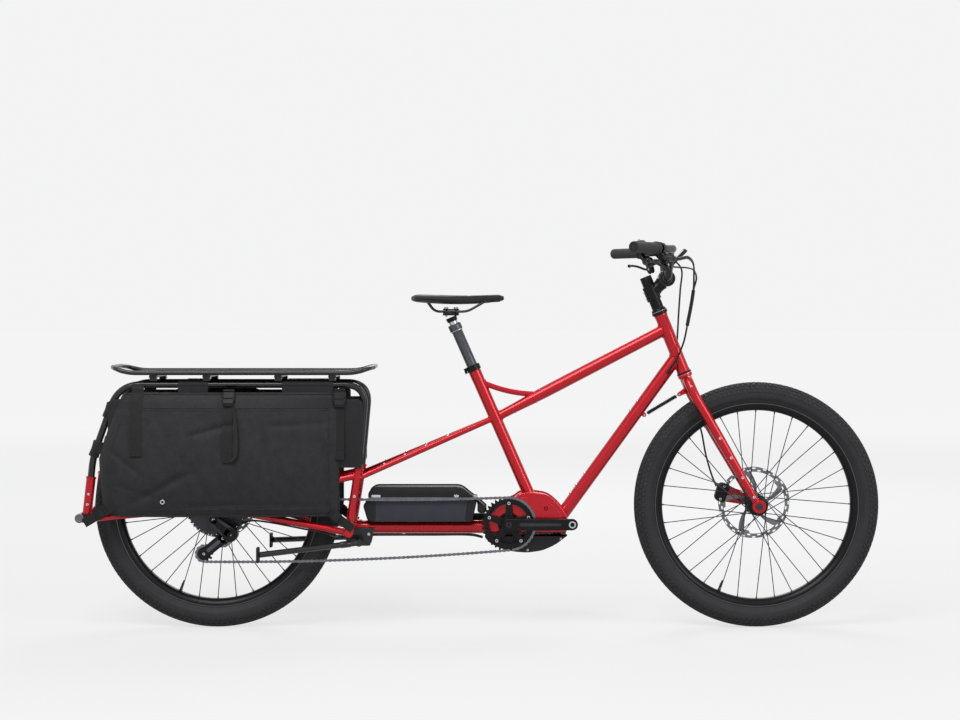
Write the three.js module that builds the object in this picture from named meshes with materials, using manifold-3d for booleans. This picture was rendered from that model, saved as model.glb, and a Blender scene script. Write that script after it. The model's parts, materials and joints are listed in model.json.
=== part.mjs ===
// Longtail cargo bicycle with a mid motor, a rear deck and two side bags, in millimetres.
// +X is forward, +Y is the rider's left, +Z is up and the ground is z = 0. The origin lies on the
// ground under the middle of the whole length. Most places are given by "ahead", the distance in
// front of the rear axle, and "up", the height over the ground.

import * as THREE from "three";
import { mergeVertices } from "three/addons/utils/BufferGeometryUtils.js";
import Module from "manifold-3d";

const wasm = await Module();
wasm.setup();

// Clearances
const gap = 0.3;
const overrun = 4;
const solderStep = 0.0001;

// Facet counts
const tubeSides = 10;
const slimSides = 8;
const crossSides = 12;
const hoseSides = 8;
const roundSides = 14;
const wheelSides = 32;
const bendSteps = 3;

// Wheels
const wheel = { base: 1506, rimRadius: 284, rimDepth: 21, rimWidth: 38, tyreHeight: 58, tyreWidth: 63 };
const tyreRadius = wheel.rimRadius + wheel.tyreHeight;
const rimInner = wheel.rimRadius - wheel.rimDepth;
const rimBedWidth = 12;
const tyreBeadWidth = 32;
const spoke = { radius: 1, count: 32, crossAngle: 67.5, weave: 3.8 };
const spokeSides = 3;
const hub = { barrelRadius: 15, endRadius: 13, flangeRadius: 29, flangeThick: 6, spokeRadius: 26 };
const frontHub = { halfWidth: 54.7, leftFlange: 24, rightFlange: -34 };
const rearHub = { halfWidth: 73.7, leftFlange: 33, rightFlange: -18, rightEnd: -22 };
const axleRadius = 7.5;
const rotor = { radius: 101.5, ringInner: 87, carrier: 24, thick: 1.8, arms: 5, waves: 5, waveDepth: 4 };
const rotorArmShare = 0.3;
const frontRotorSide = 42.5;
const rearRotorSide = 58.5;

// Frame
const frameSide = 84;
const headAngle = 68;
const headTube = { radius: 18, bore: 14.9, low: 418, high: 593.7 };
const seatTube = { radius: 17, bore: 15.3, topAhead: 718, topUp: 716, footAhead: 876, footUp: 357.4 };
const seatCollar = { radius: 20.5, height: 16 };
const topTube = { radius: 16.5, rearDrop: 144.8, frontDrop: 44.1 };
const brace = { radius: 8, steps: 8, rearDrop: 30, reach: 145, dipAhead: 82, dipDrop: 40.5 };
const downTube = { radius: 18, joinRise: 49, footAhead: 955, footUp: 301 };
const lowerTube = { radius: 18, up: 279, reach: 14 };
const frontCross = { radius: 12.7, tyreRoom: 23.8, up: 272, overhang: 13 };
const rearCross = { radius: 12.7, tyreRoom: 14.47, up: 312.6, overhang: 16 };
const frontUpright = { radius: 12, topLead: 27, topUp: 447 };
const rearUpright = { radius: 12.7, topInset: 30, topUp: 424, footInset: 17, footUp: 306 };
const midStay = { radius: 8, rearDrop: 26, frontDrop: 143.2, rootSide: 2 };
const stay = { radius: 9.5, upperDrop: 17, rearUp: 310 };
const dropout = { radius: 27, thick: 10, hangerDrop: 34, hangerRadius: 10, tabThick: 6 };
const socketDepth = 40;

// Motor, its shell and its cover
const motor = { behind: 67.6, before: 164.7, low: 211, high: 380, split: 264, shellSide: 43, wall: 4 };
const motorBoss = { radius: 31, reach: 4 };
const crankAxis = { ahead: 813.6, up: 293 };
const motorUpperShares = [[0, 0.314], [0.02, 0.586], [0.155, 0.793], [0.365, 0.917], [0.42, 0.985],
  [0.56, 1], [0.76, 0.959], [0.88, 0.824], [0.955, 0.7], [1, 0.555], [1, 0.314]];
const motorLowerShares = [[0.992, 0.279], [0.855, 0.134], [0.7, 0.037], [0.52, 0], [0.35, 0.015],
  [0.18, 0.074], [0.06, 0.164], [0.004, 0.251]];

// Drive
const chainPitch = 12.7;
const chain = { halfHeight: 3.65, width: 5.2, clear: 0.9, topSag: 9, lowSag: 10, runSteps: 7, arcSteps: 16 };
const drivePlane = -54;
const ring = { teeth: 36, thick: 2.6, bore: 30 };
const toothDepth = 4;
const sprocketTeeth = [11, 13, 15, 17, 19, 21, 24, 28, 32, 37, 42];
const chainSprocket = 2;
const sprocket = { spacing: 3.74, thick: 1.8, lockRadius: 16, lockWidth: 5, bodyRadius: 18 };
const crank = { length: 175, rootRadius: 17, eyeRadius: 15.6, eyeBore: 6.3, spindle: 12, boss: 21,
  inner: 66, outer: 80 };
const spider = { radius: 57, thick: 3.4, arms: 5, armWidth: 16 };
const guidePulley = { ahead: 22, up: 253.5 };
const tensionPulley = { behind: 30.6, up: 210.5 };
const pulley = { teeth: 11, thick: 2.2, bore: 3.4, boltRadius: 3 };
const cage = { ahead: 45, up: 268, plateThick: 1.8, plateSide: 5.2, edge: 15, pivotRadius: 12 };
const derailleur = { knuckle: 22, linkRadius: 12 };

// Battery
const battery = { length: 318, motorRoom: 20, split: 358, halfWidth: 45, chamfer: 14 };
const lid = { inset: 15, lead: 8, high: 395, slope: 72, noseUp: 337, nose: 26, rise: 14 };

// Seat
const post = { radius: 15, bore: 12.8, below: 190, above: 120, headRadius: 18.5, headHeight: 22 };
const stanchion = { radius: 12.5, inside: 130, shown: 20 };
const railClamp = { up: 881, length: 46, width: 60, plate: 7, boltRadius: 4 };
const rail = { radius: 3.5, halfGap: 22, rise: 16 };
const saddle = { tailAhead: 538.7, noseAhead: 803.3, width: 142, noseWidth: 36, top: 929, depth: 27 };
const saddleStations = 11;
const saddleSides = 12;
const saddleDrawIn = 5;
const railSides = 6;

// Steering
const forkRake = 49;
const steerer = { radius: 14.4, spacer: 16.6, top: 706 };
const upperCup = { radius: 22.4, shoulder: 19, height: 16 };
const lowerRace = { radius: 20.5, low: 404 };
const crown = { radius: 16, low: 386 };
const blade = { radius: 13.5, tip: 9.5, crownSide: 19, shoulderSide: 50, footSide: 61, steps: 4, short: 17 };
const bladeShoulder = { low: 352, taper: 215 };
const forkEnd = { radius: 19, inner: 55, outer: 68 };
const caliper = { angle: 162, rearAngle: 55, reach: 96, length: 54, depth: 34, inner: 13, slot: 1.4 };
const caliperOuter = 15;
const forkTab = { thick: 5 };
const stem = { low: 636, high: 678, radius: 20.5, length: 57.7, rise: 45, neck: 17, clampWidth: 50,
  clampWall: 7 };
const bar = { radius: 11.1, bulge: 15.9, bulgeSide: 41, half: 375, rise: 78, endRun: 187, sweep: 33 };
const barBend = { flatSide: 46, riserShare: 0.549, trim: 16 };
const grip = { radius: 15, length: 130, flangeRadius: 17.5, flangeWidth: 8, cap: 3 };

// Brake levers, shifter, dropper lever, bell and display, placed along the swept bar end
const leverTilt = 75;
const leverSet = 93;
const clampRing = { start: 68, width: 13, radius: 16.5, sink: 3 };
const cylinderBody = { start: 10, end: 86, drop: 28, radius: 9 };
const leverPivot = { along: 62, drop: 48, radius: 8, thick: 6 };
const clevis = { half: 10, back: 26, front: 53, halfThick: 7, slotBack: 34 };
const lever = { length: 100, width: 8, rise: 10, ball: 5.5 };
const pod = { along: 44, drop: 26, radius: 15, near: 6, far: 20 };
const paddle = { length: 42, width: 9, thick: 3.6, hubRadius: 8, angle: -35 };
const bell = { start: 82.5, width: 10, ring: 15.5, neck: 5, base: 21, top: 41, radius: 20.5 };
const display = { length: 67, width: 60, thick: 10, ahead: 32.4, up: 58.8, tilt: 45 };
const displayArm = { side: 34, ringRadius: 21, ringWidth: 6, radius: 4 };

// Stabiliser spring between the down tube and the fork crown
const spring = { coilRadius: 4.8, wire: 0.9, curls: 9, lead: 9, ahead: 1193.5, up: 591.5 };
const springTop = { ahead: 1291, up: 649.4 };
const springEye = { radius: 5, thick: 4 };
const curlSteps = 8;
const wireSides = 5;

// Rack, deck and bags
const hoop = { radius: 9.5, up: 680, rearCorner: 262, frontCorner: 420, kinkBehind: 333, kinkUp: 478 };
const hoopBend = { corner: 62, kink: 30 };
const deck = { railRadius: 6.5, railUp: 713.2, railSide: 106, rear: 236, front: 392, tip: 46, tipRise: 14 };
const deckBoard = { thick: 7, side: 98, cornerRadius: 40, cornerSteps: 5 };
const deckBar = { width: 22, thick: 6, saddleWidth: 20, sink: 2 };
const deckBarShares = [0.111, 0.345, 0.659, 0.896];
const bag = { rear: 312, front: 345, low: 317.5, high: 659, inner: 93.8, depth: 62, bevel: 9, panel: 4 };
const bagOutlineShares = [[0.02, 0.05], [0.06, 0], [0.97, 0], [1, 0.05], [1, 0.96], [0.97, 1],
  [0.12, 1], [0.08, 0.93], [0.04, 0.72], [0, 0.47], [0.004, 0.3]];
const bagPanel = { rear: 290, front: 412, low: 452, high: 640 };

// Kickstand
const stand = { ahead: 400, up: 243, barrelRadius: 10, side: 84, rootSide: 74, legRadius: 8 };
const standFoot = { ahead: 134.8, up: 221.7, side: 170, height: 42, width: 34, thick: 7 };
const standBracket = { rear: 352, front: 440, toe: 428, inner: 24, thick: 6, drop: 14, sink: 1 };

// Hoses, their routes given as [ahead, up, side] places
const hose = { radius: 2.6, bundle: 5, lead: 30 };
const hoseSteps = 13;
const frontHoseRoute = [[1402, 388, 50], [1391, 412, 54], [1374, 474, 70], [1362, 540, 78], [1344, 600, 78],
  [1318, 653, 68], [1298, 702, 56], [1291, 772, 54], [1295, 857, 64], [1303, 942, 88], [1310, 1000, 120],
  [1294, 1024, 147]];
const rearHoseRoute = [[741, 250, 10], [712, 256.5, 12], [600, 257.6, 14], [450, 257.6, 16], [398, 257.2, 17],
  [368, 254.5, 17], [346, 254.5, 19], [330, 261, 50], [308, 274, 68], [240, 288, 70], [160, 312, 70],
  [110, 338, 69], [82, 372, 66], [68, 398, 63]];
const shiftHousingRoute = [[741, 250, -10], [712, 256.5, -12], [600, 257.6, -14], [450, 257.6, -16],
  [398, 257.2, -17], [368, 254.5, -17], [346, 254.5, -19], [328, 260, -56], [310, 270, -82], [240, 284, -84],
  [150, 301, -84], [104, 305, -85], [76, 296, -86], [60, 282, -84]];
const rightCableRoute = [[1302, 1029, -130], [1322, 1012, -82], [1327, 979, -48], [1327, 941, -36],
  [1321, 899, -33], [1313, 857, -32], [1302, 802, -31], [1290, 768, -30], [1277, 741, -27], [1258, 713, -14]];
const leftCableRoute = [[1268, 1014, 160], [1292, 1008, 125], [1320, 1005, 70], [1334, 996, 12],
  [1336, 972, -28],
  [1329, 948, -36], [1325, 930, -35]];

const degree = Math.PI / 180;
const upward = new THREE.Vector3(0, 1, 0);
const left = new THREE.Vector3(0, 1, 0);

// How far a cross tube lies from the rear axle along the bike, clear of the tyre.
function crossReach(cross) {
  const apart = tyreRadius + cross.tyreRoom + cross.radius;
  return Math.sqrt(apart ** 2 - (tyreRadius - cross.up) ** 2);
}

const frontCrossAhead = crossReach(frontCross);
const rearCrossBehind = crossReach(rearCross);
const rearReach = rearCrossBehind + rearCross.radius;
const motorRear = crankAxis.ahead - motor.behind;
const motorFront = crankAxis.ahead + motor.before;
const batteryFront = motorRear - battery.motorRoom;
const batteryRear = batteryFront - battery.length;
const lidFront = motorRear + lid.lead;
const rearAxleX = -(wheel.base + tyreRadius - rearReach) / 2;

function place(ahead, up, side = 0) {
  return new THREE.Vector3(rearAxleX + ahead, side, up);
}

const rearAxle = place(0, tyreRadius);
const frontAxle = place(wheel.base, tyreRadius);
const steerUp = new THREE.Vector3(-Math.cos(headAngle * degree), 0, Math.sin(headAngle * degree));
const steerAhead = new THREE.Vector3(Math.sin(headAngle * degree), 0, Math.cos(headAngle * degree));
const steerFoot = frontAxle.clone().addScaledVector(steerAhead, -forkRake);

// A point by its distance up the steering axis, ahead of it and to the left of it.
function onSteering(along, ahead = 0, side = 0) {
  return steerFoot.clone().addScaledVector(steerUp, along).addScaledVector(steerAhead, ahead)
    .addScaledVector(left, side);
}

// Solids

function solidOf(shape) {
  if (!shape.isBufferGeometry) return shape;
  const bare = shape.clone();
  bare.deleteAttribute("normal");
  bare.deleteAttribute("uv");
  const merged = mergeVertices(bare, solderStep);
  const corners = merged.index.array;
  const kept = [];
  for (let i = 0; i < corners.length; i += 3) {
    const [a, b, c] = [corners[i], corners[i + 1], corners[i + 2]];
    if (a !== b && b !== c && c !== a) kept.push(a, b, c);
  }
  const vertProperties = Float32Array.from(merged.attributes.position.array);
  return new wasm.Manifold(new wasm.Mesh({ numProp: 3, vertProperties, triVerts: Uint32Array.from(kept) }));
}

function join(...shapes) {
  return shapes.map(solidOf).reduce((sum, next) => sum.add(next));
}

function cut(shape, ...tools) {
  return tools.map(solidOf).reduce((rest, tool) => rest.subtract(tool), solidOf(shape));
}

function common(shape, other) {
  return solidOf(shape).intersect(solidOf(other));
}

function geometryOf(shape) {
  const mesh = solidOf(shape).getMesh();
  const geometry = new THREE.BufferGeometry();
  geometry.setAttribute("position", new THREE.BufferAttribute(mesh.vertProperties, 3));
  geometry.setIndex(new THREE.BufferAttribute(mesh.triVerts, 1));
  return geometry;
}

// Shapes

function aimed(geometry, from, direction) {
  geometry.applyQuaternion(new THREE.Quaternion().setFromUnitVectors(upward, direction));
  return geometry.translate(from.x, from.y, from.z);
}

function rod(from, to, radius, sides = tubeSides, endRadius = radius) {
  const along = to.clone().sub(from);
  const length = along.length();
  const geometry = new THREE.CylinderGeometry(endRadius, radius, length, sides);
  geometry.translate(0, length / 2, 0);
  return aimed(geometry, from, along.normalize());
}

// A body of revolution from a profile of [radius, distance along] pairs that closes on itself or on
// the axis, its far side written upwards.
function turned(profile, from, direction, sides = roundSides) {
  const points = profile.map(([radius, along]) => new THREE.Vector2(radius, along));
  return aimed(new THREE.LatheGeometry(points, sides), from, direction);
}

function washer(inner, outer, width) {
  return [[inner, 0], [outer, 0], [outer, width], [inner, width], [inner, 0]];
}

// The radius of a faceted bore that clears a faceted shaft at every turn.
function turningBore(radius) {
  return (radius + gap) / Math.cos(Math.PI / roundSides);
}

function disc(centre, radius, low, high, sides = roundSides) {
  return rod(new THREE.Vector3(centre.x, low, centre.z), new THREE.Vector3(centre.x, high, centre.z),
      radius, sides);
}

function block(low, high) {
  const size = high.clone().sub(low);
  const middle = low.clone().add(high).multiplyScalar(0.5);
  return new THREE.BoxGeometry(size.x, size.y, size.z).translate(middle.x, middle.y, middle.z);
}

function roundSection(radius, sides) {
  const points = [];
  for (let i = 0; i < sides; i++) {
    const angle = (2 * Math.PI * i) / sides;
    points.push(new THREE.Vector2(radius * Math.sin(angle), radius * Math.cos(angle)));
  }
  return new THREE.Shape(points);
}

// Points along straight runs, each inner corner rounded off over its own trimmed length.
function bentPoints(corners, trims) {
  const points = [corners[0]];
  for (let i = 1; i < corners.length - 1; i++) {
    const trim = trims[i - 1];
    if (trim === 0) {
      points.push(corners[i]);
      continue;
    }
    const start = corners[i].clone().add(corners[i - 1].clone().sub(corners[i]).setLength(trim));
    const end = corners[i].clone().add(corners[i + 1].clone().sub(corners[i]).setLength(trim));
    points.push(...new THREE.QuadraticBezierCurve3(start, corners[i], end).getPoints(bendSteps));
  }
  points.push(corners[corners.length - 1]);
  return points;
}

// A round tube with one ring of corners at each point, its rings turned as little as they can be.
function tube(points, radius, sides = tubeSides) {
  let normal = null;
  const rings = points.map((point, i) => {
    const heading = new THREE.Vector3();
    if (i > 0) heading.add(point.clone().sub(points[i - 1]).normalize());
    if (i + 1 < points.length) heading.add(points[i + 1].clone().sub(point).normalize());
    heading.normalize();
    normal = normal ?? squareTo(heading);
    normal.addScaledVector(heading, -normal.dot(heading)).normalize();
    const other = new THREE.Vector3().crossVectors(heading, normal);
    const corners = [];
    for (let k = 0; k < sides; k++) {
      const angle = (2 * Math.PI * k) / sides;
      corners.push(point.clone().addScaledVector(normal, radius * Math.cos(angle))
        .addScaledVector(other, radius * Math.sin(angle)));
    }
    return corners;
  });
  return loft(rings);
}

function hoseTube(curve, radius) {
  return tube(curve.getPoints(hoseSteps), radius, hoseSides);
}

function squareTo(heading) {
  const helper = Math.abs(heading.y) < 0.9 ? new THREE.Vector3(0, 1, 0) : new THREE.Vector3(0, 0, 1);
  return new THREE.Vector3().crossVectors(heading, helper).normalize();
}

// An outline in the XZ plane made solid between two places across the bike.
function slab(outline, low, high) {
  const shape = outline instanceof THREE.Shape ? outline : new THREE.Shape(outline);
  const geometry = new THREE.ExtrudeGeometry(shape, { depth: high - low, bevelEnabled: false });
  geometry.rotateX(Math.PI / 2);
  return geometry.translate(0, high, 0);
}

function outlinePoint(ahead, up) {
  return new THREE.Vector2(rearAxleX + ahead, up);
}

// An anticlockwise outline with every edge moved outwards.
function grown(outline, by) {
  return outline.map((point, i) => {
    const before = outline[(i + outline.length - 1) % outline.length];
    const after = outline[(i + 1) % outline.length];
    const edgeIn = point.clone().sub(before).normalize();
    const edgeOut = after.clone().sub(point).normalize();
    const normalIn = new THREE.Vector2(edgeIn.y, -edgeIn.x);
    const normalOut = new THREE.Vector2(edgeOut.y, -edgeOut.x);
    const middle = normalIn.clone().add(normalOut);
    return point.clone().addScaledVector(middle, by / (1 + normalIn.dot(normalOut)));
  });
}

// Closed rings of points joined into a skin, with both ends closed.
function loft(rings) {
  const sides = rings[0].length;
  const points = rings.flat();
  const ends = [rings[0], rings[rings.length - 1]];
  for (const end of ends) {
    const middle = end.reduce((sum, point) => sum.add(point), new THREE.Vector3());
    points.push(middle.multiplyScalar(1 / sides));
  }
  const faces = [];
  for (let i = 0; i + 1 < rings.length; i++) {
    for (let j = 0; j < sides; j++) {
      const a = i * sides + j;
      const b = i * sides + ((j + 1) % sides);
      faces.push(a, b, b + sides, a, b + sides, a + sides);
    }
  }
  const last = (rings.length - 1) * sides;
  for (let j = 0; j < sides; j++) {
    const next = (j + 1) % sides;
    faces.push(rings.length * sides, next, j);
    faces.push(rings.length * sides + 1, last + j, last + next);
  }
  const geometry = new THREE.BufferGeometry().setFromPoints(points);
  geometry.setIndex(faces);
  return geometry;
}

function mirrorSide(point) {
  return new THREE.Vector3(point.x, -point.y, point.z);
}

// Materials

function finish(color, roughness, metalness) {
  return new THREE.MeshStandardMaterial({ color, roughness, metalness });
}

const framePaint = finish(0xb00d1e, 0.22, 0.1);
const blackAlloy = finish(0x1c1c1e, 0.42, 0.6);
const blackSteel = finish(0x161617, 0.35, 0.4);
const blackPlastic = finish(0x222223, 0.55, 0);
const greyPlastic = finish(0x46464f, 0.5, 0);
const tyreRubber = finish(0x343434, 0.85, 0);
const gripRubber = finish(0x2a2a2a, 0.8, 0);
const bagCloth = finish(0x2e2e30, 0.9, 0);
const deckSheet = finish(0x1b1b1c, 0.6, 0);
const bareSteel = finish(0xa9abad, 0.3, 0.9);
const saddleSkin = finish(0x19191a, 0.6, 0);
const hoseSkin = finish(0x121213, 0.6, 0);

const bike = new THREE.Group();

function addPiece(name, shape, material, parent = bike) {
  const mesh = new THREE.Mesh(geometryOf(shape), material);
  mesh.name = name;
  parent.add(mesh);
}

// Frame tubes, each with its axis, so that its neighbours can be cut to meet it

const seatTop = place(seatTube.topAhead, seatTube.topUp);
const seatFoot = place(seatTube.footAhead, seatTube.footUp);
const seatUp = seatTop.clone().sub(seatFoot).normalize();

function upSeatTube(along, side = 0) {
  return seatTop.clone().addScaledVector(seatUp, along).addScaledVector(left, side);
}

function headTubeSpace() {
  return rod(onSteering(headTube.low - overrun), onSteering(headTube.high + overrun), headTube.radius + gap,
      roundSides);
}

function seatTubeSpace() {
  return rod(seatFoot, seatTop, seatTube.radius + gap, roundSides);
}

// The foot and the top of the down tube's axis, its top just inside the head tube.
function downTubeEnds() {
  const foot = place(downTube.footAhead, downTube.footUp);
  const top = onSteering(headTube.low + downTube.joinRise);
  return [foot, top.add(foot.clone().sub(top).setLength(headTube.radius / 2))];
}

function downTubeSpace() {
  return rod(...downTubeEnds(), downTube.radius + gap);
}

function frontCrossSpace() {
  return disc(place(frontCrossAhead, frontCross.up), frontCross.radius + gap, -frameSide, frameSide,
      tubeSides);
}

function headTubePiece() {
  const profile = washer(headTube.bore, headTube.radius, headTube.high - headTube.low);
  return turned(profile, onSteering(headTube.low), steerUp);
}

// The top tube and the curved brace that runs from it back to the seat tube.
function topTubePiece() {
  const rear = upSeatTube(-topTube.rearDrop);
  const front = onSteering(headTube.high - topTube.frontDrop);
  const root = upSeatTube(-brace.rearDrop);
  const dip = root.clone().add(new THREE.Vector3(brace.dipAhead, 0, -brace.dipDrop));
  const end = rear.clone().add(front.clone().sub(rear).setLength(brace.reach));
  const curve = new THREE.QuadraticBezierCurve3(root, dip, end);
  const whole = join(rod(rear, front, topTube.radius), tube(curve.getPoints(brace.steps), brace.radius));
  return cut(whole, headTubeSpace(), seatTubeSpace());
}

function downTubePiece() {
  const [foot, top] = downTubeEnds();
  const eyeAt = place(spring.ahead, spring.up);
  const root = top.clone().sub(foot).normalize();
  const onAxis = foot.clone().addScaledVector(root, eyeAt.clone().sub(foot).dot(root));
  const eye = join(rod(foot, top, downTube.radius), rod(onAxis, eyeAt, springEye.radius),
    disc(eyeAt, springEye.radius, -springEye.thick, springEye.thick, tubeSides));
  return cut(eye, headTubeSpace(), motorShellSpace());
}

function seatTubePiece() {
  const length = seatTop.distanceTo(seatFoot);
  const profile = [[seatTube.bore, 0], [seatTube.radius, 0], [seatTube.radius, length - seatCollar.height],
    [seatCollar.radius, length - seatCollar.height], [seatCollar.radius, length], [seatTube.bore, length],
    [seatTube.bore, 0]];
  return cut(turned(profile, seatFoot, seatUp), motorShellSpace());
}

function lowerTubePiece() {
  const whole = rod(place(frontCrossAhead, lowerTube.up), place(motorRear + lowerTube.reach, lowerTube.up),
    lowerTube.radius);
  return cut(whole, frontCrossSpace(), motorShellSpace());
}

function midStaysPiece() {
  const sides = [1, -1].map((side) => rod(onFrontUpright(midStay.rearDrop, side * frameSide),
    upSeatTube(-midStay.frontDrop, side * midStay.rootSide), midStay.radius, slimSides));
  return cut(join(...sides), seatTubeSpace(), frontUprightSpace(1), frontUprightSpace(-1));
}

// A place on a front upright's axis, a height below its top.
function onFrontUpright(drop, y) {
  const height = frontUpright.topUp - frontCross.up;
  return place(frontCrossAhead + frontUpright.topLead * (1 - drop / height), frontUpright.topUp - drop, y);
}

function frontUprightSpace(side) {
  return rod(place(frontCrossAhead, frontCross.up, side * frameSide),
    onFrontUpright(0, side * frameSide), frontUpright.radius + gap);
}

// A stretch of the hoop's own axis below a socket's mouth, as the bore that the hoop stands in.
function socketBore(foot, top) {
  const down = foot.clone().sub(top).normalize();
  const bottom = top.clone().addScaledVector(down, socketDepth + gap);
  return rod(bottom, top.clone().addScaledVector(down, -overrun), hoop.radius + gap, roundSides);
}

function frontUprightsPiece() {
  const parts = [disc(place(frontCrossAhead, frontCross.up), frontCross.radius,
    -frameSide - frontCross.overhang, frameSide + frontCross.overhang, tubeSides)];
  const bores = [];
  for (const side of [1, -1]) {
    const foot = place(frontCrossAhead, frontCross.up, side * frameSide);
    const top = onFrontUpright(0, side * frameSide);
    parts.push(rod(foot, top, frontUpright.radius));
    bores.push(socketBore(foot, top));
  }
  return cut(join(...parts), ...bores);
}

function rearUprightEnds(side) {
  return [place(rearUpright.footInset - rearCrossBehind, rearUpright.footUp, side * frameSide),
    place(rearUpright.topInset - rearCrossBehind, rearUpright.topUp, side * frameSide)];
}

function rearUprightsPiece() {
  const parts = [disc(place(-rearCrossBehind, rearCross.up), rearCross.radius,
    -frameSide - rearCross.overhang, frameSide + rearCross.overhang, crossSides)];
  const bores = [];
  for (const side of [1, -1]) {
    const [foot, top] = rearUprightEnds(side);
    parts.push(rod(foot, top, rearUpright.radius));
    bores.push(socketBore(foot, top));
  }
  return cut(join(...parts), ...bores);
}

// One side's stays with the dropout: the lower stay from the front cross tube to the axle and on to
// the rear upright, and the upper stay from the front upright to the axle.
function rearStaysPiece(side) {
  const y = side * frameSide;
  const axle = place(0, tyreRadius, y);
  const plateInner = side * (frameSide - dropout.thick);
  const plate = [Math.min(plateInner, y), Math.max(plateInner, y)];
  const parts = [
    rod(place(frontCrossAhead, frontCross.up, y), axle, stay.radius, slimSides),
    rod(axle, place(rearUpright.footInset - rearCrossBehind, stay.rearUp, y), stay.radius, slimSides),
    rod(onFrontUpright(stay.upperDrop, y), axle, stay.radius, slimSides),
    disc(rearAxle, dropout.radius, ...plate, roundSides),
  ];
  parts.push(side < 0 ? hangerTab(plate) : caliperTab(plate));
  const [foot, top] = rearUprightEnds(side);
  const bore = disc(rearAxle, axleRadius + gap, Math.min(y, 0) * 2, Math.max(y, 0) * 2);
  return cut(join(...parts), bore, frontUprightSpace(side),
    disc(place(frontCrossAhead, frontCross.up), frontCross.radius + gap,
      -frameSide - frontCross.overhang - overrun, frameSide + frontCross.overhang + overrun, tubeSides),
    disc(place(-rearCrossBehind, rearCross.up), rearCross.radius + gap,
      -frameSide - rearCross.overhang - overrun, frameSide + rearCross.overhang + overrun, crossSides),
    rod(foot, top, rearUpright.radius + gap));
}

function hangerTab([low, high]) {
  const end = place(0, tyreRadius - dropout.hangerDrop);
  const web = block(new THREE.Vector3(end.x - dropout.hangerRadius, low, end.z),
    new THREE.Vector3(end.x + dropout.hangerRadius, high, tyreRadius - axleRadius));
  return join(disc(end, dropout.hangerRadius, low, high), web);
}

function caliperTab([low]) {
  const outline = radialOutline(rearAxle, caliper.rearAngle, dropout.radius * 0.5, caliper.reach,
    caliper.length / 2);
  return slab(outline, low, low + dropout.tabThick);
}

// Motor and its shell

function motorOutline() {
  const shares = [...motorUpperShares, ...motorLowerShares];
  const points = shares.map(([along, height]) => outlinePoint(
    motorRear + along * (motorFront - motorRear), motor.low + height * (motor.high - motor.low)));
  return points.reverse();
}

function motorBand(low, high) {
  const wide = motor.shellSide + overrun;
  return block(place(motorRear - overrun, low, -wide), place(motorFront + overrun, high, wide));
}

function motorHollow() {
  const inside = motor.shellSide - motor.wall;
  const bossHole = disc(place(crankAxis.ahead, crankAxis.up), motorBoss.radius + gap,
    -motor.shellSide - overrun, motor.shellSide + overrun);
  return join(slab(grown(motorOutline(), -motor.wall), -inside, inside), bossHole);
}

function motorShellSpace() {
  return slab(grown(motorOutline(), gap), -motor.shellSide - gap, motor.shellSide + gap);
}

function motorShellPiece() {
  const whole = slab(motorOutline(), -motor.shellSide, motor.shellSide);
  return cut(common(whole, motorBand(motor.split, motor.high + overrun)), motorHollow());
}

function motorCoverPiece() {
  const whole = slab(motorOutline(), -motor.shellSide, motor.shellSide);
  return cut(common(whole, motorBand(motor.low - overrun, motor.split - gap)), motorHollow());
}

function motorUnitPiece() {
  const inside = motor.shellSide - motor.wall - gap;
  const bossEnd = motor.shellSide + motorBoss.reach;
  const axis = place(crankAxis.ahead, crankAxis.up);
  const body = join(slab(grown(motorOutline(), -motor.wall - gap), -inside, inside),
    disc(axis, motorBoss.radius, -bossEnd, bossEnd));
  return cut(body, disc(axis, turningBore(crank.spindle), -bossEnd - overrun, bossEnd + overrun));
}

// Battery

function batteryPiece() {
  const low = lowerTube.up + lowerTube.radius + gap;
  const outline = [outlinePoint(batteryRear + battery.chamfer, low),
      outlinePoint(batteryFront - battery.chamfer, low),
    outlinePoint(batteryFront, battery.split), outlinePoint(batteryRear + battery.chamfer, battery.split),
    outlinePoint(batteryRear, battery.split - battery.chamfer)];
  return slab(outline, -battery.halfWidth, battery.halfWidth);
}

function batteryLidPiece() {
  const low = battery.split + gap;
  const outline = [outlinePoint(batteryRear + lid.inset, low), outlinePoint(batteryFront + gap, low),
    outlinePoint(batteryFront + gap, lid.noseUp - lid.nose * 0.6),
        outlinePoint(lidFront - lid.nose * 0.2, lid.noseUp - lid.nose * 0.6),
    outlinePoint(lidFront, lid.noseUp), outlinePoint(lidFront - lid.slope, lid.high),
    outlinePoint(batteryRear + lid.inset + lid.rise * 1.3, lid.high),
        outlinePoint(batteryRear + lid.inset, lid.high - lid.rise)];
  return slab(outline, -battery.halfWidth, battery.halfWidth);
}

// Wheels

function tyrePiece() {
  const depth = wheel.tyreHeight - gap;
  const half = wheel.tyreWidth / 2;
  const sideShares = [[0.3, 0.97], [0.7, 0.95], [1, 0.28]];
  const bead = wheel.rimRadius + gap;
  const right = sideShares.map(([out, across]) => [bead + out * depth, -across * half]);
  const leftSide = sideShares.map(([out, across]) => [bead + out * depth, across * half]).reverse();
  const profile = [[bead, -tyreBeadWidth / 2], ...right, ...leftSide, [bead, tyreBeadWidth / 2],
    [bead, -tyreBeadWidth / 2]];
  return turned(profile, new THREE.Vector3(), left, wheelSides);
}

function rimPiece() {
  const half = wheel.rimWidth / 2;
  const profile = [[rimInner, -rimBedWidth / 2], [wheel.rimRadius, -half], [wheel.rimRadius, half],
    [rimInner, rimBedWidth / 2], [rimInner, -rimBedWidth / 2]];
  return turned(profile, new THREE.Vector3(), left, wheelSides);
}

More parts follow.
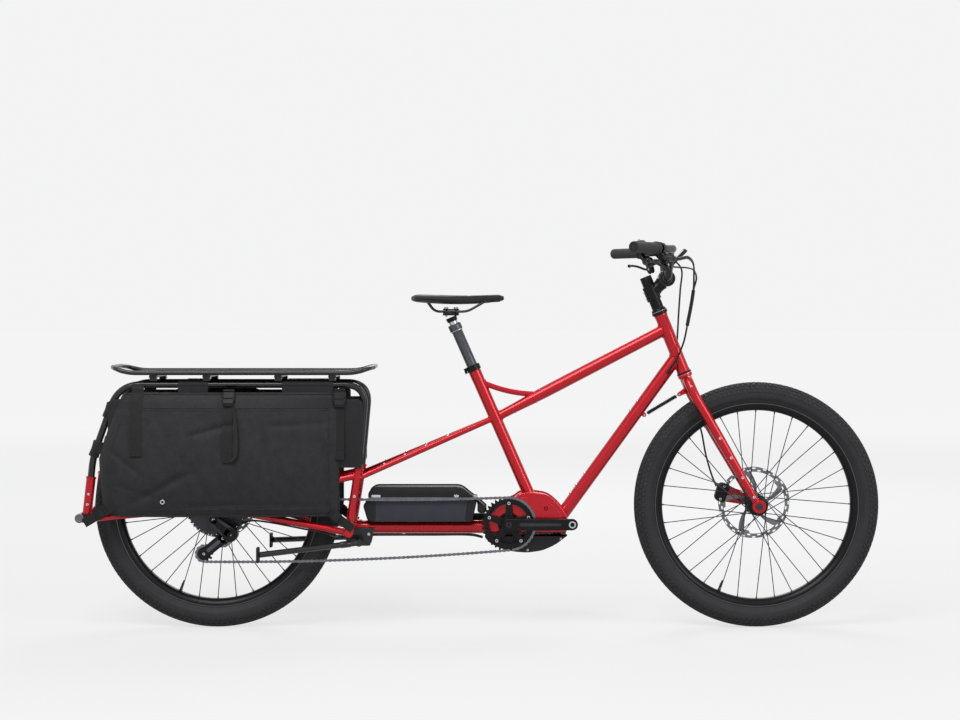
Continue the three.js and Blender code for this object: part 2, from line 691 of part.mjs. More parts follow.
// A hub shell's profile between two ends, with a flange at each given place.
function hubProfile(low, high, flanges) {
  const bore = axleRadius + gap;
  const half = hub.flangeThick / 2;
  const [right, leftFlange] = flanges;
  return [[bore, low], [hub.endRadius, low], [hub.flangeRadius, right - half],
    [hub.flangeRadius, right + half], [hub.barrelRadius, right + half], [hub.barrelRadius, leftFlange - half],
    [hub.flangeRadius, leftFlange - half], [hub.flangeRadius, leftFlange + half],
        [hub.endRadius, leftFlange + half],
    [hub.endRadius, high], [bore, high], [bore, low]];
}

function polar(radius, angle, side = 0) {
  return new THREE.Vector3(radius * Math.cos(angle), side, radius * Math.sin(angle));
}

// Rim, spokes laced three times crossed, and hub shell, as one body about the Y axis.
function wheelPiece(low, high, flanges) {
  const parts = [rimPiece(), turned(hubProfile(low, high, flanges), new THREE.Vector3(), left)];
  const rimMiddle = rimInner + wheel.rimDepth / 2;
  for (let i = 0; i < spoke.count; i++) {
    const rimAngle = (2 * Math.PI * i) / spoke.count;
    const flange = flanges[i % 2];
    const lean = Math.floor(i / 2) % 2 === 0 ? 1 : -1;
    const inner = polar(hub.spokeRadius, rimAngle - lean * spoke.crossAngle * degree,
      flange + lean * spoke.weave / 2);
    parts.push(rod(inner, polar(rimMiddle, rimAngle), spoke.radius, spokeSides));
  }
  return join(...parts);
}

function rotorPiece() {
  const outer = [];
  const steps = rotor.waves * 4;
  for (let i = 0; i < steps; i++) {
    const angle = (2 * Math.PI * i) / steps;
    const dip = (rotor.waveDepth / 2) * (1 - Math.cos(rotor.waves * angle));
    outer.push(new THREE.Vector2((rotor.radius - dip) * Math.cos(angle),
        (rotor.radius - dip) * Math.sin(angle)));
  }
  const shape = new THREE.Shape(outer);
  shape.holes.push(new THREE.Path(roundSection(hub.endRadius + gap, roundSides).getPoints()));
  const window = (2 * Math.PI) / rotor.arms;
  for (let i = 0; i < rotor.arms; i++) {
    const angles = [0, 0.5, 1].map((t) => window * (i + rotorArmShare / 2 + t * (1 - rotorArmShare)));
    const rimSide = angles.map((a) => new THREE.Vector2(rotor.ringInner * Math.cos(a),
        rotor.ringInner * Math.sin(a)));
    const hubSide = angles.map((a) => new THREE.Vector2(rotor.carrier * Math.cos(a),
        rotor.carrier * Math.sin(a)));
    shape.holes.push(new THREE.Path([...rimSide, ...hubSide.reverse()]));
  }
  return slab(shape, -rotor.thick / 2, rotor.thick / 2);
}

function addWheel(name, axle, low, high, flanges, rotorSide) {
  const group = new THREE.Group();
  group.position.copy(axle);
  bike.add(group);
  addPiece(`${name}_tyre`, tyrePiece(), tyreRubber, group);
  addPiece(`${name}_wheel`, wheelPiece(low, high, flanges), blackAlloy, group);
  const rotorGroup = new THREE.Group();
  rotorGroup.position.y = rotorSide;
  group.add(rotorGroup);
  addPiece(`${name}_rotor`, rotorPiece(), bareSteel, rotorGroup);
}

// A four-sided outline that reaches from an axle along an angle, in the XZ plane.
function radialOutline(axle, angle, near, far, half) {
  const out = new THREE.Vector2(Math.cos(angle * degree), Math.sin(angle * degree));
  const across = new THREE.Vector2(-out.y, out.x);
  const centre = new THREE.Vector2(axle.x, axle.z);
  return [[near, -half], [far, -half], [far, half], [near, half]].map(([along, aside]) =>
    centre.clone().addScaledVector(out, along).addScaledVector(across, aside));
}

function caliperBody(axle, angle, plane) {
  const outline = radialOutline(axle, angle, caliper.reach - caliper.depth / 2,
      caliper.reach + caliper.depth / 2,
    caliper.length / 2);
  const slot = disc(axle, rotor.radius + caliper.slot, plane - caliper.slot, plane + caliper.slot,
      wheelSides);
  return cut(slab(outline, plane - caliper.inner, plane + caliperOuter), slot);
}

// Drive

function pitchRadius(teeth) {
  return chainPitch / (2 * Math.sin(Math.PI / teeth));
}

// A toothed outline whose teeth stay under the chain's inner edge.
function toothedOutline(teeth, tip) {
  const points = [];
  const step = (2 * Math.PI) / teeth;
  for (let i = 0; i < teeth; i++) {
    const corners = [[tip - toothDepth, -0.5], [tip, 0]];
    for (const [radius, share] of corners) {
      const angle = (i + share) * step;
      points.push(new THREE.Vector2(radius * Math.cos(angle), radius * Math.sin(angle)));
    }
  }
  return points;
}

function underChain(teeth) {
  return pitchRadius(teeth) - chain.halfHeight - chain.clear;
}

function chainRingPiece() {
  const shape = new THREE.Shape(toothedOutline(ring.teeth, underChain(ring.teeth)));
  shape.holes.push(new THREE.Path(roundSection(ring.bore + gap, roundSides).getPoints()));
  return slab(shape, -ring.thick / 2, ring.thick / 2);
}

function pulleyPiece() {
  const shape = new THREE.Shape(toothedOutline(pulley.teeth, underChain(pulley.teeth) - gap));
  shape.holes.push(new THREE.Path(roundSection(pulley.bore, tubeSides).getPoints()));
  return slab(shape, -pulley.thick / 2, pulley.thick / 2);
}

// The cassette's stepped profile, its smallest sprocket outermost.
function cassettePiece() {
  const outermost = drivePlane - chainSprocket * sprocket.spacing;
  const bore = axleRadius + gap;
  const half = sprocket.thick / 2;
  const profile = [];
  sprocketTeeth.forEach((teeth, i) => {
    const plane = outermost + i * sprocket.spacing;
    const spread = i === chainSprocket ? sprocket.spacing - half : half;
    const radius = i === chainSprocket ? underChain(teeth) : pitchRadius(teeth) + half;
    profile.push([radius, plane - spread]);
    if (i <= chainSprocket || i + 1 === sprocketTeeth.length) profile.push([radius, plane + spread]);
  });
  const inboard = outermost + (sprocketTeeth.length - 1) * sprocket.spacing + sprocket.thick / 2;
  const outboard = outermost - sprocket.thick / 2;
  const whole = [[bore, -rearHub.halfWidth], [hub.endRadius, -rearHub.halfWidth],
    [hub.endRadius, outboard - sprocket.lockWidth], [sprocket.lockRadius, outboard - sprocket.lockWidth],
    [sprocket.lockRadius, outboard], ...profile, [sprocket.bodyRadius, inboard],
    [sprocket.bodyRadius, rearHub.rightEnd - gap], [bore, rearHub.rightEnd - gap],
        [bore, -rearHub.halfWidth]];
  return turned(whole, new THREE.Vector3(), left, crossSides);
}

// The chain's centre line round the four toothed wheels, from tangent lines between circles whose
// radius is positive where the chain turns anticlockwise as seen with +X to the right.
function chainLine() {
  const wheels = [
    { at: place(crankAxis.ahead, crankAxis.up), radius: -pitchRadius(ring.teeth) },
    { at: place(-tensionPulley.behind, tensionPulley.up), radius: -pitchRadius(pulley.teeth) },
    { at: place(guidePulley.ahead, guidePulley.up), radius: pitchRadius(pulley.teeth) },
    { at: rearAxle, radius: -pitchRadius(sprocketTeeth[chainSprocket]) },
  ];
  const sags = [chain.lowSag, 0, 0, chain.topSag];
  const tangents = wheels.map((from, i) => {
    const to = wheels[(i + 1) % wheels.length];
    const apart = new THREE.Vector2(to.at.x - from.at.x, to.at.z - from.at.z);
    const heading = apart.angle() - Math.asin((to.radius - from.radius) / apart.length());
    return { heading, from, to };
  });
  const touch = (circle, heading) => new THREE.Vector2(
    circle.at.x + circle.radius * Math.sin(heading), circle.at.z - circle.radius * Math.cos(heading));
  const line = [];
  tangents.forEach(({ heading, from, to }, i) => {
    const start = touch(from, heading);
    const end = touch(to, heading);
    const steps = sags[i] > 0 ? chain.runSteps : 1;
    for (let k = 0; k < steps; k++) {
      const t = k / steps;
      const point = start.clone().lerp(end, t);
      point.y -= 4 * sags[i] * t * (1 - t);
      line.push(point);
    }
    const next = tangents[(i + 1) % tangents.length].heading;
    let turn = (next - heading) % (2 * Math.PI);
    if (to.radius < 0 && turn > 0) turn -= 2 * Math.PI;
    if (to.radius > 0 && turn < 0) turn += 2 * Math.PI;
    const arcLength = Math.abs(turn * to.radius) / (Math.PI * pitchRadius(ring.teeth));
    const arcSteps = Math.max(3, Math.round(chain.arcSteps * arcLength));
    for (let k = 0; k < arcSteps; k++) line.push(touch(to, heading + (turn * k) / arcSteps));
  });
  return line;
}

// The chain as one closed band round its centre line.
function chainPiece() {
  const line = chainLine().reverse();
  const inner = grown(line, -chain.halfHeight);
  const shape = new THREE.Shape(grown(line, chain.halfHeight));
  shape.holes.push(new THREE.Path(inner));
  return slab(shape, drivePlane - chain.width / 2, drivePlane + chain.width / 2);
}

function crankArm(direction, low, high) {
  const axis = place(crankAxis.ahead, crankAxis.up);
  const eye = axis.clone().add(new THREE.Vector3(direction * crank.length, 0, 0));
  const tangentShare = (crank.rootRadius - crank.eyeRadius) / crank.length;
  const outline = [[axis, crank.rootRadius, -1], [eye, crank.eyeRadius, -1], [eye, crank.eyeRadius, 1],
    [axis, crank.rootRadius, 1]].map(([centre, radius, side]) =>
    new THREE.Vector2(centre.x + direction * radius * tangentShare,
        centre.z + side * direction * radius * 0.82));
  const arm = join(slab(outline, low, high), disc(axis, crank.rootRadius, low, high),
      disc(eye, crank.eyeRadius, low, high));
  return cut(arm, disc(eye, crank.eyeBore, low - overrun, high + overrun));
}

function crankRightPiece() {
  const axis = place(crankAxis.ahead, crankAxis.up);
  const plateInner = drivePlane - ring.thick / 2 - gap;
  const arms = [];
  for (let i = 0; i < spider.arms; i++) {
    const outline = radialOutline(axis, 90 + (360 * i) / spider.arms, 0, spider.radius, spider.armWidth / 2);
    arms.push(slab(outline, plateInner - spider.thick, plateInner));
  }
  const seat = disc(axis, ring.bore, plateInner - spider.thick, drivePlane + ring.thick / 2);
  const spindle = disc(axis, crank.spindle, -crank.inner - overrun, crank.outer);
  const boss = disc(axis, crank.boss, -crank.inner - overrun, plateInner);
  return join(...arms, seat, spindle, boss, crankArm(1, -crank.outer, -crank.inner));
}

function crankLeftPiece() {
  const axis = place(crankAxis.ahead, crankAxis.up);
  return cut(crankArm(-1, crank.inner, crank.outer),
    disc(axis, crank.spindle + gap, crank.inner - overrun, crank.outer + overrun));
}

// Rear derailleur: the body with its shift housing, and the cage with its two pulleys

function capsule(from, to, radiusFrom, radiusTo, low, high) {
  const aim = Math.atan2(to.z - from.z, to.x - from.x);
  const outline = [];
  const steps = 6;
  for (let i = 0; i <= steps; i++) {
    const angle = aim + Math.PI / 2 + (Math.PI * i) / steps;
    outline.push(new THREE.Vector2(from.x + radiusFrom * Math.cos(angle),
        from.z + radiusFrom * Math.sin(angle)));
  }
  for (let i = 0; i <= steps; i++) {
    const angle = aim - Math.PI / 2 + (Math.PI * i) / steps;
    outline.push(new THREE.Vector2(to.x + radiusTo * Math.cos(angle), to.z + radiusTo * Math.sin(angle)));
  }
  return slab(outline, low, high);
}

function derailleurBodyPiece() {
  const hanger = place(0, tyreRadius - dropout.hangerDrop);
  const pivot = place(cage.ahead, cage.up);
  const outer = -(frameSide + gap);
  const link = capsule(hanger, pivot, derailleur.linkRadius, derailleur.knuckle, outer - dropout.thick,
      outer);
  const knuckle = disc(pivot, derailleur.knuckle, outer - dropout.thick,
      drivePlane - cage.plateSide - cage.plateThick - gap);
  const housing = new THREE.CatmullRomCurve3(places(shiftHousingRoute));
  return join(link, knuckle, hoseTube(housing, hose.radius));
}

function cagePiece() {
  const pivot = place(cage.ahead, cage.up);
  const guide = place(guidePulley.ahead, guidePulley.up);
  const tension = place(-tensionPulley.behind, tensionPulley.up);
  const parts = [];
  for (const side of [1, -1]) {
    const near = drivePlane + side * cage.plateSide;
    const far = near + side * cage.plateThick;
    parts.push(capsule(guide, tension, cage.edge, cage.edge, Math.min(near, far), Math.max(near, far)));
  }
  const reach = cage.plateSide + cage.plateThick;
  parts.push(capsule(pivot, guide, cage.pivotRadius, cage.edge, drivePlane - reach,
      drivePlane - cage.plateSide));
  for (const at of [guide, tension]) parts.push(disc(at, pulley.boltRadius, drivePlane - reach,
      drivePlane + reach, tubeSides));
  return join(...parts);
}

// Seat

function seatpostOuterPiece() {
  const profile = [[post.bore, -post.below], [post.radius, -post.below], [post.radius, post.above],
    [post.headRadius, post.above], [post.headRadius, post.above + post.headHeight],
    [post.bore, post.above + post.headHeight], [post.bore, -post.below]];
  return turned(profile, seatTop, seatUp, roundSides);
}

function seatpostInnerPiece() {
  const mouth = post.above + post.headHeight;
  const clampCentre = upSeatTube(mouth + stanchion.shown);
  clampCentre.z = railClamp.up;
  const half = new THREE.Vector3(railClamp.length / 2, railClamp.width / 2, 0);
  const cradleTop = railClamp.up - rail.radius - gap;
  const clampBase = railClamp.up + rail.radius + gap;
  const cradle = block(new THREE.Vector3(clampCentre.x - half.x, -half.y, cradleTop - railClamp.plate),
    new THREE.Vector3(clampCentre.x + half.x, half.y, cradleTop));
  const topPlate = block(new THREE.Vector3(clampCentre.x - half.x, -half.y / 2, clampBase),
    new THREE.Vector3(clampCentre.x + half.x, half.y / 2, clampBase + railClamp.plate / 2));
  const bolts = [1, -1].map((end) => rod(
    new THREE.Vector3(clampCentre.x + end * railClamp.length * 0.3, 0, cradleTop - railClamp.plate * 2),
    new THREE.Vector3(clampCentre.x + end * railClamp.length * 0.3, 0, clampBase + railClamp.plate / 4),
    railClamp.boltRadius, hoseSides));
  return join(rod(upSeatTube(mouth - stanchion.inside), upSeatTube(mouth + stanchion.shown),
      stanchion.radius, roundSides),
    rod(upSeatTube(mouth + stanchion.shown / 2),
        new THREE.Vector3(clampCentre.x, 0, cradleTop - railClamp.plate / 2),
      stanchion.radius, tubeSides), cradle, topPlate, ...bolts);
}

// The saddle's cushion: widest near the tail, crowned across and drawn in at its sides.
function saddleCushion() {
  const length = saddle.noseAhead - saddle.tailAhead;
  const rings = [];
  for (let i = 0; i <= saddleStations; i++) {
    const t = i / saddleStations;
    const open = Math.sqrt(Math.sin(Math.PI * Math.min(1, 0.04 + 0.92 * t)) ** 0.35);
    const blend = THREE.MathUtils.smoothstep(t, 0.12, 0.62);
    const ends = Math.min(1, Math.sqrt(t * 14 + 0.12), Math.sqrt((1 - t) * 16 + 0.12));
    const half = (THREE.MathUtils.lerp(saddle.width, saddle.noseWidth, blend) / 2) * ends * open;
    const crownTop = saddle.top - saddle.depth * (0.09 * Math.sin(Math.PI * t) ** 2 + 0.34 * (1 - ends));
    const base = saddle.top - saddle.depth * (0.72 + 0.28 * Math.sin(Math.PI * t));
    const ringPoints = [];
    for (let j = 0; j < saddleSides; j++) {
      const angle = (2 * Math.PI * j) / saddleSides;
      const across = Math.sign(Math.sin(angle)) * Math.abs(Math.sin(angle)) ** 0.7;
      const height = Math.cos(angle);
      const middle = (crownTop + base) / 2;
      const rise = height > 0 ? height ** 0.8 : -(Math.abs(height) ** 0.5);
      const drawIn = height < 0 ? saddleDrawIn * Math.abs(height) ** 0.5 * (half / (saddle.width / 2)) : 0;
      ringPoints.push(place(saddle.tailAhead + t * length, middle + (rise * (crownTop - base)) / 2,
        across * (half - drawIn)));
    }
    rings.push(ringPoints);
  }
  return loft(rings.reverse());
}

function saddlePiece() {
  const mouth = post.above + post.headHeight;
  const clamp = upSeatTube(mouth + stanchion.shown);
  const under = saddle.top - saddle.depth * 0.6;
  const reach = railClamp.length;
  const rails = [1, -1].map((side) => {
    const y = side * rail.halfGap;
    const corners = [new THREE.Vector3(clamp.x - reach * 1.5, y, under),
        new THREE.Vector3(clamp.x - reach, y, railClamp.up),
      new THREE.Vector3(clamp.x + reach, y, railClamp.up),
          new THREE.Vector3(clamp.x + reach * 2.2, y * 0.5, under)];
    return tube(bentPoints(corners, [rail.rise, rail.rise]), rail.radius, railSides);
  });
  return join(saddleCushion(), ...rails);
}

// Fork, headset, stem and handlebar

function forkPiece() {
  const profile = [[0, crown.low], [crown.radius, crown.low], [crown.radius, lowerRace.low],
    [lowerRace.radius, lowerRace.low], [lowerRace.radius, headTube.low - gap],
        [steerer.radius, headTube.low - gap],
    [steerer.radius, headTube.high + upperCup.height + gap],
        [steerer.spacer, headTube.high + upperCup.height + gap],
    [steerer.spacer, stem.low - gap], [steerer.radius, stem.low - gap], [steerer.radius, stem.high + gap],
    [steerer.spacer, stem.high + gap], [steerer.spacer, steerer.top], [0, steerer.top]];
  const parts = [turned(profile, steerFoot, steerUp, roundSides)];
  for (const side of [1, -1]) parts.push(...forkBlade(side));
  parts.push(disc(frontAxle, axleRadius, -forkEnd.outer, forkEnd.outer));
  const tabOut = radialOutline(frontAxle, caliper.angle, caliper.reach * 0.35, caliper.reach,
      caliper.length / 2);
  parts.push(slab(tabOut, frontRotorSide + caliperOuter + gap,
      frontRotorSide + caliperOuter + gap + forkTab.thick));
  const eye = place(springTop.ahead, springTop.up);
  const back = onSteering((crown.low + lowerRace.low) / 2);
  parts.push(rod(back, eye, springEye.radius), disc(eye, springEye.radius, -springEye.thick,
      springEye.thick, tubeSides));
  return join(...parts);
}

function forkBlade(side) {
  const crownMiddle = (crown.low + lowerRace.low) / 2;
  const foot = frontAxle.clone().addScaledVector(left, side * blade.footSide);
  const shoulder = onSteering(bladeShoulder.low, 0, side * blade.shoulderSide);
  const knee = shoulder.clone().lerp(foot, (bladeShoulder.low - bladeShoulder.taper) / bladeShoulder.low);
  const root = onSteering(crownMiddle, 0, side * blade.crownSide / 4);
  const path = new THREE.CatmullRomCurve3([root,
      onSteering(crownMiddle - blade.radius / 4, 0, side * blade.crownSide * 1.7),
    shoulder, shoulder.clone().lerp(knee, 0.5), knee]);
  const discSides = [side * forkEnd.inner, side * forkEnd.outer].sort((a, b) => a - b);
  const tip = foot.clone().add(knee.clone().sub(foot).setLength(blade.short));
  return [tube(path.getPoints(blade.steps), blade.radius), rod(knee, tip, blade.radius, tubeSides, blade.tip),
    disc(frontAxle, forkEnd.radius, ...discSides)];
}

function upperCupPiece() {
  const profile = [[headTube.bore, 0], [upperCup.radius, 0], [upperCup.radius, upperCup.height / 2],
    [upperCup.shoulder, upperCup.height], [headTube.bore, upperCup.height], [headTube.bore, 0]];
  return turned(profile, onSteering(headTube.high + gap / 2), steerUp, roundSides);
}

const stemBack = onSteering((stem.low + stem.high) / 2);
const stemAim = new THREE.Vector3(Math.cos(stem.rise * degree), 0, Math.sin(stem.rise * degree));
const barCentre = stemBack.clone().addScaledVector(stemAim, stem.length);

function stemPiece() {
  const clampOuter = bar.bulge + gap + stem.clampWall;
  const body = join(rod(onSteering(stem.low), onSteering(stem.high), stem.radius, roundSides),
    rod(stemBack, barCentre, stem.neck), disc(barCentre, clampOuter, -stem.clampWidth / 2,
        stem.clampWidth / 2));
  return cut(body, rod(onSteering(stem.low - overrun), onSteering(stem.high + overrun),
      steerer.radius + gap, roundSides),
    rod(onSteering(stem.high), onSteering(steerer.top + overrun), steerer.spacer + gap, roundSides),
    disc(barCentre, bar.bulge + gap, -stem.clampWidth, stem.clampWidth));
}

const sweepSide = bar.half - bar.endRun;
const riserSide = THREE.MathUtils.lerp(barBend.flatSide, sweepSide, barBend.riserShare);

function barPoint(side, up, ahead = 0) {
  return new THREE.Vector3(barCentre.x + ahead, side, barCentre.z + up);
}

function handlebarPiece() {
  const back = -bar.endRun * Math.tan(bar.sweep * degree);
  const leftHalf = [barPoint(barBend.flatSide, 0), barPoint(riserSide, bar.rise),
    barPoint(sweepSide, bar.rise), barPoint(bar.half, bar.rise, back)];
  const rightHalf = leftHalf.map(mirrorSide).reverse();
  const corners = [...rightHalf, ...leftHalf];
  const trims = corners.slice(2).map(() => barBend.trim);
  return join(tube(bentPoints(corners, trims), bar.radius, slimSides),
    disc(barCentre, bar.bulge, -bar.bulgeSide, bar.bulgeSide));
}

// The frame of one swept bar end, a distance out from its bend: its X runs outwards along the bar,
// its Y towards the brake lever and its Z square to both, back on the left and ahead on the right.
function barEndMatrix(side, start) {
  const angle = bar.sweep * degree;
  const tilt = leverTilt * degree;
  const out = new THREE.Vector3(-Math.sin(angle), side * Math.cos(angle), 0);
  const level = new THREE.Vector3(Math.cos(angle), side * Math.sin(angle), 0);
  const drop = level.multiplyScalar(Math.cos(tilt));
  drop.z = -Math.sin(tilt);
  const across = new THREE.Vector3().crossVectors(out, drop);
  const origin = barPoint(side * sweepSide, bar.rise).addScaledVector(out, start);
  return new THREE.Matrix4().makeBasis(out, drop, across).setPosition(origin);
}

function barEndGroup(side, start) {
  const group = new THREE.Group();
  group.applyMatrix4(barEndMatrix(side, start));
  bike.add(group);
  return group;
}

const barEndLength = bar.endRun / Math.cos(bar.sweep * degree);
const gripStart = barEndLength - grip.length;
const leverStart = gripStart - leverSet;

const alongX = new THREE.Vector3(1, 0, 0);

function local(along, drop, across = 0) {
  return new THREE.Vector3(along, drop, across);
}

// A rod across the bar's own group, between two places along its Z.
function pin(along, drop, radius, from, to, sides = tubeSides) {
  return rod(local(along, drop, Math.min(from, to)), local(along, drop, Math.max(from, to)), radius, sides);
}

function gripPiece() {
  const bore = bar.radius + gap;
  const [start, outer] = [gripStart, barEndLength];
  const profile = [[bore, start], [grip.flangeRadius, start], [grip.flangeRadius, start + grip.flangeWidth],
    [grip.radius, start + grip.flangeWidth], [grip.radius, outer + gap],
        [grip.radius - grip.cap, outer + gap + grip.cap],
    [0, outer + gap + grip.cap], [0, outer + gap], [bore, outer + gap], [bore, start]];
  return turned(profile, local(0, 0), alongX, roundSides);
}

function leverClampPiece(side) {
  const bore = bar.radius + gap;
  const ringBody = turned(washer(bore, clampRing.radius, clampRing.width), local(clampRing.start, 0), alongX);
  const body = rod(local(cylinderBody.start, cylinderBody.drop), local(cylinderBody.end, cylinderBody.drop),
      cylinderBody.radius);
  const neck = block(local(clampRing.start, clampRing.radius - clampRing.sink, -cylinderBody.radius / 2),
    local(clampRing.start + clampRing.width, cylinderBody.drop, cylinderBody.radius / 2));
  const fork = cut(block(local(leverPivot.along - clevis.half, clevis.back, -clevis.halfThick),
    local(leverPivot.along + clevis.half, clevis.front, clevis.halfThick)),
  block(local(leverPivot.along - clevis.half - overrun, clevis.slotBack, -leverPivot.thick / 2 - gap),
    local(leverPivot.along + clevis.half + overrun, clevis.front + overrun, leverPivot.thick / 2 + gap)));
  const slotClear = block(local(leverPivot.along - clevis.half, clevis.slotBack, -leverPivot.thick / 2 - gap),
    local(cylinderBody.end + overrun, clevis.front, leverPivot.thick / 2 + gap));
  const podBody = pin(pod.along, pod.drop, pod.radius, side * pod.near, side * pod.far);
  return cut(join(ringBody, body, neck, fork, podBody), slotClear,
    rod(local(clampRing.start - overrun, 0), local(clampRing.start + clampRing.width + overrun, 0), bore));
}

function leverPiece() {
  const half = leverPivot.thick / 2;
  const tip = local(leverPivot.along + lever.length, leverPivot.drop - lever.rise);
  const arm = block(local(0, -lever.width / 2, -half), local(lever.length, lever.width / 2, half));
  arm.rotateZ(-Math.atan(lever.rise / lever.length)).translate(leverPivot.along, leverPivot.drop, 0);
  const ball = new THREE.SphereGeometry(lever.ball, hoseSides, hoseSides / 2).translate(tip.x, tip.y, tip.z);
  return join(pin(leverPivot.along, leverPivot.drop, leverPivot.radius, -half, half), arm, ball);
}

function paddlePiece(side) {
  const near = side * (pod.far + gap);
  const far = near + side * paddle.thick;
  const low = Math.min(near, far);
  const high = Math.max(near, far);
  const arm = new THREE.BoxGeometry(paddle.length, paddle.width, high - low).translate(paddle.length / 2, 0,
      0);
  arm.rotateZ(paddle.angle * degree);
  arm.translate(pod.along, pod.drop, (low + high) / 2);
  return join(arm, pin(pod.along, pod.drop, paddle.hubRadius, low, high));
}

function bellPiece() {
  const bore = bar.radius + gap;
  const middle = bell.start + bell.width / 2;
  const ringBody = turned(washer(bore, bell.ring, bell.width), local(bell.start, 0), alongX);
  const dome = [[0, bell.base], [bell.radius, bell.base],
      [bell.radius * 0.97, bell.base + (bell.top - bell.base) * 0.4],
    [bell.radius * 0.6, bell.base + (bell.top - bell.base) * 0.87], [0, bell.top]];
  const away = new THREE.Vector3(0, -1, 0);
  return join(ringBody, rod(local(middle, -bell.ring + bell.neck / 2),
      local(middle, -bell.base - bell.neck / 2), bell.neck),
    turned(dome, local(middle, 0), away));
}

function displayPiece() {
  const centre = barPoint(0, display.up, display.ahead);
  const plate = new THREE.BoxGeometry(display.length, display.width, display.thick);
  plate.rotateY(-display.tilt * degree).translate(centre.x, centre.y, centre.z);
  const reach = display.length / 2 - displayArm.radius * 2;
  const low = barPoint(0, display.up - reach * Math.sin(display.tilt * degree),
      display.ahead - reach * Math.cos(display.tilt * degree));
  const parts = [plate];
  for (const side of [1, -1]) {
    const ringStart = barPoint(side * displayArm.side - displayArm.ringWidth / 2, 0);
    parts.push(turned(washer(bar.bulge + gap, displayArm.ringRadius, displayArm.ringWidth), ringStart, left));
    const foot = barPoint(side * (displayArm.side - displayArm.ringWidth / 2),
        bar.bulge + displayArm.radius + gap);
    parts.push(rod(foot, new THREE.Vector3(low.x, side * (display.width / 2 - displayArm.radius), low.z),
        displayArm.radius, hoseSides));
  }
  return join(...parts);
}

// Hoses and the bundle of cables

function places(route) {
  return route.map(([ahead, up, side]) => place(ahead, up, side));
}

// The last two places of a hose that runs straight into a bar end's part from inboard.
function hoseEnd(side, along, drop, across = 0) {
  const matrix = barEndMatrix(side, leverStart);
  return [local(along - gap - hose.lead, drop, across), local(along - gap, drop, across)]
    .map((point) => point.applyMatrix4(matrix));
}

function frontCaliperPiece() {
  const path = new THREE.CatmullRomCurve3([...places(frontHoseRoute),
      ...hoseEnd(1, cylinderBody.start, cylinderBody.drop)]);
  return join(caliperBody(frontAxle, caliper.angle, frontRotorSide), hoseTube(path, hose.radius));
}

function rearCaliperPiece() {
  const path = new THREE.CatmullRomCurve3(places(rearHoseRoute));
  return join(caliperBody(rearAxle, caliper.rearAngle, rearRotorSide), hoseTube(path, hose.radius));
}

function controlCablesPiece() {
  const fromRight = hoseEnd(-1, cylinderBody.start, cylinderBody.drop).reverse();
  const fromLeft = hoseEnd(1, pod.along - pod.radius, pod.drop, (pod.near + pod.far) / 2).reverse();
  const right = new THREE.CatmullRomCurve3([...fromRight, ...places(rightCableRoute)]);
  const leftRun = new THREE.CatmullRomCurve3([...fromLeft, ...places(leftCableRoute)]);
  return cut(join(hoseTube(right, hose.bundle), hoseTube(leftRun, hose.radius)), downTubeSpace());
}

// Stabiliser spring: one wire wound round the line between its two eyes, with straight ends

function springLine() {
  const low = place(spring.ahead, spring.up);
  const high = place(springTop.ahead, springTop.up);
  const along = high.clone().sub(low).normalize();
  const start = low.addScaledVector(along, springEye.radius + gap);
  const end = high.addScaledVector(along, -springEye.radius - gap);
  const across = new THREE.Vector3().crossVectors(left, along).normalize();
  const coilLength = start.distanceTo(end) - 2 * spring.lead;
  const points = [start.clone(), start.clone().addScaledVector(along, spring.lead / 2)];
  const count = spring.curls * curlSteps;
  for (let i = 0; i <= count; i++) {
    const angle = (2 * Math.PI * i) / curlSteps;
    const widen = Math.min(1, i / curlSteps, (count - i) / curlSteps);
    points.push(start.clone().addScaledVector(along, spring.lead + (coilLength * i) / count)
      .addScaledVector(across, spring.coilRadius * widen * Math.cos(angle))
      .addScaledVector(left, spring.coilRadius * widen * Math.sin(angle)));
  }
  points.push(end.clone().addScaledVector(along, -spring.lead / 2), end.clone());
  return points;
}

function leastSelfGap(points) {
  let least = Infinity;
  for (let i = 0; i < points.length; i++) {
    for (let j = i + curlSteps - 1; j < points.length; j++) least = Math.min(least,
        points[i].distanceTo(points[j]));
  }
  return least - 2 * spring.wire;
}

function springPiece() {
  const points = springLine();
  console.log(`least gap between the spring's curls: ${leastSelfGap(points).toFixed(2)} mm`);
  return tube(points, spring.wire, wireSides);
}

// Rack, deck and bags

function hoopCorners(side) {
  const y = side * frameSide;
  const [rearFoot, rearTop] = rearUprightEnds(side);
  const frontFoot = place(frontCrossAhead, frontCross.up, y);
  const frontTop = onFrontUpright(0, y);
  const rearStart = rearTop.clone().add(rearFoot.clone().sub(rearTop).setLength(socketDepth));
  const frontEnd = frontTop.clone().add(frontFoot.clone().sub(frontTop).setLength(socketDepth));
  return [rearStart, rearTop, place(-hoop.kinkBehind, hoop.kinkUp, y), place(-hoop.rearCorner, hoop.up, y),
    place(hoop.frontCorner, hoop.up, y), frontTop, frontEnd];
}

function hoopPiece(side) {
  const trims = [0, hoopBend.kink, hoopBend.corner, hoopBend.corner, 0];
  return tube(bentPoints(hoopCorners(side), trims), hoop.radius, slimSides);
}

const deckBarTop = deck.railUp - deck.railRadius + deckBar.sink;

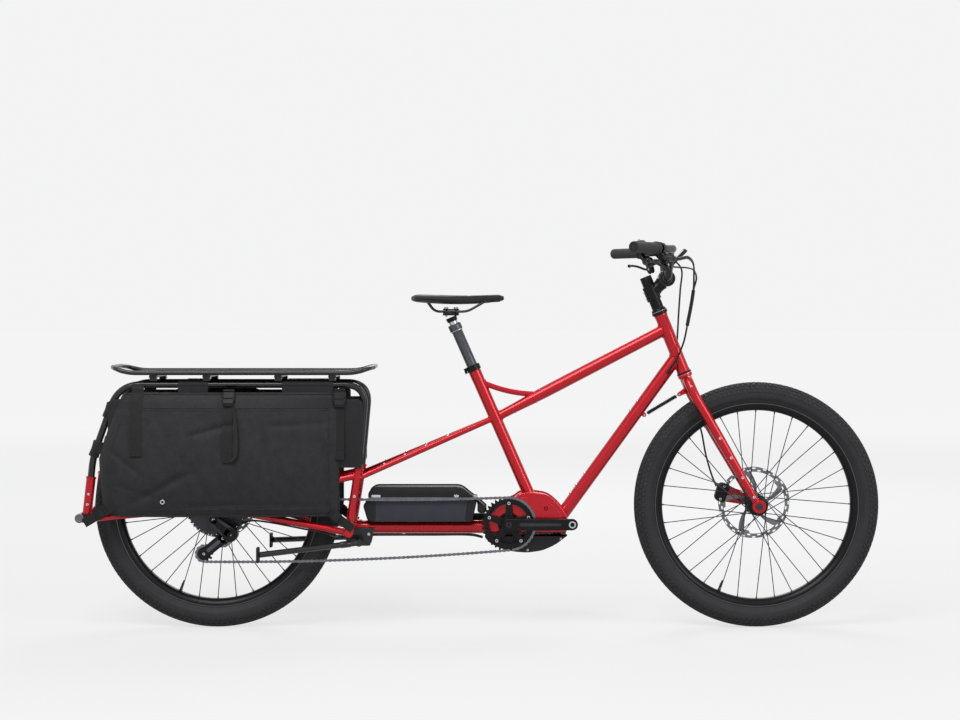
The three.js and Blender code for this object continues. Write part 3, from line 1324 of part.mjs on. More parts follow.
function deckRailPiece() {
  const parts = [];
  const rise = deck.railUp + deck.tipRise;
  for (const side of [1, -1]) {
    const y = side * deck.railSide;
    const corners = [place(-deck.rear - deck.tip, rise, y * 0.55),
        place(-deck.rear - deck.tip * 0.7, rise - deck.tipRise * 0.2, y * 0.93),
      place(-deck.rear, deck.railUp, y), place(deck.front, deck.railUp, y),
      place(deck.front + deck.tip * 0.7, rise - deck.tipRise * 0.2, y * 0.93),
          place(deck.front + deck.tip, rise, y * 0.55)];
    parts.push(tube(corners, deck.railRadius, railSides));
    for (const share of deckBarShares) {
      const ahead = -deck.rear + share * (deck.front + deck.rear);
      const saddleLow = hoop.up + hoop.radius + gap;
      parts.push(block(place(ahead - deckBar.width / 2, saddleLow,
          side * frameSide - deckBar.saddleWidth / 2),
        place(ahead + deckBar.width / 2, deckBarTop, side * frameSide + deckBar.saddleWidth / 2)));
    }
  }
  for (const end of [-deck.rear - deck.tip, deck.front + deck.tip]) {
    parts.push(disc(place(end, rise), deck.railRadius, -deck.railSide * 0.55, deck.railSide * 0.55,
        railSides));
  }
  for (const share of deckBarShares) {
    const ahead = -deck.rear + share * (deck.front + deck.rear);
    parts.push(block(place(ahead - deckBar.width / 2, deckBarTop - deckBar.thick, -deck.railSide),
      place(ahead + deckBar.width / 2, deckBarTop, deck.railSide)));
  }
  return join(...parts);
}

function deckBoardPiece() {
  const corner = deckBoard.cornerRadius;
  const points = [];
  const centres = [[deck.front - corner, deckBoard.side - corner, 0],
      [-deck.rear + corner, deckBoard.side - corner, 1],
    [-deck.rear + corner, -deckBoard.side + corner, 2], [deck.front - corner, -deckBoard.side + corner, 3]];
  for (const [ahead, side, quarter] of centres) {
    for (let i = 0; i <= deckBoard.cornerSteps; i++) {
      const angle = (Math.PI / 2) * (quarter + i / deckBoard.cornerSteps);
      points.push(new THREE.Vector2(rearAxleX + ahead + corner * Math.cos(angle),
          side + corner * Math.sin(angle)));
    }
  }
  const geometry = new THREE.ExtrudeGeometry(new THREE.Shape(points),
      { depth: deckBoard.thick, bevelEnabled: false });
  return geometry.translate(0, 0, deckBarTop + gap);
}

function bagPiece(side) {
  const points = bagOutlineShares.map(([along, height]) => outlinePoint(
    -bag.rear + along * (bag.front + bag.rear), bag.low + height * (bag.high - bag.low)));
  const rings = [[-bag.bevel, 0], [0, bag.bevel], [0, bag.depth - bag.bevel], [-bag.bevel, bag.depth]]
    .map(([growth, out]) => grown(points, growth).map((p) => new THREE.Vector3(p.x,
        side * (bag.inner + out), p.y)));
  if (side > 0) rings.reverse();
  const panel = side > 0 ? [bag.inner, bag.inner + bag.panel] : [-bag.inner - bag.panel, -bag.inner];
  const sheet = slab([outlinePoint(-bagPanel.rear, bagPanel.low), outlinePoint(bagPanel.front, bagPanel.low),
    outlinePoint(bagPanel.front, bagPanel.high), outlinePoint(-bagPanel.rear, bagPanel.high)], ...panel);
  return join(loft(rings), sheet);
}

// Kickstand

function standBracketPiece() {
  const pivot = place(stand.ahead, stand.up);
  const high = lowerTube.up;
  const outline = [outlinePoint(standBracket.rear, frontCross.up),
      outlinePoint(standBracket.rear + standBracket.drop, stand.up - standBracket.drop),
    outlinePoint(standBracket.toe, stand.up - standBracket.drop), outlinePoint(standBracket.front, high),
        outlinePoint(standBracket.rear, high)];
  const plates = [1, -1].map((side) => {
    const y = [side * standBracket.inner, side * (standBracket.inner + standBracket.thick)].sort((a,
        b) => a - b);
    return slab(outline, ...y);
  });
  const tie = block(place(standBracket.toe - standBracket.drop, stand.up - standBracket.drop,
      -standBracket.inner - standBracket.sink),
    place(standBracket.toe, stand.up - standBracket.drop + standBracket.thick,
        standBracket.inner + standBracket.sink));
  return cut(join(...plates, tie), disc(pivot, stand.barrelRadius + gap, -stand.side, stand.side),
      frontCrossSpace());
}

function kickstandPiece() {
  const pivot = place(stand.ahead, stand.up);
  const parts = [disc(pivot, stand.barrelRadius, -stand.side, stand.side)];
  for (const side of [1, -1]) {
    const foot = place(standFoot.ahead, standFoot.up, side * standFoot.side);
    parts.push(rod(place(stand.ahead, stand.up, side * stand.rootSide), foot, stand.legRadius, slimSides));
    parts.push(block(new THREE.Vector3(foot.x - standFoot.thick, foot.y - standFoot.width / 2,
        foot.z - standFoot.height / 2),
      new THREE.Vector3(foot.x, foot.y + standFoot.width / 2, foot.z + standFoot.height / 2)));
  }
  return join(...parts);
}

// Assembly

addPiece("head_tube", headTubePiece(), framePaint);
addPiece("top_tube", topTubePiece(), framePaint);
addPiece("down_tube", downTubePiece(), framePaint);
addPiece("seat_tube", seatTubePiece(), framePaint);
addPiece("motor_shell", motorShellPiece(), framePaint);
addPiece("lower_tube", lowerTubePiece(), framePaint);
addPiece("mid_stays", midStaysPiece(), framePaint);
addPiece("front_uprights", frontUprightsPiece(), framePaint);
addPiece("rear_uprights", rearUprightsPiece(), framePaint);
for (const [name, side] of [["left", 1], ["right", -1]]) {
  addPiece(`rear_stays_${name}`, rearStaysPiece(side), framePaint);
  addPiece(`rack_hoop_${name}`, hoopPiece(side), blackSteel);
  addPiece(`pannier_${name}`, bagPiece(side), bagCloth);
}
addPiece("deck_rail", deckRailPiece(), blackSteel);
addPiece("deck_board", deckBoardPiece(), deckSheet);
addPiece("motor_unit", motorUnitPiece(), blackPlastic);
addPiece("motor_cover", motorCoverPiece(), blackPlastic);
addPiece("battery", batteryPiece(), greyPlastic);
addPiece("battery_lid", batteryLidPiece(), blackPlastic);
addPiece("headset_upper_cup", upperCupPiece(), blackAlloy);
addPiece("seatpost_outer", seatpostOuterPiece(), blackAlloy);
addPiece("seatpost_inner", seatpostInnerPiece(), blackAlloy);
addPiece("saddle", saddlePiece(), saddleSkin);
addPiece("fork", forkPiece(), framePaint);
addPiece("stem", stemPiece(), blackAlloy);
addPiece("handlebar", handlebarPiece(), blackAlloy);
addPiece("display", displayPiece(), blackPlastic);
addPiece("front_caliper", frontCaliperPiece(), blackAlloy);
addPiece("rear_caliper", rearCaliperPiece(), blackAlloy);
addPiece("control_cables", controlCablesPiece(), hoseSkin);
addPiece("stabiliser_spring", springPiece(), blackSteel);
addPiece("kickstand_bracket", standBracketPiece(), blackSteel);
addPiece("kickstand", kickstandPiece(), blackSteel);
addPiece("crank_right", crankRightPiece(), blackAlloy);
addPiece("crank_left", crankLeftPiece(), blackAlloy);
addPiece("chain", chainPiece(), bareSteel);
addPiece("derailleur_body", derailleurBodyPiece(), blackAlloy);
addPiece("derailleur_cage", cagePiece(), blackAlloy);
addPiece("rear_axle", disc(rearAxle, axleRadius, -frameSide - overrun, frameSide + overrun), bareSteel);

function addAt(name, shape, material, position) {
  const group = new THREE.Group();
  group.position.copy(position);
  bike.add(group);
  addPiece(name, shape, material, group);
}

addAt("chainring", chainRingPiece(), blackAlloy, place(crankAxis.ahead, crankAxis.up, drivePlane));
addAt("cassette", cassettePiece(), bareSteel, rearAxle);
addAt("guide_pulley", pulleyPiece(), blackPlastic, place(guidePulley.ahead, guidePulley.up, drivePlane));
addAt("tension_pulley", pulleyPiece(), blackPlastic,
    place(-tensionPulley.behind, tensionPulley.up, drivePlane));

addWheel("front", frontAxle, -frontHub.halfWidth, frontHub.halfWidth,
    [frontHub.rightFlange, frontHub.leftFlange],
  frontRotorSide);
addWheel("rear", rearAxle, rearHub.rightEnd, rearHub.halfWidth, [rearHub.rightFlange, rearHub.leftFlange],
  rearRotorSide);

for (const [name, side, trigger] of [["left", 1, "dropper_lever"], ["right", -1, "shift_lever"]]) {
  addPiece(`grip_${name}`, gripPiece(), gripRubber, barEndGroup(side, 0));
  const group = barEndGroup(side, leverStart);
  addPiece(`lever_clamp_${name}`, leverClampPiece(side), blackAlloy, group);
  addPiece(`brake_lever_${name}`, leverPiece(), blackAlloy, group);
  addPiece(trigger, paddlePiece(side), blackPlastic, group);
  if (side > 0) addPiece("bell", bellPiece(), blackPlastic, group);
}

export default bike;
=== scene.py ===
"""Visual model of a longtail cargo bicycle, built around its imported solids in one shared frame."""
import json

import bmesh
import bpy
import numpy as np
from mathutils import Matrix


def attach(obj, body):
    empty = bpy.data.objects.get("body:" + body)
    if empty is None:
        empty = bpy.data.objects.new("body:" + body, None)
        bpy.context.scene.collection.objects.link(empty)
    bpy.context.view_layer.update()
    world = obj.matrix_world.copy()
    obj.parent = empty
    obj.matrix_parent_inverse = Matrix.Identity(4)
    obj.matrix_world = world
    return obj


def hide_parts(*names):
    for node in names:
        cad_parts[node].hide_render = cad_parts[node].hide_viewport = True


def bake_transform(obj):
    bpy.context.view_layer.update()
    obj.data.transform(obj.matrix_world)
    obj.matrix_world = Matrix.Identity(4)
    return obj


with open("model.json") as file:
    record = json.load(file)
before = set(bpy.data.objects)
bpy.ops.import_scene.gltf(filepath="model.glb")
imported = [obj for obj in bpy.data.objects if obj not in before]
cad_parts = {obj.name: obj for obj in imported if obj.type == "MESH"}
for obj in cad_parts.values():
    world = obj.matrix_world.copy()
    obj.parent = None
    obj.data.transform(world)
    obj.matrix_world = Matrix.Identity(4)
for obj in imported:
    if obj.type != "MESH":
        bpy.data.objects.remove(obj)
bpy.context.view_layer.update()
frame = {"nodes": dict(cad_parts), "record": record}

bl_info = {
    "name": "Longtail cargo bicycle",
    "version": (1, 0, 0),
    "blender": (4, 5, 0),
    "location": "View3D > Sidebar > Cargo bike",
    "description": "Builds the pieces of a longtail cargo bicycle around its solids",
    "category": "Mesh",
}

MM = 0.001
REAR_AXLE_X = -733.651
TURN = 2 * np.pi
Y = np.array((0.0, 1.0, 0.0))
Z = np.array((0.0, 0.0, 1.0))
X = np.array((1.0, 0.0, 0.0))
STEER_UP = np.array((-0.374607, 0.0, 0.927184))
STEER_AHEAD = np.array((0.927184, 0.0, 0.374607))
SEAT_UP = np.array((-0.4032, 0.0, 0.915112))


def P(ahead, up, side=0.0):
    """A point in mm: so far ahead of the rear axle, so high over the ground, so far to the left."""
    return np.array((REAR_AXLE_X + ahead, side, up), float)


STEER_FOOT = P(1460.57, 323.64)
SEAT_TOP = P(718, 716)
CRANK = P(813.6, 293)
REAR_AXLE = P(0, 342)
FRONT_AXLE = P(1506, 342)


def S(along, ahead=0.0, side=0.0):
    """A point of the steering: along its axis from the foot, ahead of the axis, and to the left."""
    return STEER_FOOT + STEER_UP * along + STEER_AHEAD * ahead + Y * side


def on_seat_tube(along):
    """A point on the seat tube's axis, so far above its top."""
    return SEAT_TOP + SEAT_UP * along


def on_front_upright(drop, side):
    """A point on a front upright's axis, so far below the hoop's front end."""
    return P(371.97 + 27 * (1 - drop / 175), 447 - drop, side)


def unit(vector):
    """Each row of an array divided by its own length."""
    vector = np.asarray(vector, float)
    return vector / np.maximum(np.linalg.norm(vector, axis=-1, keepdims=True), 1e-12)


def smooth(points, steps=8):
    """Centripetal Catmull-Rom curve: a cubic per pair of points, its slopes from the square roots
    of the distances between neighbours, the end points mirrored outwards."""
    p = np.asarray(points, float)
    p = np.vstack((2 * p[0] - p[1], p, 2 * p[-1] - p[-2]))
    gap = np.sqrt(np.linalg.norm(np.diff(p, axis=0), axis=1))[:, None]
    x0, x1, x2, x3 = p[:-3], p[1:-2], p[2:-1], p[3:]
    g0, g1, g2 = gap[:-2], gap[1:-1], gap[2:]
    m1 = ((x1 - x0) / g0 - (x2 - x0) / (g0 + g1) + (x2 - x1) / g1) * g1
    m2 = ((x2 - x1) / g1 - (x3 - x1) / (g1 + g2) + (x3 - x2) / g2) * g1
    t = (np.arange(steps) / steps)[:, None, None]
    curve = x1 + m1 * t + (3 * (x2 - x1) - 2 * m1 - m2) * t**2 + (2 * (x1 - x2) + m1 + m2) * t**3
    return np.vstack((curve.transpose(1, 0, 2).reshape(-1, 3), p[-2]))


def bend(corners, trims, steps=10):
    """A line through corners, each corner replaced by a quadratic curve that starts and ends
    at its trim's distance from the corner."""
    corners = [np.asarray(c, float) for c in corners]
    rows = [corners[0][None]]
    for before, corner, after, trim in zip(corners, corners[1:], corners[2:], trims):
        if trim <= 0:
            rows.append(corner[None])
            continue
        t = np.linspace(0, 1, steps)[:, None]
        start = corner + unit(before - corner) * trim
        end = corner + unit(after - corner) * trim
        rows.append(start * (1 - t)**2 + corner * 2 * t * (1 - t) + end * t**2)
    rows.append(corners[-1][None])
    return np.vstack(rows)


def line(start, end, count=2):
    """Evenly spaced points from start to end."""
    t = np.linspace(0, 1, count)[:, None]
    return np.asarray(start, float) * (1 - t) + np.asarray(end, float) * t


def arc(centre, radius, start, end, count, first=X, second=Z):
    """Points on a circle from angle start to angle end, in the plane of first and second."""
    a = np.linspace(start, end, count)[:, None]
    return np.asarray(centre, float) + radius * (np.cos(a) * first + np.sin(a) * second)


def square_to(direction):
    """Two unit vectors square to a direction and to each other."""
    direction = unit(direction)
    helper = Y if abs(direction[1]) < 0.9 else X
    first = unit(np.cross(helper, direction))
    return first, np.cross(direction, first)


def join(*shells):
    """Several shells as one: points stacked, faces shifted by the points before them."""
    points, faces, count = [], [], 0
    for p, f in shells:
        points.append(np.asarray(p, float).reshape(-1, 3))
        faces += [[i + count for i in face] for face in f]
        count += len(points[-1])
    return np.vstack(points), faces


def skin(grid, around=False, along=False, caps=False):
    """Quads over a grid of points [along, around], closed where asked, with flat end caps."""
    rows, cols = grid.shape[:2]
    index = np.arange(rows * cols).reshape(rows, cols)
    i = np.arange(rows if along else rows - 1)[:, None]
    j = np.arange(cols if around else cols - 1)[None, :]
    i2, j2 = (i + 1) % rows, (j + 1) % cols
    quads = np.stack((index[i, j], index[i, j2], index[i2, j2], index[i2, j]), -1)
    faces = quads.reshape(-1, 4).tolist()
    if caps:
        faces += [index[0, ::-1].tolist(), index[-1].tolist()]
    return grid.reshape(-1, 3), faces


def tube(path, radius, sides=20, closed=False, flat=1.0, caps=True):
    """A round section carried along a path. Its two directions come from the one vector that is
    most square to the whole path: first = that vector crossed with the tangent, second = the
    tangent crossed with first. Radius may be one number or one per point."""
    path = np.asarray(path, float)
    if closed:
        tangent = unit(np.roll(path, -1, 0) - np.roll(path, 1, 0))
    else:
        tangent = unit(np.gradient(path, axis=0))
    fixed = np.linalg.svd(tangent, full_matrices=True)[2][-1]
    first = unit(np.cross(fixed, tangent))
    second = np.cross(tangent, first)
    a = np.linspace(0, TURN, sides, endpoint=False)
    radius = np.broadcast_to(np.asarray(radius, float), (len(path),))[:, None, None]
    ring = np.cos(a)[None, :, None] * first[:, None] + flat * np.sin(a)[None, :, None] * second[:, None]
    return skin(path[:, None] + radius * ring, True, closed, caps and not closed)


def rod(start, end, radius, sides=20, chamfer=0.0):
    """A straight round bar, its two ends drawn in by a chamfer."""
    start, end = np.asarray(start, float), np.asarray(end, float)
    if not chamfer:
        return tube(line(start, end, 3), radius, sides)
    way = unit(end - start) * chamfer
    path = np.vstack((start, start + way, end - way, end))
    return tube(path, np.array((radius - chamfer, radius, radius, radius - chamfer)), sides)


def lathe(profile, origin, axis, sides=48, closed=False):
    """A profile of (along, radius) turned about an axis through origin."""
    profile = np.asarray(profile, float)
    axis = unit(axis)
    first, second = square_to(axis)
    a = np.linspace(0, TURN, sides, endpoint=False)
    ring = np.cos(a)[:, None] * first + np.sin(a)[:, None] * second
    grid = np.asarray(origin, float) + profile[:, None, :1] * axis + profile[:, None, 1:] * ring[None]
    return skin(grid, True, closed, not closed)


def inset(outline, distance):
    """A flat outline moved inwards: each corner slides along the mean of its two edge normals,
    by the distance over the cosine of half the turn there."""
    p = np.asarray(outline, float)
    edge = unit(np.roll(p, -1, 0) - p)
    normal = np.stack((-edge[:, 1], edge[:, 0]), 1)
    if 0.5 * np.sum(p[:, 0] * np.roll(p[:, 1], -1) - p[:, 1] * np.roll(p[:, 0], -1)) < 0:
        normal = -normal
    mean = unit(normal + np.roll(normal, 1, 0))
    cosine = np.maximum(np.sum(mean * normal, 1), 0.45)[:, None]
    return p + mean * distance / cosine


def rounded(outline, radius, steps=5):
    """A closed flat outline with each corner turned into a short quadratic curve."""
    p = np.asarray(outline, float)
    before, after = np.roll(p, 1, 0), np.roll(p, -1, 0)
    reach = np.minimum(radius, 0.45 * np.minimum(np.linalg.norm(before - p, axis=1),
                                                 np.linalg.norm(after - p, axis=1)))[:, None]
    start, end = p + unit(before - p) * reach, p + unit(after - p) * reach
    t = np.linspace(0, 1, steps)[:, None, None]
    return (start * (1 - t)**2 + p * 2 * t * (1 - t) + end * t**2).transpose(1, 0, 2).reshape(-1, 2)


def slab(outline, low, high, bevel=1.0, origin=(REAR_AXLE_X, 0, 0), first=X, second=Z, out=Y, steps=3):
    """A flat outline given a thickness, its two rims turned over a quarter circle of the bevel."""
    a = np.linspace(0, np.pi / 2, steps + 1)
    rings = [(inset(outline, bevel * (1 - s)), low + bevel * (1 - c)) for s, c in zip(np.sin(a), np.cos(a))]
    rings += [(inset(outline, bevel * (1 - c)), high - bevel * (1 - s))
              for s, c in zip(np.sin(a), np.cos(a))][::-1] if bevel else []
    if not bevel:
        rings = [(np.asarray(outline, float), low), (np.asarray(outline, float), high)]
    origin = np.asarray(origin, float)
    grid = np.stack([origin + ring[:, :1] * first + ring[:, 1:] * second + level * out
                     for ring, level in rings])
    return skin(grid, True, False, True)


def block(centre, size, first=X, second=Y, out=Z, bevel=1.0, corner=2.0):
    """A box with rounded corners in plan and bevelled rims."""
    half = np.asarray(size, float) / 2
    plan = rounded([(-half[0], -half[1]), (half[0], -half[1]), (half[0], half[1]), (-half[0], half[1])],
                   corner)
    return slab(plan, -half[2], half[2], bevel, centre, first, second, out)


def capsule(a, b, ra, rb, steps=20):
    """The flat outline round two circles and the tangents that join them."""
    a, b = np.asarray(a, float), np.asarray(b, float)
    apart = np.linalg.norm(b - a)
    heading = np.arctan2(*(b - a)[::-1])
    lean = np.arccos(np.clip((ra - rb) / apart, -1, 1))
    t1 = np.linspace(heading + lean, heading + TURN - lean, steps)[:, None]
    t2 = np.linspace(heading - lean, heading + lean, steps)[:, None]
    return np.vstack((a + ra * np.hstack((np.cos(t1), np.sin(t1))),
                      b + rb * np.hstack((np.cos(t2), np.sin(t2)))))


def pierced(radius, angle, kept, low, high, centre, axis=Y, first=X, second=Z):
    """A slab over a polar grid: radius[i, j] and angle[i, j], a cell [i, j] there where kept, and
    a wall wherever a kept cell meets an empty one."""
    rows, cols = radius.shape
    flat = (np.asarray(centre, float) + radius[..., None] * (np.cos(angle)[..., None] * first
                                                             + np.sin(angle)[..., None] * second))
    points = np.vstack(((flat + axis * low).reshape(-1, 3), (flat + axis * high).reshape(-1, 3)))
    index = np.arange(rows * cols).reshape(rows, cols)
    top = rows * cols
    a, b = index[:-1], np.roll(index, -1, 1)[:-1]
    d, c = index[1:], np.roll(index, -1, 1)[1:]
    kept = np.asarray(kept, bool)
    padded = np.vstack((np.zeros((1, cols), bool), kept, np.zeros((1, cols), bool)))
    faces = [np.stack((a, b, c, d), -1)[kept], np.stack((d, c, b, a), -1)[kept] + top]
    borders = ((kept & ~padded[:-2], a, b), (kept & ~padded[2:], c, d),
               (kept & ~np.roll(kept, 1, 1), d, a), (kept & ~np.roll(kept, -1, 1), b, c))
    faces += [np.stack((q, p, p + top, q + top), -1)[edge] for edge, p, q in borders]
    return points, np.vstack(faces).tolist()


def meeting(start, end, radius, line_start, line_end, line_radius, count=96):
    """The closed curve where a tube first meets another: for each line on the small tube's
    surface, the nearer root of the quadratic for its distance to the big tube's axis."""
    start, way = np.asarray(start, float), unit(np.asarray(end, float) - start)
    axis = unit(np.asarray(line_end, float) - line_start)
    first, second = square_to(way)
    a = np.linspace(0, TURN, count, endpoint=False)[:, None]
    q = start + radius * (np.cos(a) * first + np.sin(a) * second)
    m = (q - line_start) - ((q - line_start) @ axis)[:, None] * axis
    n = way - (way @ axis) * axis
    half = m @ n
    root = np.sqrt(np.maximum(half**2 - (n @ n) * (np.sum(m * m, 1) - line_radius**2), 0))
    return q + ((-half - root) / (n @ n))[:, None] * way


def weld(start, end, radius, line_start, line_end, line_radius, bead=2.4):
    """A bead of overlapping scales along the curve where two tubes meet."""
    path = meeting(start, end, radius, line_start, line_end, line_radius, 144)
    ripple = 1 + 0.13 * np.cos(np.arange(144) * TURN / 4)
    return tube(path, bead * ripple, 8, closed=True)


def stud(point, out, radius=4.2, height=2.2, hole=1.9):
    """A small threaded boss: a low ring with a socket in it."""
    profile = [(-2, radius + 0.9), (0.2, radius + 0.6), (0.9, radius), (height - 0.5, radius),
               (height, radius - 0.6), (height, hole + 0.4), (height - 0.3, hole), (height - 1.7, hole)]
    return lathe(profile, point, out, 24)


def socket_bolt(point, out, radius=4.0, height=3.2, hole=1.9):
    """A cap screw's head: a short cylinder with a turned rim and a six-sided socket."""
    head = lathe([(-1.5, radius), (height - 0.6, radius), (height, radius - 0.6), (height, hole + 0.2)],
                 point, out, 28)
    points, faces = head
    faces = faces[:-1]
    pit = lathe([(height, hole + 0.2), (height - 0.2, hole), (height - 1.9, hole)], point, out, 28)
    return join((points, faces), (pit[0], pit[1][:-2] + pit[1][-1:]))


def clamp_band(point, axis, bore, outer, width, sides=56):
    """A ring about an axis, its four rims turned over."""
    w = width / 2
    e = min(0.8, w / 3)
    profile = [(-w, bore), (-w, outer - e), (-w + e, outer), (w - e, outer), (w, outer - e), (w, bore)]
    return lathe(profile, point, axis, sides, closed=True)


def linear(*srgb):
    """A colour written as 0-255 screen values, as linear light."""
    c = np.asarray(srgb, float) / 255
    return tuple(np.where(c <= 0.04045, c / 12.92, ((c + 0.055) / 1.055)**2.4))


FINISHES = {
    "candy_red": dict(hue="paint_red", rough=0.27, metal=0.5, coat=0.4, spread=0.05, grain=900,
                      bump=0.003, pattern="flake"),
    "weld_red": dict(hue="paint_red", rough=0.38, metal=0.7, coat=0.25, spread=0.12, grain=500, bump=0.12),
    "satin_black": dict(hue="rack_black", rough=0.36, coat=0.35, spread=0.1, grain=1400, bump=0.06),
    "black_metal": dict(hue="alloy_black", rough=0.33, metal=0.55, spread=0.12, grain=1500, bump=0.05),
    # The grey metal finish also paints the highlight along the rims' edges.
    "grey_metal_and_rim_highlight": dict(hue="alloy_grey_and_rim_highlight", rough=0.32, metal=0.8, spread=0.1, grain=1300, bump=0.05),
    # The bright steel finish also paints the highlight ring on the upper headset cup.
    "bright_steel_and_cup_highlight": dict(hue="steel", rough=0.25, metal=1.0, spread=0.08, grain=700, bump=0.04,
                         pattern="brushed"),
    "rotor_steel": dict(hue="rotor_grey", rough=0.34, metal=0.85, spread=0.1, grain=700, bump=0.05,
                        pattern="brushed"),
    "chain_steel": dict(hue="chain_grey", rough=0.3, metal=0.9, spread=0.2, grain=600, bump=0.08),
    "dark_steel": dict(hue="steel_dark", rough=0.35, metal=0.85, spread=0.16, grain=700, bump=0.06),
    "moulded_black": dict(hue="plastic_black", rough=0.5, spread=0.12, grain=2200, bump=0.16,
                          pattern="leather"),
    "moulded_grey": dict(hue="plastic_grey", rough=0.48, spread=0.08, grain=2200, bump=0.12,
                         pattern="leather"),
    "battery_grey": dict(hue="battery_grey", rough=0.42, spread=0.07, grain=2000, bump=0.08),
    "glass_black": dict(hue="glass_black", rough=0.08, coat=1.0, spread=0.03, grain=300, bump=0.0),
    "tread_rubber": dict(hue="tyre_black", rough=0.78, spread=0.16, grain=900, bump=0.2),
    "wall_rubber": dict(hue="tyre_wall", rough=0.62, spread=0.1, grain=1600, bump=0.1),
    "grip_rubber": dict(hue="rubber_grey", rough=0.72, spread=0.1, grain=1600, bump=0.22,
                        pattern="leather"),
    "hose_black": dict(hue="hose_black", rough=0.4, spread=0.08, grain=1500, bump=0.05),
    "saddle_cover": dict(hue="saddle_black", rough=0.55, sheen=0.15, spread=0.12, grain=1400, bump=0.2,
                         pattern="leather"),
    "bag_canvas": dict(hue="bag_grey", rough=0.74, sheen=0.12, spread=0.2, grain=60, bump=0.3,
                       pattern="weave"),
    "bag_band": dict(hue="bag_dark", rough=0.6, sheen=0.2, spread=0.12, grain=80, bump=0.22,
                     pattern="weave"),
    "webbing": dict(hue="strap_black", rough=0.7, sheen=0.25, spread=0.14, grain=300, bump=0.35,
                    pattern="ribs"),
    "thread_grey": dict(hue="thread_grey", rough=0.75, sheen=0.2, spread=0.1, grain=800, bump=0.1),
    "deck_sheet": dict(hue="deck_black", rough=0.6, spread=0.1, grain=1600, bump=0.2, pattern="leather"),
    "pale_ring": dict(hue="pale_metal", rough=0.3, metal=0.6, spread=0.06, grain=900, bump=0.03),
}


def node(tree, kind, **inputs):
    """A shader node with its unlinked inputs set by name."""
    made = tree.nodes.new(kind)
    for key, value in inputs.items():
        made.inputs[key.replace("_", " ")].default_value = value
    return made


def ranged(tree, source, low, high, start=0.3, end=0.7):
    """A Map Range that spreads a 0-1 value between low and high."""
    made = tree.nodes.new("ShaderNodeMapRange")
    made.inputs["From Min"].default_value, made.inputs["From Max"].default_value = start, end
    made.inputs["To Min"].default_value, made.inputs["To Max"].default_value = low, high
    tree.links.new(source, made.inputs["Value"])
    return made.outputs["Result"]


def relief(tree, place, pattern, grain):
    """The height pattern of a finish, 0-1, from object coordinates in metres."""
    if pattern == "leather":
        cells = node(tree, "ShaderNodeTexVoronoi", Scale=grain, Randomness=0.9)
        tree.links.new(place, cells.inputs["Vector"])
        return cells.outputs["Distance"]
    if pattern in ("weave", "ribs"):
        heights = []
        for turn, scale in ((0.0, 420.0), (1.5708, 420.0))[:1 if pattern == "ribs" else 2]:
            spun = node(tree, "ShaderNodeMapping", Rotation=(0.0, turn, 0.0))
            wave = node(tree, "ShaderNodeTexWave", Scale=scale / 6.283, Distortion=1.2, Detail=1.0)
            wave.bands_direction = "X"
            tree.links.new(place, spun.inputs["Vector"])
            tree.links.new(spun.outputs["Vector"], wave.inputs["Vector"])
            heights.append(wave.outputs["Fac"])
        if len(heights) == 1:
            return heights[0]
        both = tree.nodes.new("ShaderNodeMath")
        both.operation = "MAXIMUM"
        tree.links.new(heights[0], both.inputs[0])
        tree.links.new(heights[1], both.inputs[1])
        return both.outputs[0]
    spun = node(tree, "ShaderNodeMapping", Scale=(0.06, 1.0, 1.0) if pattern == "brushed" else (1, 1, 1))
    noise = node(tree, "ShaderNodeTexNoise", Scale=grain, Detail=2.0)
    tree.links.new(place, spun.inputs["Vector"])
    tree.links.new(spun.outputs["Vector"], noise.inputs["Vector"])
    return noise.outputs["Fac"]


def finish(name):
    """The material of a finish, made once: a broad noise mixes a darker and a lighter tone of its
    colour, a finer one moves the roughness, and the finish's own pattern raises the surface."""
    if name in bpy.data.materials:
        return bpy.data.materials[name]
    spec = FINISHES[name]
    hue = np.array(getattr(bpy.context.scene.bike_colours, spec["hue"]))
    material = bpy.data.materials.new(name)
    material.use_nodes = True
    tree = material.node_tree
    shader = tree.nodes["Principled BSDF"]
    place = tree.nodes.new("ShaderNodeTexCoord").outputs["Object"]
    broad = node(tree, "ShaderNodeTexNoise", Scale=38.0, Detail=4.0, Roughness=0.6)
    tree.links.new(place, broad.inputs["Vector"])
    mix = tree.nodes.new("ShaderNodeMix")
    mix.data_type = "RGBA"
    spread = spec["spread"]
    mix.inputs["A"].default_value = (*(hue * (1 - spread)), 1)
    mix.inputs["B"].default_value = (*np.minimum(hue * (1 + spread) + 0.01 * spread, 1), 1)
    tree.links.new(ranged(tree, broad.outputs["Fac"], 0.0, 1.0), mix.inputs["Factor"])
    tree.links.new(mix.outputs["Result"], shader.inputs["Base Color"])
    fine = node(tree, "ShaderNodeTexNoise", Scale=160.0, Detail=3.0)
    tree.links.new(place, fine.inputs["Vector"])
    rough = spec["rough"]
    tree.links.new(ranged(tree, fine.outputs["Fac"], rough * 0.94, min(rough * 1.07, 1.0)),
                   shader.inputs["Roughness"])
    shader.inputs["Metallic"].default_value = spec.get("metal", 0.0)
    shader.inputs["Specular IOR Level"].default_value = 0.3
    shader.inputs["Coat Weight"].default_value = spec.get("coat", 0.0)
    shader.inputs["Coat Roughness"].default_value = 0.06
    shader.inputs["Sheen Weight"].default_value = spec.get("sheen", 0.0)
    shader.inputs["Sheen Roughness"].default_value = 0.5
    if spec["bump"]:
        bump = node(tree, "ShaderNodeBump", Strength=min(spec["bump"] * 2, 1.0), Distance=0.0004)
        tree.links.new(relief(tree, place, spec.get("pattern"), spec["grain"]), bump.inputs["Height"])
        tree.links.new(bump.outputs["Normal"], shader.inputs["Normal"])
    return material


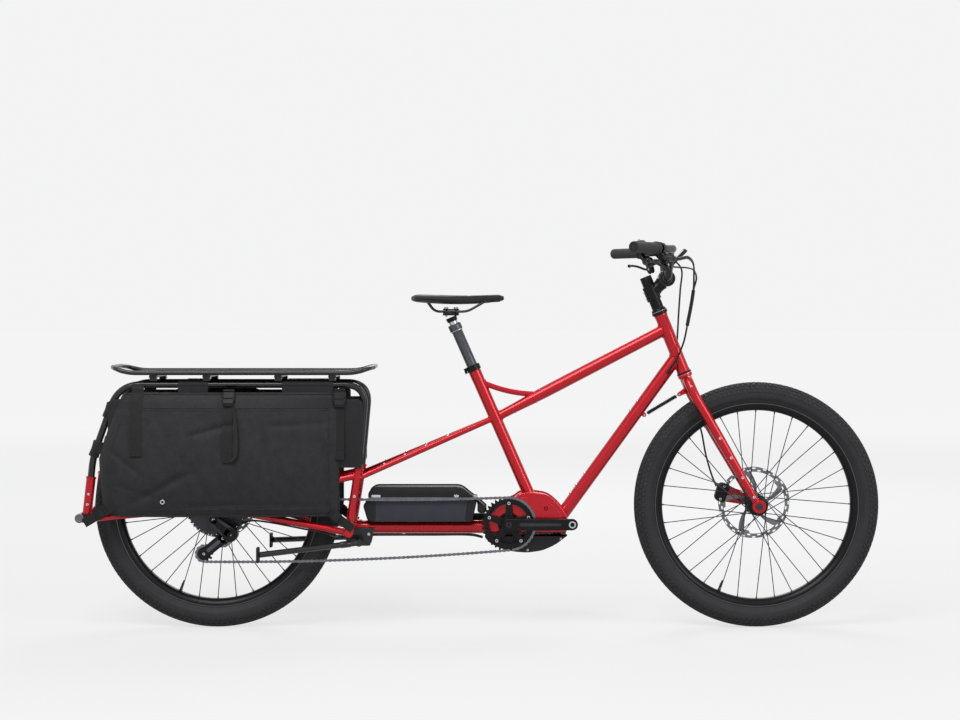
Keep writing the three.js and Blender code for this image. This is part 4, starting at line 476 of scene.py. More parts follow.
def build(name, parts, body, slot, *nodes, sharp=38.0):
    """One object from (finish, shell) pairs given in mm: doubles merged, loose points dropped,
    faces turned outwards, shaded smooth between faces that turn less than the sharp angle."""
    mesh = bpy.data.meshes.new(name)
    finishes = list(dict.fromkeys(finish_name for finish_name, _ in parts))
    points, faces = join(*(shell for _, shell in parts))
    mesh.from_pydata((points * MM).tolist(), [], faces)
    slots = np.concatenate([np.full(len(shell[1]), finishes.index(finish_name))
                            for finish_name, shell in parts])
    mesh.polygons.foreach_set("material_index", slots.astype(np.int32))
    for finish_name in finishes:
        mesh.materials.append(finish(finish_name))
    work = bmesh.new()
    work.from_mesh(mesh)
    bmesh.ops.remove_doubles(work, verts=work.verts, dist=2e-6)
    bmesh.ops.delete(work, geom=[v for v in work.verts if not v.link_faces], context="VERTS")
    bmesh.ops.recalc_face_normals(work, faces=work.faces)
    work.to_mesh(mesh)
    work.free()
    mesh.shade_smooth()
    mesh.set_sharp_from_angle(angle=np.radians(sharp))
    piece = bpy.data.objects.new(name, mesh)
    bpy.context.scene.collection.objects.link(piece)
    if nodes:
        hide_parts(*nodes)
    if body:
        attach(piece, body)
    return piece


def two_sides(*sides):
    """Left and right, as the sign of the side coordinate."""
    return sides or (1, -1)


def frame_pieces(sizes):
    """The red main frame: each tube its own piece, with a scaled weld bead where tubes meet,
    threaded studs, and the black clamp on the seat tube."""
    main, stay = sizes.main_tube / MM, sizes.stay_tube / MM
    red, bead = "candy_red", "weld_red"
    head = (S(418), S(593.7))
    seat = (P(876, 357.4), SEAT_TOP)
    down = (P(955, 301), S(467) + unit(P(955, 301) - S(467)) * 9)
    top = (on_seat_tube(-144.8), S(549.6))
    build("head_tube_dressed", [
        (red, lathe([(418, 14.9), (418, 18.6), (419, 19.2), (424, 19.2), (427, main), (585, main),
                     (588, 19.2), (592.7, 19.2), (593.7, 18.6), (593.7, 14.9)], STEER_FOOT, STEER_UP, 64)),
        (bead, weld(top[0], top[1], 16.5, head[0], head[1], main)),
        (bead, weld(down[0], down[1], main, head[0], head[1], main))],
        "frame", "frame_paint", "head_tube")
    share = np.array((0.0, 0.1, 0.2, 0.27, 0.34, 0.6, 1.0))
    reach = np.array((12.6, 13.2, 15.2, 16.1, 16.5, 16.5, 16.5))
    top_at = lambda t: top[0] + (top[1] - top[0]) * t
    top_up = np.cross(unit(top[1] - top[0]), -Y)
    top_up = top_up if top_up[2] > 0 else -top_up
    path = np.stack([top_at(t) for t in share])
    brace_start, brace_end = on_seat_tube(-30), top_at(145 / np.linalg.norm(top[1] - top[0]))
    knee = brace_start + np.array((82, 0, -40.5))
    t = np.linspace(0, 1, 24)[:, None]
    brace = brace_start * (1 - t)**2 + knee * 2 * t * (1 - t) + brace_end * t**2
    build("top_tube_dressed", [
        (red, tube(path, reach, 64)), (red, tube(brace, 8.0, 40)),
        (bead, weld(brace[-6], brace[-1], 8.0, top[0], top[1], 14.0, 1.9)),
        (bead, weld(brace[6], brace[0], 8.0, seat[0], seat[1], 17.0, 1.9)),
        (bead, weld(top[1], top[0], 12.6, seat[0], seat[1], 17.0)),
        ("bright_steel_and_cup_highlight", join(stud(top_at(0.229) - top_up * 14.2, -top_up), stud(top_at(0.109) - top_up * 12.4,
                                                                             -top_up),
                            stud(top_at(0.27) + top_up * 15.3, top_up)))],
        "frame", "frame_paint", "top_tube")
    down_out = np.array((-0.809, 0, 0.587))
    down_at = lambda t: down[0] + (S(467) - down[0]) * t
    lug = P(1193.5, 591.5)
    build("down_tube_dressed", [
        (red, rod(down[0], down[1], main, 64)),
        (red, slab(capsule((1193.5, 591.5), (1180.0, 601.0), 5.4, 9.5), -3.8, 3.8, 0.9)),
        ("bright_steel_and_cup_highlight", rod(lug - Y * 5, lug + Y * 5, 2.7, 20, 0.5)),
        ("bright_steel_and_cup_highlight", join(*(stud(down_at(s) + down_out * main, down_out)
                              for s in (0.702, 0.645, 0.258, 0.187, 0.138))))],
        "frame", "frame_paint", "down_tube")
    collar = on_seat_tube(8)
    build("seat_tube_dressed", [
        (red, lathe([(0, 15.3), (0, 17), (358, 17), (372, 17.6), (387, 17.6), (391.4, 17.2), (391.4, 15.3)],
                    P(876, 357.4), SEAT_UP, 64)),
        ("black_metal", clamp_band(collar, SEAT_UP, 15.3, 20.5, 16)),
        ("black_metal", block(collar + np.cross(Y, SEAT_UP) * -21.0, (12, 15, 15), unit(np.cross(Y, SEAT_UP)),
                              Y, SEAT_UP, 1.2, 2.5)),
        ("bright_steel_and_cup_highlight", join(socket_bolt(P(701, 711.5, -7.4), -Y, 3.2, 2.4, 1.5),
                              socket_bolt(P(701, 711.5, 7.4), Y, 3.2, 2.4, 1.5)))],
        "frame", "frame_paint", "seat_tube")
    low = (P(371.97, 279), P(760, 279))
    build("lower_tube_dressed", [
        (red, rod(P(371.97, 279), P(760, 279), main, 64)),
        (bead, weld(P(500, 279), P(372, 279), main, P(371.97, 272, -97), P(371.97, 272, 97), 12.7, 2.0)),
        ("bright_steel_and_cup_highlight", join(stud(P(399, 279 + main), Z), stud(P(445, 279 + main), Z),
                            stud(P(520, 279 - main), -Z))),
        ("moulded_grey", block(P(545, 296.5), (34, 22, 9), X, Y, Z, 1.4, 4.0))],
        "frame", "frame_paint", "lower_tube")
    mids, fronts, rears = [], [], []
    for s in two_sides():
        start, end = on_front_upright(26, 84 * s), on_seat_tube(-143.2) + Y * 2 * s
        way = unit(end - start)
        over = unit(np.cross(np.cross(way, Z), way))
        mids += [(red, rod(start, end, 8.0, 40)),
                 (bead, weld(end - way * 60, start, 8.0, on_front_upright(0, 84 * s),
                             on_front_upright(175, 84 * s), 12.0, 1.8)),
                 (bead, weld(start, end, 8.0, seat[0], seat[1], 17.0, 1.8)),
                 ("bright_steel_and_cup_highlight", join(*(stud(start + (end - start) * k + over * 7.6, over, 3.4, 1.6, 1.5)
                                       for k in (0.2, 0.35, 0.5, 0.66))))]
        foot, hoop_end = P(371.97, 272, 84 * s), on_front_upright(0, 84 * s)
        fronts += [(red, rod(foot, hoop_end, 12.0, 48)),
                   (bead, weld(hoop_end, foot, 12.0, P(371.97, 272, -97), P(371.97, 272, 97), 12.7, 2.0)),
                   (bead, clamp_band(hoop_end + unit(foot - hoop_end), unit(foot - hoop_end), 11, 13.3, 5)),
                   ("bright_steel_and_cup_highlight", stud(on_front_upright(74, 84 * s) + Y * 11.6 * s, Y * s, 3.8, 1.8, 1.7))]
        low_end, high_end = P(-351, 306, 84 * s), P(-338, 424, 84 * s)
        rears += [(red, rod(low_end, high_end, 12.7, 48)),
                  (bead, weld(high_end, low_end, 12.7, P(-368, 312.6, -100), P(-368, 312.6, 100), 12.7, 2.0)),
                  (bead, clamp_band(high_end, unit(high_end - low_end), 11, 13.9, 5)),
                  ("bright_steel_and_cup_highlight", join(*(stud(low_end + (high_end - low_end) * k + Y * 12.3 * s, Y * s,
                                             3.4, 1.8, 1.5) for k in (0.38, 0.62))))]
    cross_front, cross_rear = P(371.97, 272), P(-368, 312.6)
    fronts += [(red, rod(cross_front - Y * 97, cross_front + Y * 97, 12.7, 48, 0.8))]
    rears += [(red, rod(cross_rear - Y * 98.5, cross_rear + Y * 98.5, 12.7, 48, 0.8)),
              ("moulded_grey", join(*(lathe([(97, 12.2), (98.6, 12.2), (99.6, 11.4), (100, 9.8), (99.2, 8.6),
                                             (99.2, 2)], cross_rear, Y * s, 40) for s in (1, -1))))]
    build("mid_stays_dressed", mids, "frame", "frame_paint", "mid_stays")
    build("front_uprights_dressed", fronts, "frame", "frame_paint", "front_uprights")
    build("rear_uprights_dressed", rears, "frame", "frame_paint", "rear_uprights")
    for s, name in ((1, "left"), (-1, "right")):
        lower, axle = P(371.97, 272, 84 * s), P(0, 342, 84 * s)
        upper, tail = on_front_upright(17, 84 * s), P(-351, 310, 84 * s)
        span = lambda a, b, t: a + (b - a) * t
        disc = lathe([(74 * s, 27), (75 * s, 28), (83 * s, 28), (84 * s, 27)], P(0, 342, 0), Y, 56)
        parts = [(red, rod(lower, axle, 9.5, 40)), (red, rod(axle, tail, 9.5, 40)),
                 (red, rod(upper, axle, 9.5, 40)), (red, disc),
                 (bead, weld(axle, lower, 9.5, P(371.97, 272, -97), P(371.97, 272, 97), 12.7, 1.9)),
                 (bead, weld(axle, upper, 9.5, on_front_upright(0, 84 * s), on_front_upright(175, 84 * s),
                             12.0, 1.9)),
                 (bead, weld(axle, tail, 9.5, P(-351, 306, 84 * s), P(-338, 424, 84 * s), 12.7, 1.9)),
                 ("bright_steel_and_cup_highlight", join(*(stud(span(upper, axle, k) + Y * 9.1 * s, Y * s, 3.2, 1.5, 1.4)
                                       for k in (0.42, 0.58))))]
        if s > 0:
            way = np.radians(55)
            out = np.array((np.cos(way), np.sin(way)))
            along = np.array((-out[1], out[0]))
            tab = np.array([out * 13.5 - along * 16, out * 96 - along * 27, out * 96 + along * 27,
                            out * 13.5 + along * 16])
            parts.append((red, slab(rounded(tab, 8) + (0, 342), 74, 80, 1.0)))
        else:
            parts.append((red, slab(capsule((0, 342), (0, 308), 20, 10), -83.5, -76, 1.0)))
        build(f"rear_stays_{name}_dressed", parts, "frame", "frame_paint", f"rear_stays_{name}")
    nut = [(0, 9.8), (0.8, 10.6), (5, 10.6), (6, 9.6), (6, 7.6), (7.2, 7.2), (8.6, 5.6), (8.6, 2)]
    build("rear_axle_dressed", [("dark_steel", rod(P(0, 342, -86), P(0, 342, 86), 7.4, 32)),
                                ("bright_steel_and_cup_highlight", join(lathe(nut, P(0, 342, 84), Y, 6),
                                                      lathe(nut, P(0, 342, -84), -Y, 6)))],
          "frame", "bare_steel", "rear_axle")


def fork_pieces(sizes):
    """The fork: a turned steerer with its spacers, two raked blades in a smooth curve that taper to the axle, their
    end plates, the caliper tab and threaded studs; and the headset cup, with a thin bright ring that paints its
    silver highlight."""
    parts = [("black_metal", lathe([(610, 14.4), (610, 16.6), (617.9, 16.9), (618.3, 16.4), (618.7, 16.9),
                                    (626.9, 16.9), (627.3, 16.4), (627.7, 16.9), (635.7, 16.6),
                                    (635.7, 14.4)], STEER_FOOT, STEER_UP, 48)),
             ("candy_red", lathe([(384, 9), (386, 15.4), (388, 16), (402, 16), (404, 19.6), (405, 20.5),
                                  (416.9, 20.5), (417.7, 19.8), (417.7, 14.4), (610, 14.4)],
                                 STEER_FOOT, STEER_UP, 56)),
             ("black_metal", lathe([(678, 14.4), (678.3, 16.6), (704, 16.6), (706, 15.2), (706, 8),
                                    (704.6, 7), (704.6, 3)], STEER_FOOT, STEER_UP, 48)),
             ("black_metal", clamp_band(S(416.4), STEER_UP, 16, 20.9, 4.4)),
             ("bright_steel_and_cup_highlight", clamp_band(S(413.4), STEER_UP, 16, 20.8, 0.8))]
    for s in two_sides():
        axle_end = P(1506, 342, 61 * s)
        shoulder = S(352, 0, 50 * s)
        knee = shoulder + (axle_end - shoulder) * 0.389
        mid = (shoulder + knee) / 2
        upper = smooth([S(395, 0, 4.75 * s), S(391.6, 0, 32.3 * s), shoulder, mid, knee], 14)
        end = axle_end + unit(knee - axle_end) * 12
        lower = line(knee, end, 10)[1:]
        radius = np.concatenate((np.full(len(upper), 13.5), np.linspace(13.5, 9.5, 10)[1:]))
        parts += [("candy_red", tube(np.vstack((upper, lower)), radius, 48)),
                  ("candy_red", lathe([(55, 18), (56, 19), (67, 19), (68, 18)], P(1506, 342, 0), Y * s, 48)),
                  ("weld_red", clamp_band(end + unit(knee - end) * 7, unit(knee - end), 8, 11.1, 4))]
        nut = [(68, 8.6), (69, 9.4), (73, 9.4), (74, 8.4), (74, 2)]
        parts.append(("bright_steel_and_cup_highlight" if s > 0 else "dark_steel", lathe(nut, P(1506, 342, 0), Y * s, 32)))
        blade = np.vstack((upper, lower))
        heights = np.array((673, 531, 477, 422, 368.0)) if s < 0 else np.array((531, 477.0))
        order = np.argsort(blade[:, 2])
        spots = np.stack([np.interp(heights, blade[order, 2], blade[order, k]) for k in range(3)], 1)
        girth = np.interp(heights, blade[order, 2], radius[order])
        parts.append(("bright_steel_and_cup_highlight", join(*(stud(spot + Y * s * (g - 0.6), Y * s, 3.6, 1.9, 1.6)
                                           for spot, g in zip(spots, girth)))))
    way = np.radians(162)
    out, along = np.array((np.cos(way), np.sin(way))), np.array((-np.sin(way), np.cos(way)))
    tab = np.array([out * 18 - along * 14, out * 96 - along * 27, out * 96 + along * 27,
                    out * 18 + along * 14])
    parts.append(("candy_red", slab(rounded(tab, 8) + (1506, 342), 57.8, 62.8, 0.9)))
    parts.append(("candy_red", slab(capsule((1291, 649.4), (1309, 660), 5.6, 8), -3.6, 3.6, 0.8)))
    parts.append(("bright_steel_and_cup_highlight", rod(P(1291, 649.4, -5), P(1291, 649.4, 5), 2.6, 20, 0.5)))
    build("fork_dressed", parts, "steering", "frame_paint", "fork")
    build("headset_cup_dressed", [
        ("black_metal", lathe([(593.85, 16), (593.85, 21.8), (594.6, 22.4), (601, 22.4), (602, 21.6),
                               (605, 21), (609, 19.6), (609.8, 19), (609.8, 16)], STEER_FOOT, STEER_UP, 56)),
        # Painted highlight: the thin bright steel ring on the cup's shoulder stands for the cup's silver highlight.
        ("bright_steel_and_cup_highlight", clamp_band(S(602.4), STEER_UP, 20, 21.6, 0.8))],
        "frame", "black_alloy", "headset_upper_cup")


def knobs(centre, crown, reach, rows, count, low, high, gap):
    """Tread blocks: a grid of little frusta on the tyre's crown. A corner lies at the crown's
    middle radius plus its reach turned by the row's angle; every other row is shifted half a pitch."""
    pitch = TURN / count
    row_edges = np.asarray(rows, float)
    k = np.arange(count)[:, None] * pitch
    shift = (np.arange(len(rows)) % 2) * pitch / 2
    mid = k + shift[None]
    corners = []
    for level, draw in ((low, 0.0), (high, 0.12)):
        for du, dv in ((-1, -1), (1, -1), (1, 1), (-1, 1)):
            theta = mid + du * pitch * (0.5 - gap - draw * 0.5)
            lean = row_edges[None, :, 0] * (1 - dv) / 2 + row_edges[None, :, 1] * (1 + dv) / 2
            lean = lean - dv * draw * (row_edges[None, :, 1] - row_edges[None, :, 0]) * 0.5
            radial = crown + (reach + level) * np.cos(lean)
            side = (reach + level) * np.sin(lean)
            corners.append(np.stack(np.broadcast_arrays(radial * np.cos(theta), side + 0 * theta,
                                                        radial * np.sin(theta)), -1))
    points = np.stack(corners, 2).reshape(-1, 3) + centre
    base = (np.arange(count * len(rows)) * 8)[:, None, None]
    cube = np.array(((4, 5, 6, 7), (0, 1, 5, 4), (1, 2, 6, 5), (2, 3, 7, 6), (3, 0, 4, 7), (3, 2, 1, 0)))
    return points, (base + cube).reshape(-1, 4).tolist()


def wheel_pieces(sizes, name, axle, body, hub_half, flanges):
    """A wheel: tyre with tread blocks and a ribbed wall, rim with a grey metal ring on its edge that paints the
    edge's highlight, laced spokes with nipples, a turned hub with flanges, and the valve."""
    outer, half = sizes.tyre_radius / MM, sizes.tyre_width / MM / 2
    depth = 1.9
    reach = half - depth - 0.4
    crown = outer - reach - depth
    lean = np.radians(np.linspace(-128, 128, 45))
    wall = np.abs(np.degrees(lean))
    swell = reach + 0.9 * np.exp(-((wall - 112) / 4.0)**2) - 0.5 * np.exp(-((wall - 92) / 3.0)**2)
    arch = np.stack((swell * np.sin(lean), crown + swell * np.cos(lean)), 1)
    rim_edge = 284.0
    profile = np.vstack(((-15.5, rim_edge - 6), (-17.2, rim_edge + 1), arch, (17.2, rim_edge + 1),
                         (15.5, rim_edge - 6)))
    rows = np.radians([(-82, -69), (-64, -49), (-44, -29), (-24, -8), (-5, 5), (8, 24), (29, 44), (49, 64),
                       (69, 82)])
    build(f"{name}_tyre_dressed", [
        ("wall_rubber", lathe(profile, axle, Y, 160, closed=True)),
        ("tread_rubber", knobs(axle, crown, reach, rows, 138, -0.4, depth, 0.13))],
        body, "tyre", f"{name}_tyre", sharp=32)
    rim = [(-19, rim_edge), (-19, 279), (-16.5, 272), (-10, 265.5), (-6, 263), (6, 263), (10, 265.5),
           (16.5, 272), (19, 279), (19, rim_edge), (16.8, rim_edge), (15, 277), (-15, 277),
           (-16.8, rim_edge)]
    parts = [("black_metal", lathe(rim, axle, Y, 160, closed=True)),
             # Painted highlight: a lighter grey metal ring on each rim flange stands for the bright line along the
             # rim's edge.
             ("grey_metal_and_rim_highlight", join(*(lathe([(s * 17.2, 284.0), (s * 19.15, 284.0), (s * 19.15, 281.8),
                                         (s * 17.2, 281.8)], axle, Y, 160, closed=True)
                                  for s in (1, -1))))]
    polar = lambda r, a, side: axle + np.array((r * np.cos(a), side, r * np.sin(a)))
    spokes, nipples = [], []
    count = sizes.spokes
    for i in range(count):
        at = TURN * i / count
        flange = flanges[i % 2]
        turn = 1 if (i // 2) % 2 else -1
        inner = polar(26, at - turn * np.radians(67.5), flange + turn * 1.9)
        tip = polar(270, at, 0)
        way = unit(tip - inner)
        spokes.append(rod(inner, tip, sizes.spoke_gauge / MM / 2, 8))
        nipples.append(tube(np.vstack((tip - way * 13, tip - way * 11.5, tip - way * 2, tip)),
                            np.array((1.4, 2.1, 2.3, 2.9)), 8))
    parts += [("dark_steel", join(*spokes)), ("grey_metal_and_rim_highlight", join(*nipples))]
    low, high = hub_half
    inner_flange, outer_flange = flanges
    hub = [(low, 7.6), (low, 13), (inner_flange - 5, 13.6), (inner_flange - 3.2, 28), (inner_flange - 2.4, 29),
           (inner_flange + 2.4, 29), (inner_flange + 3.2, 28), (inner_flange + 6, 16.5),
           (inner_flange + 14, 15), (outer_flange - 14, 15), (outer_flange - 6, 16.5),
           (outer_flange - 3.2, 28), (outer_flange - 2.4, 29), (outer_flange + 2.4, 29),
           (outer_flange + 3.2, 28), (outer_flange + 5, 13.6), (high, 13), (high, 7.6)]
    parts.append(("black_metal", lathe(hub, axle, Y, 56)))
    valve_at = TURN * 0.5 / count + 4.2
    out = unit(polar(1, valve_at, 0) - axle)
    parts.append(("dark_steel", lathe([(232, 1.2), (233, 2.4), (241, 2.6), (242, 3.2), (246, 3.2), (247, 2.7),
                                       (261, 2.7), (262, 5), (264, 5)], axle, out, 14)))
    build(f"{name}_wheel_dressed", parts, body, "black_alloy", f"{name}_wheel")


def rotor_piece(name, axle, body, side):
    """A brake rotor: a wavy rim with slots in rings, five swept arms and a toothed carrier."""
    rows = np.array((9.0, 16, 24, 32, 42, 52, 62, 72, 80, 87, 89, 91, 93, 95, 97, 99, 1.0))
    cols = 320
    angle = np.linspace(0, TURN, cols, endpoint=False)
    edge = 101.5 - 2 * (1 - np.cos(5 * angle)) / 2
    radius = np.repeat(rows[:, None], cols, 1)
    radius[-1] = edge
    sweep = 0.42 * np.clip((rows - 24) / 63, 0, 1)
    sweep[-1] = 0.42
    turned = angle[None] + sweep[:, None]
    radius[:9] = rows[:9, None]
    ring = np.arange(cols)
    kept = np.ones((len(rows) - 1, cols), bool)
    arm = (ring % 64) < 11
    wide = (ring % 64) < 20
    kept[2:9] = arm
    kept[2] = wide
    kept[8] = wide
    kept[1, (ring % 53) < 10] = False
    kept[10, (ring % 16) < 5] = False
    kept[11, (ring % 16) < 5] = False
    kept[13, ((ring + 8) % 16) < 5] = False
    kept[14, ((ring + 8) % 16) < 5] = False
    rim = kept.copy()
    rim[:2] = False
    carrier = kept.copy()
    carrier[2:] = False
    build(f"{name}_rotor_dressed", [
        ("rotor_steel", pierced(radius, turned, rim, side - 0.9, side + 0.9, axle)),
        ("black_metal", pierced(radius, turned, carrier, side - 1.6, side + 1.6, axle)),
        ("black_metal", clamp_band(axle + Y * (side + 1.5), Y, 12, 19.5, 3.2))],
        body, "bare_steel", f"{name}_rotor")


def caliper_shell(axle, degrees, side):
    """A caliper's two halves about the rotor, its bridge, bolts and hose fitting."""
    way = np.radians(degrees)
    out, along = np.array((np.cos(way), np.sin(way))), np.array((-np.sin(way), np.cos(way)))
    centre = np.array((axle[0] - REAR_AXLE_X, axle[2]))
    body = np.array([out * 80 - along * 22, out * 86 - along * 26.5, out * 104 - along * 26.5,
                     out * 112 - along * 18, out * 112 + along * 18, out * 104 + along * 26.5,
                     out * 86 + along * 26.5, out * 80 + along * 22]) + centre
    bridge = np.array([out * 101 - along * 26, out * 112.5 - along * 18, out * 112.5 + along * 18,
                       out * 101 + along * 26]) + centre
    at = lambda r, t, y: P(*(centre + out * r + along * t), y)
    bolts = [socket_bolt(at(95, t, side + 14.4), Y, 4.2, 2.6, 2.0) for t in (-19, 19)]
    bolts += [socket_bolt(at(95, t, side - 12.6), -Y, 3.8, 1.6, 1.8) for t in (-19, 19)]
    return [("black_metal", slab(rounded(body, 5), side + 1.5, side + 14.6, 1.6)),
            ("black_metal", slab(rounded(body, 5), side - 12.8, side - 1.5, 1.6)),
            ("black_metal", slab(rounded(bridge, 5), side - 8, side + 9, 1.4)),
            ("grey_metal_and_rim_highlight", lathe([(14.4, 13), (15, 12.4), (15, 9.4), (14.2, 8.8), (14.2, 2)],
                                 at(93, 0, side), Y, 32)),
            ("bright_steel_and_cup_highlight", join(*bolts))]


def pitch_radius(teeth):
    """The radius at which a half-inch chain's pins lie on a sprocket."""
    return 12.7 / (2 * np.sin(np.pi / teeth))


def toothed(teeth, thick, plane, centre, inner, holes=0, hole_share=0.5, bands=(), per_tooth=8):
    """A toothed disc: its edge follows a rounded wave between tooth tips and the rollers' seats,
    and its body has windows in the bands of radius given."""
    cols = teeth * per_tooth
    angle = np.linspace(0, TURN, cols, endpoint=False)
    pitch = pitch_radius(teeth)
    tip, seat = pitch + 3.0, pitch - 3.9
    wave = np.cos(teeth * angle)
    edge = seat + (tip - seat) * (0.5 + 0.5 * np.clip(wave * 1.5, -1, 1))
    body = seat - 1.6
    rows = np.concatenate((np.linspace(inner, body, 7), [1.0]))
    radius = np.repeat(rows[:, None], cols, 1)
    radius[-1] = edge
    kept = np.ones((len(rows) - 1, cols), bool)
    if holes:
        step = cols / holes
        gap = (np.arange(cols) % step) < step * hole_share
        for band in bands:
            kept[band, gap] = False
    return pierced(radius, np.repeat(angle[None], len(rows), 0), kept, plane - thick / 2,
                   plane + thick / 2, centre)


def chain_line():
    """The chain's pitch line: circles joined by their common tangents, each touch point square to
    a heading of the centres' own heading less the arcsine of the radii's difference over their
    distance. Returned as points [x, z] with the marks where its runs begin."""
    ring, sprocket, small = pitch_radius(36), pitch_radius(15), pitch_radius(11)
    circles = [(CRANK[0], CRANK[2], -ring), (REAR_AXLE_X - 30.6, 210.5, -small),
               (REAR_AXLE_X + 22, 253.5, small), (REAR_AXLE_X, 342, -sprocket)]
    touches = []
    for a, b in zip(circles, circles[1:] + circles[:1]):
        dx, dz = b[0] - a[0], b[1] - a[1]
        heading = np.arctan2(dz, dx) - np.arcsin((b[2] - a[2]) / np.hypot(dx, dz))
        side = np.array((np.sin(heading), -np.cos(heading)))
        touches.append((np.array(a[:2]) + a[2] * side, np.array(b[:2]) + b[2] * side))
    return circles, touches


def around(circle, start, end, step=2.2):
    """Points on a circle from a touch point to the next, the short way in the chain's sense."""
    centre, radius = np.array(circle[:2]), abs(circle[2])
    a, b = np.arctan2(*(start - centre)[::-1]), np.arctan2(*(end - centre)[::-1])
    turn = -1 if circle[2] < 0 else 1
    sweep = (b - a) * turn % TURN
    angles = a + turn * np.linspace(0, sweep, max(4, int(sweep * radius / step)))
    return centre + radius * np.stack((np.cos(angles), np.sin(angles)), 1)


def run(start, end, sag, count=90):
    """A span of chain that hangs by its sag at the middle, as a parabola."""
    t = np.linspace(0, 1, count)[:, None]
    return start * (1 - t) + end * t - np.array((0, 1)) * 4 * sag * t * (1 - t)


def links(path, plane, start_phase=0.0):
    """Chain links along a flat path: at each half inch a roller, and a pair of waisted side
    plates that reach to the next, outer pairs wider than inner ones."""
    step = np.concatenate(([0], np.cumsum(np.linalg.norm(np.diff(path, axis=0), axis=1))))
    count = int((step[-1] - start_phase) // 12.7)
    at = start_phase + 12.7 * np.arange(count + 1)
    pins = np.stack([np.interp(at, step, path[:, k]) for k in (0, 1)], 1)
    shells = []
    a = np.linspace(0, TURN, 8, endpoint=False)
    ring = np.stack((np.cos(a), 0 * a, np.sin(a)), 1)
    place = np.stack((pins[:, 0], np.full(len(pins), plane), pins[:, 1]), 1)
    for radius, half in ((3.3, 1.2), (1.7, 3.3)):
        two = np.stack([ring * radius + Y * s * half for s in (-1, 1)], 0)
        points = (place[:, None, None] + two[None]).reshape(-1, 3)
        wall = np.array([(k, (k + 1) % 8, (k + 1) % 8 + 8, k + 8) for k in range(8)])
        base = (np.arange(len(pins)) * 16)[:, None, None]
        faces = (base + wall).reshape(-1, 4).tolist()
        caps = (np.arange(len(pins)) * 16)[:, None]
        faces += (caps + np.arange(8)[::-1]).tolist() + (caps + 8 + np.arange(8)).tolist()
        shells.append((points, faces))
    u = np.array((-4.0, -2.6, 0.8, 6.35, 11.9, 15.3, 16.7))
    v = np.array((0.0, 3.0, 3.9, 2.5, 3.9, 3.0, 0.0))
    flat = np.concatenate((np.stack((u, v), 1), np.stack((u[-2:0:-1], -v[-2:0:-1]), 1)))
    way = unit(pins[1:] - pins[:-1])
    for parity, off in ((0, 1.75), (1, 2.6)):
        pick = np.arange(parity, len(way), 2)
        if not len(pick):
            continue
        w, o = way[pick], pins[:-1][pick]
        normal = np.stack((-w[:, 1], w[:, 0]), 1)
        xz = o[:, None] + flat[None, :, :1] * w[:, None] + flat[None, :, 1:] * normal[:, None]
        for s in (-1, 1):
            layers = [np.stack((xz[..., 0], np.full(xz.shape[:2], plane + s * y), xz[..., 1]), -1)
                      for y in (off - 0.42, off + 0.42)]
            points = np.stack(layers, 1).reshape(-1, 3)
            n = len(flat)
            wall = np.array([(k, (k + 1) % n, (k + 1) % n + n, k + n) for k in range(n)])
            base = (np.arange(len(pick)) * 2 * n)[:, None]
            faces = (base[:, None] + wall).reshape(-1, 4).tolist()
            faces += (base + np.arange(n)[::-1]).tolist() + (base + n + np.arange(n)).tolist()
            shells.append((points, faces))
    return join(*shells)


def chain_pieces():
    """The chain in three pieces: round the ring and the cassette on the frame, and the lower run and the pulleys'
    wrap, which stay where they are built, on no body."""
    circles, touches = chain_line()
    plane = -54.0
    ring_wrap = around(circles[0], touches[3][1], touches[0][0])
    top_run = run(touches[3][0], touches[3][1], 9)
    sprocket_wrap = around(circles[3], touches[2][1], touches[3][0])
    lower = run(touches[0][0], touches[0][1], 10, 120)
    wrap = np.vstack((around(circles[1], touches[0][1], touches[1][0]), touches[1][1][None],
                      around(circles[2], touches[1][1], touches[2][0])[1:], touches[2][1][None]))
    main = np.vstack((sprocket_wrap[:-1], top_run[:-1], ring_wrap))
    build("chain_main_run", [("chain_steel", links(main, plane))], "frame", "bare_steel", "chain", sharp=30)
    low = build("chain_lower_run", [("chain_steel", links(lower, plane, 3.0))], None, "bare_steel")
    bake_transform(low)
    turn = build("chain_pulley_wrap", [("chain_steel", links(wrap, plane, 2.0))], None, "bare_steel")
    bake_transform(turn)


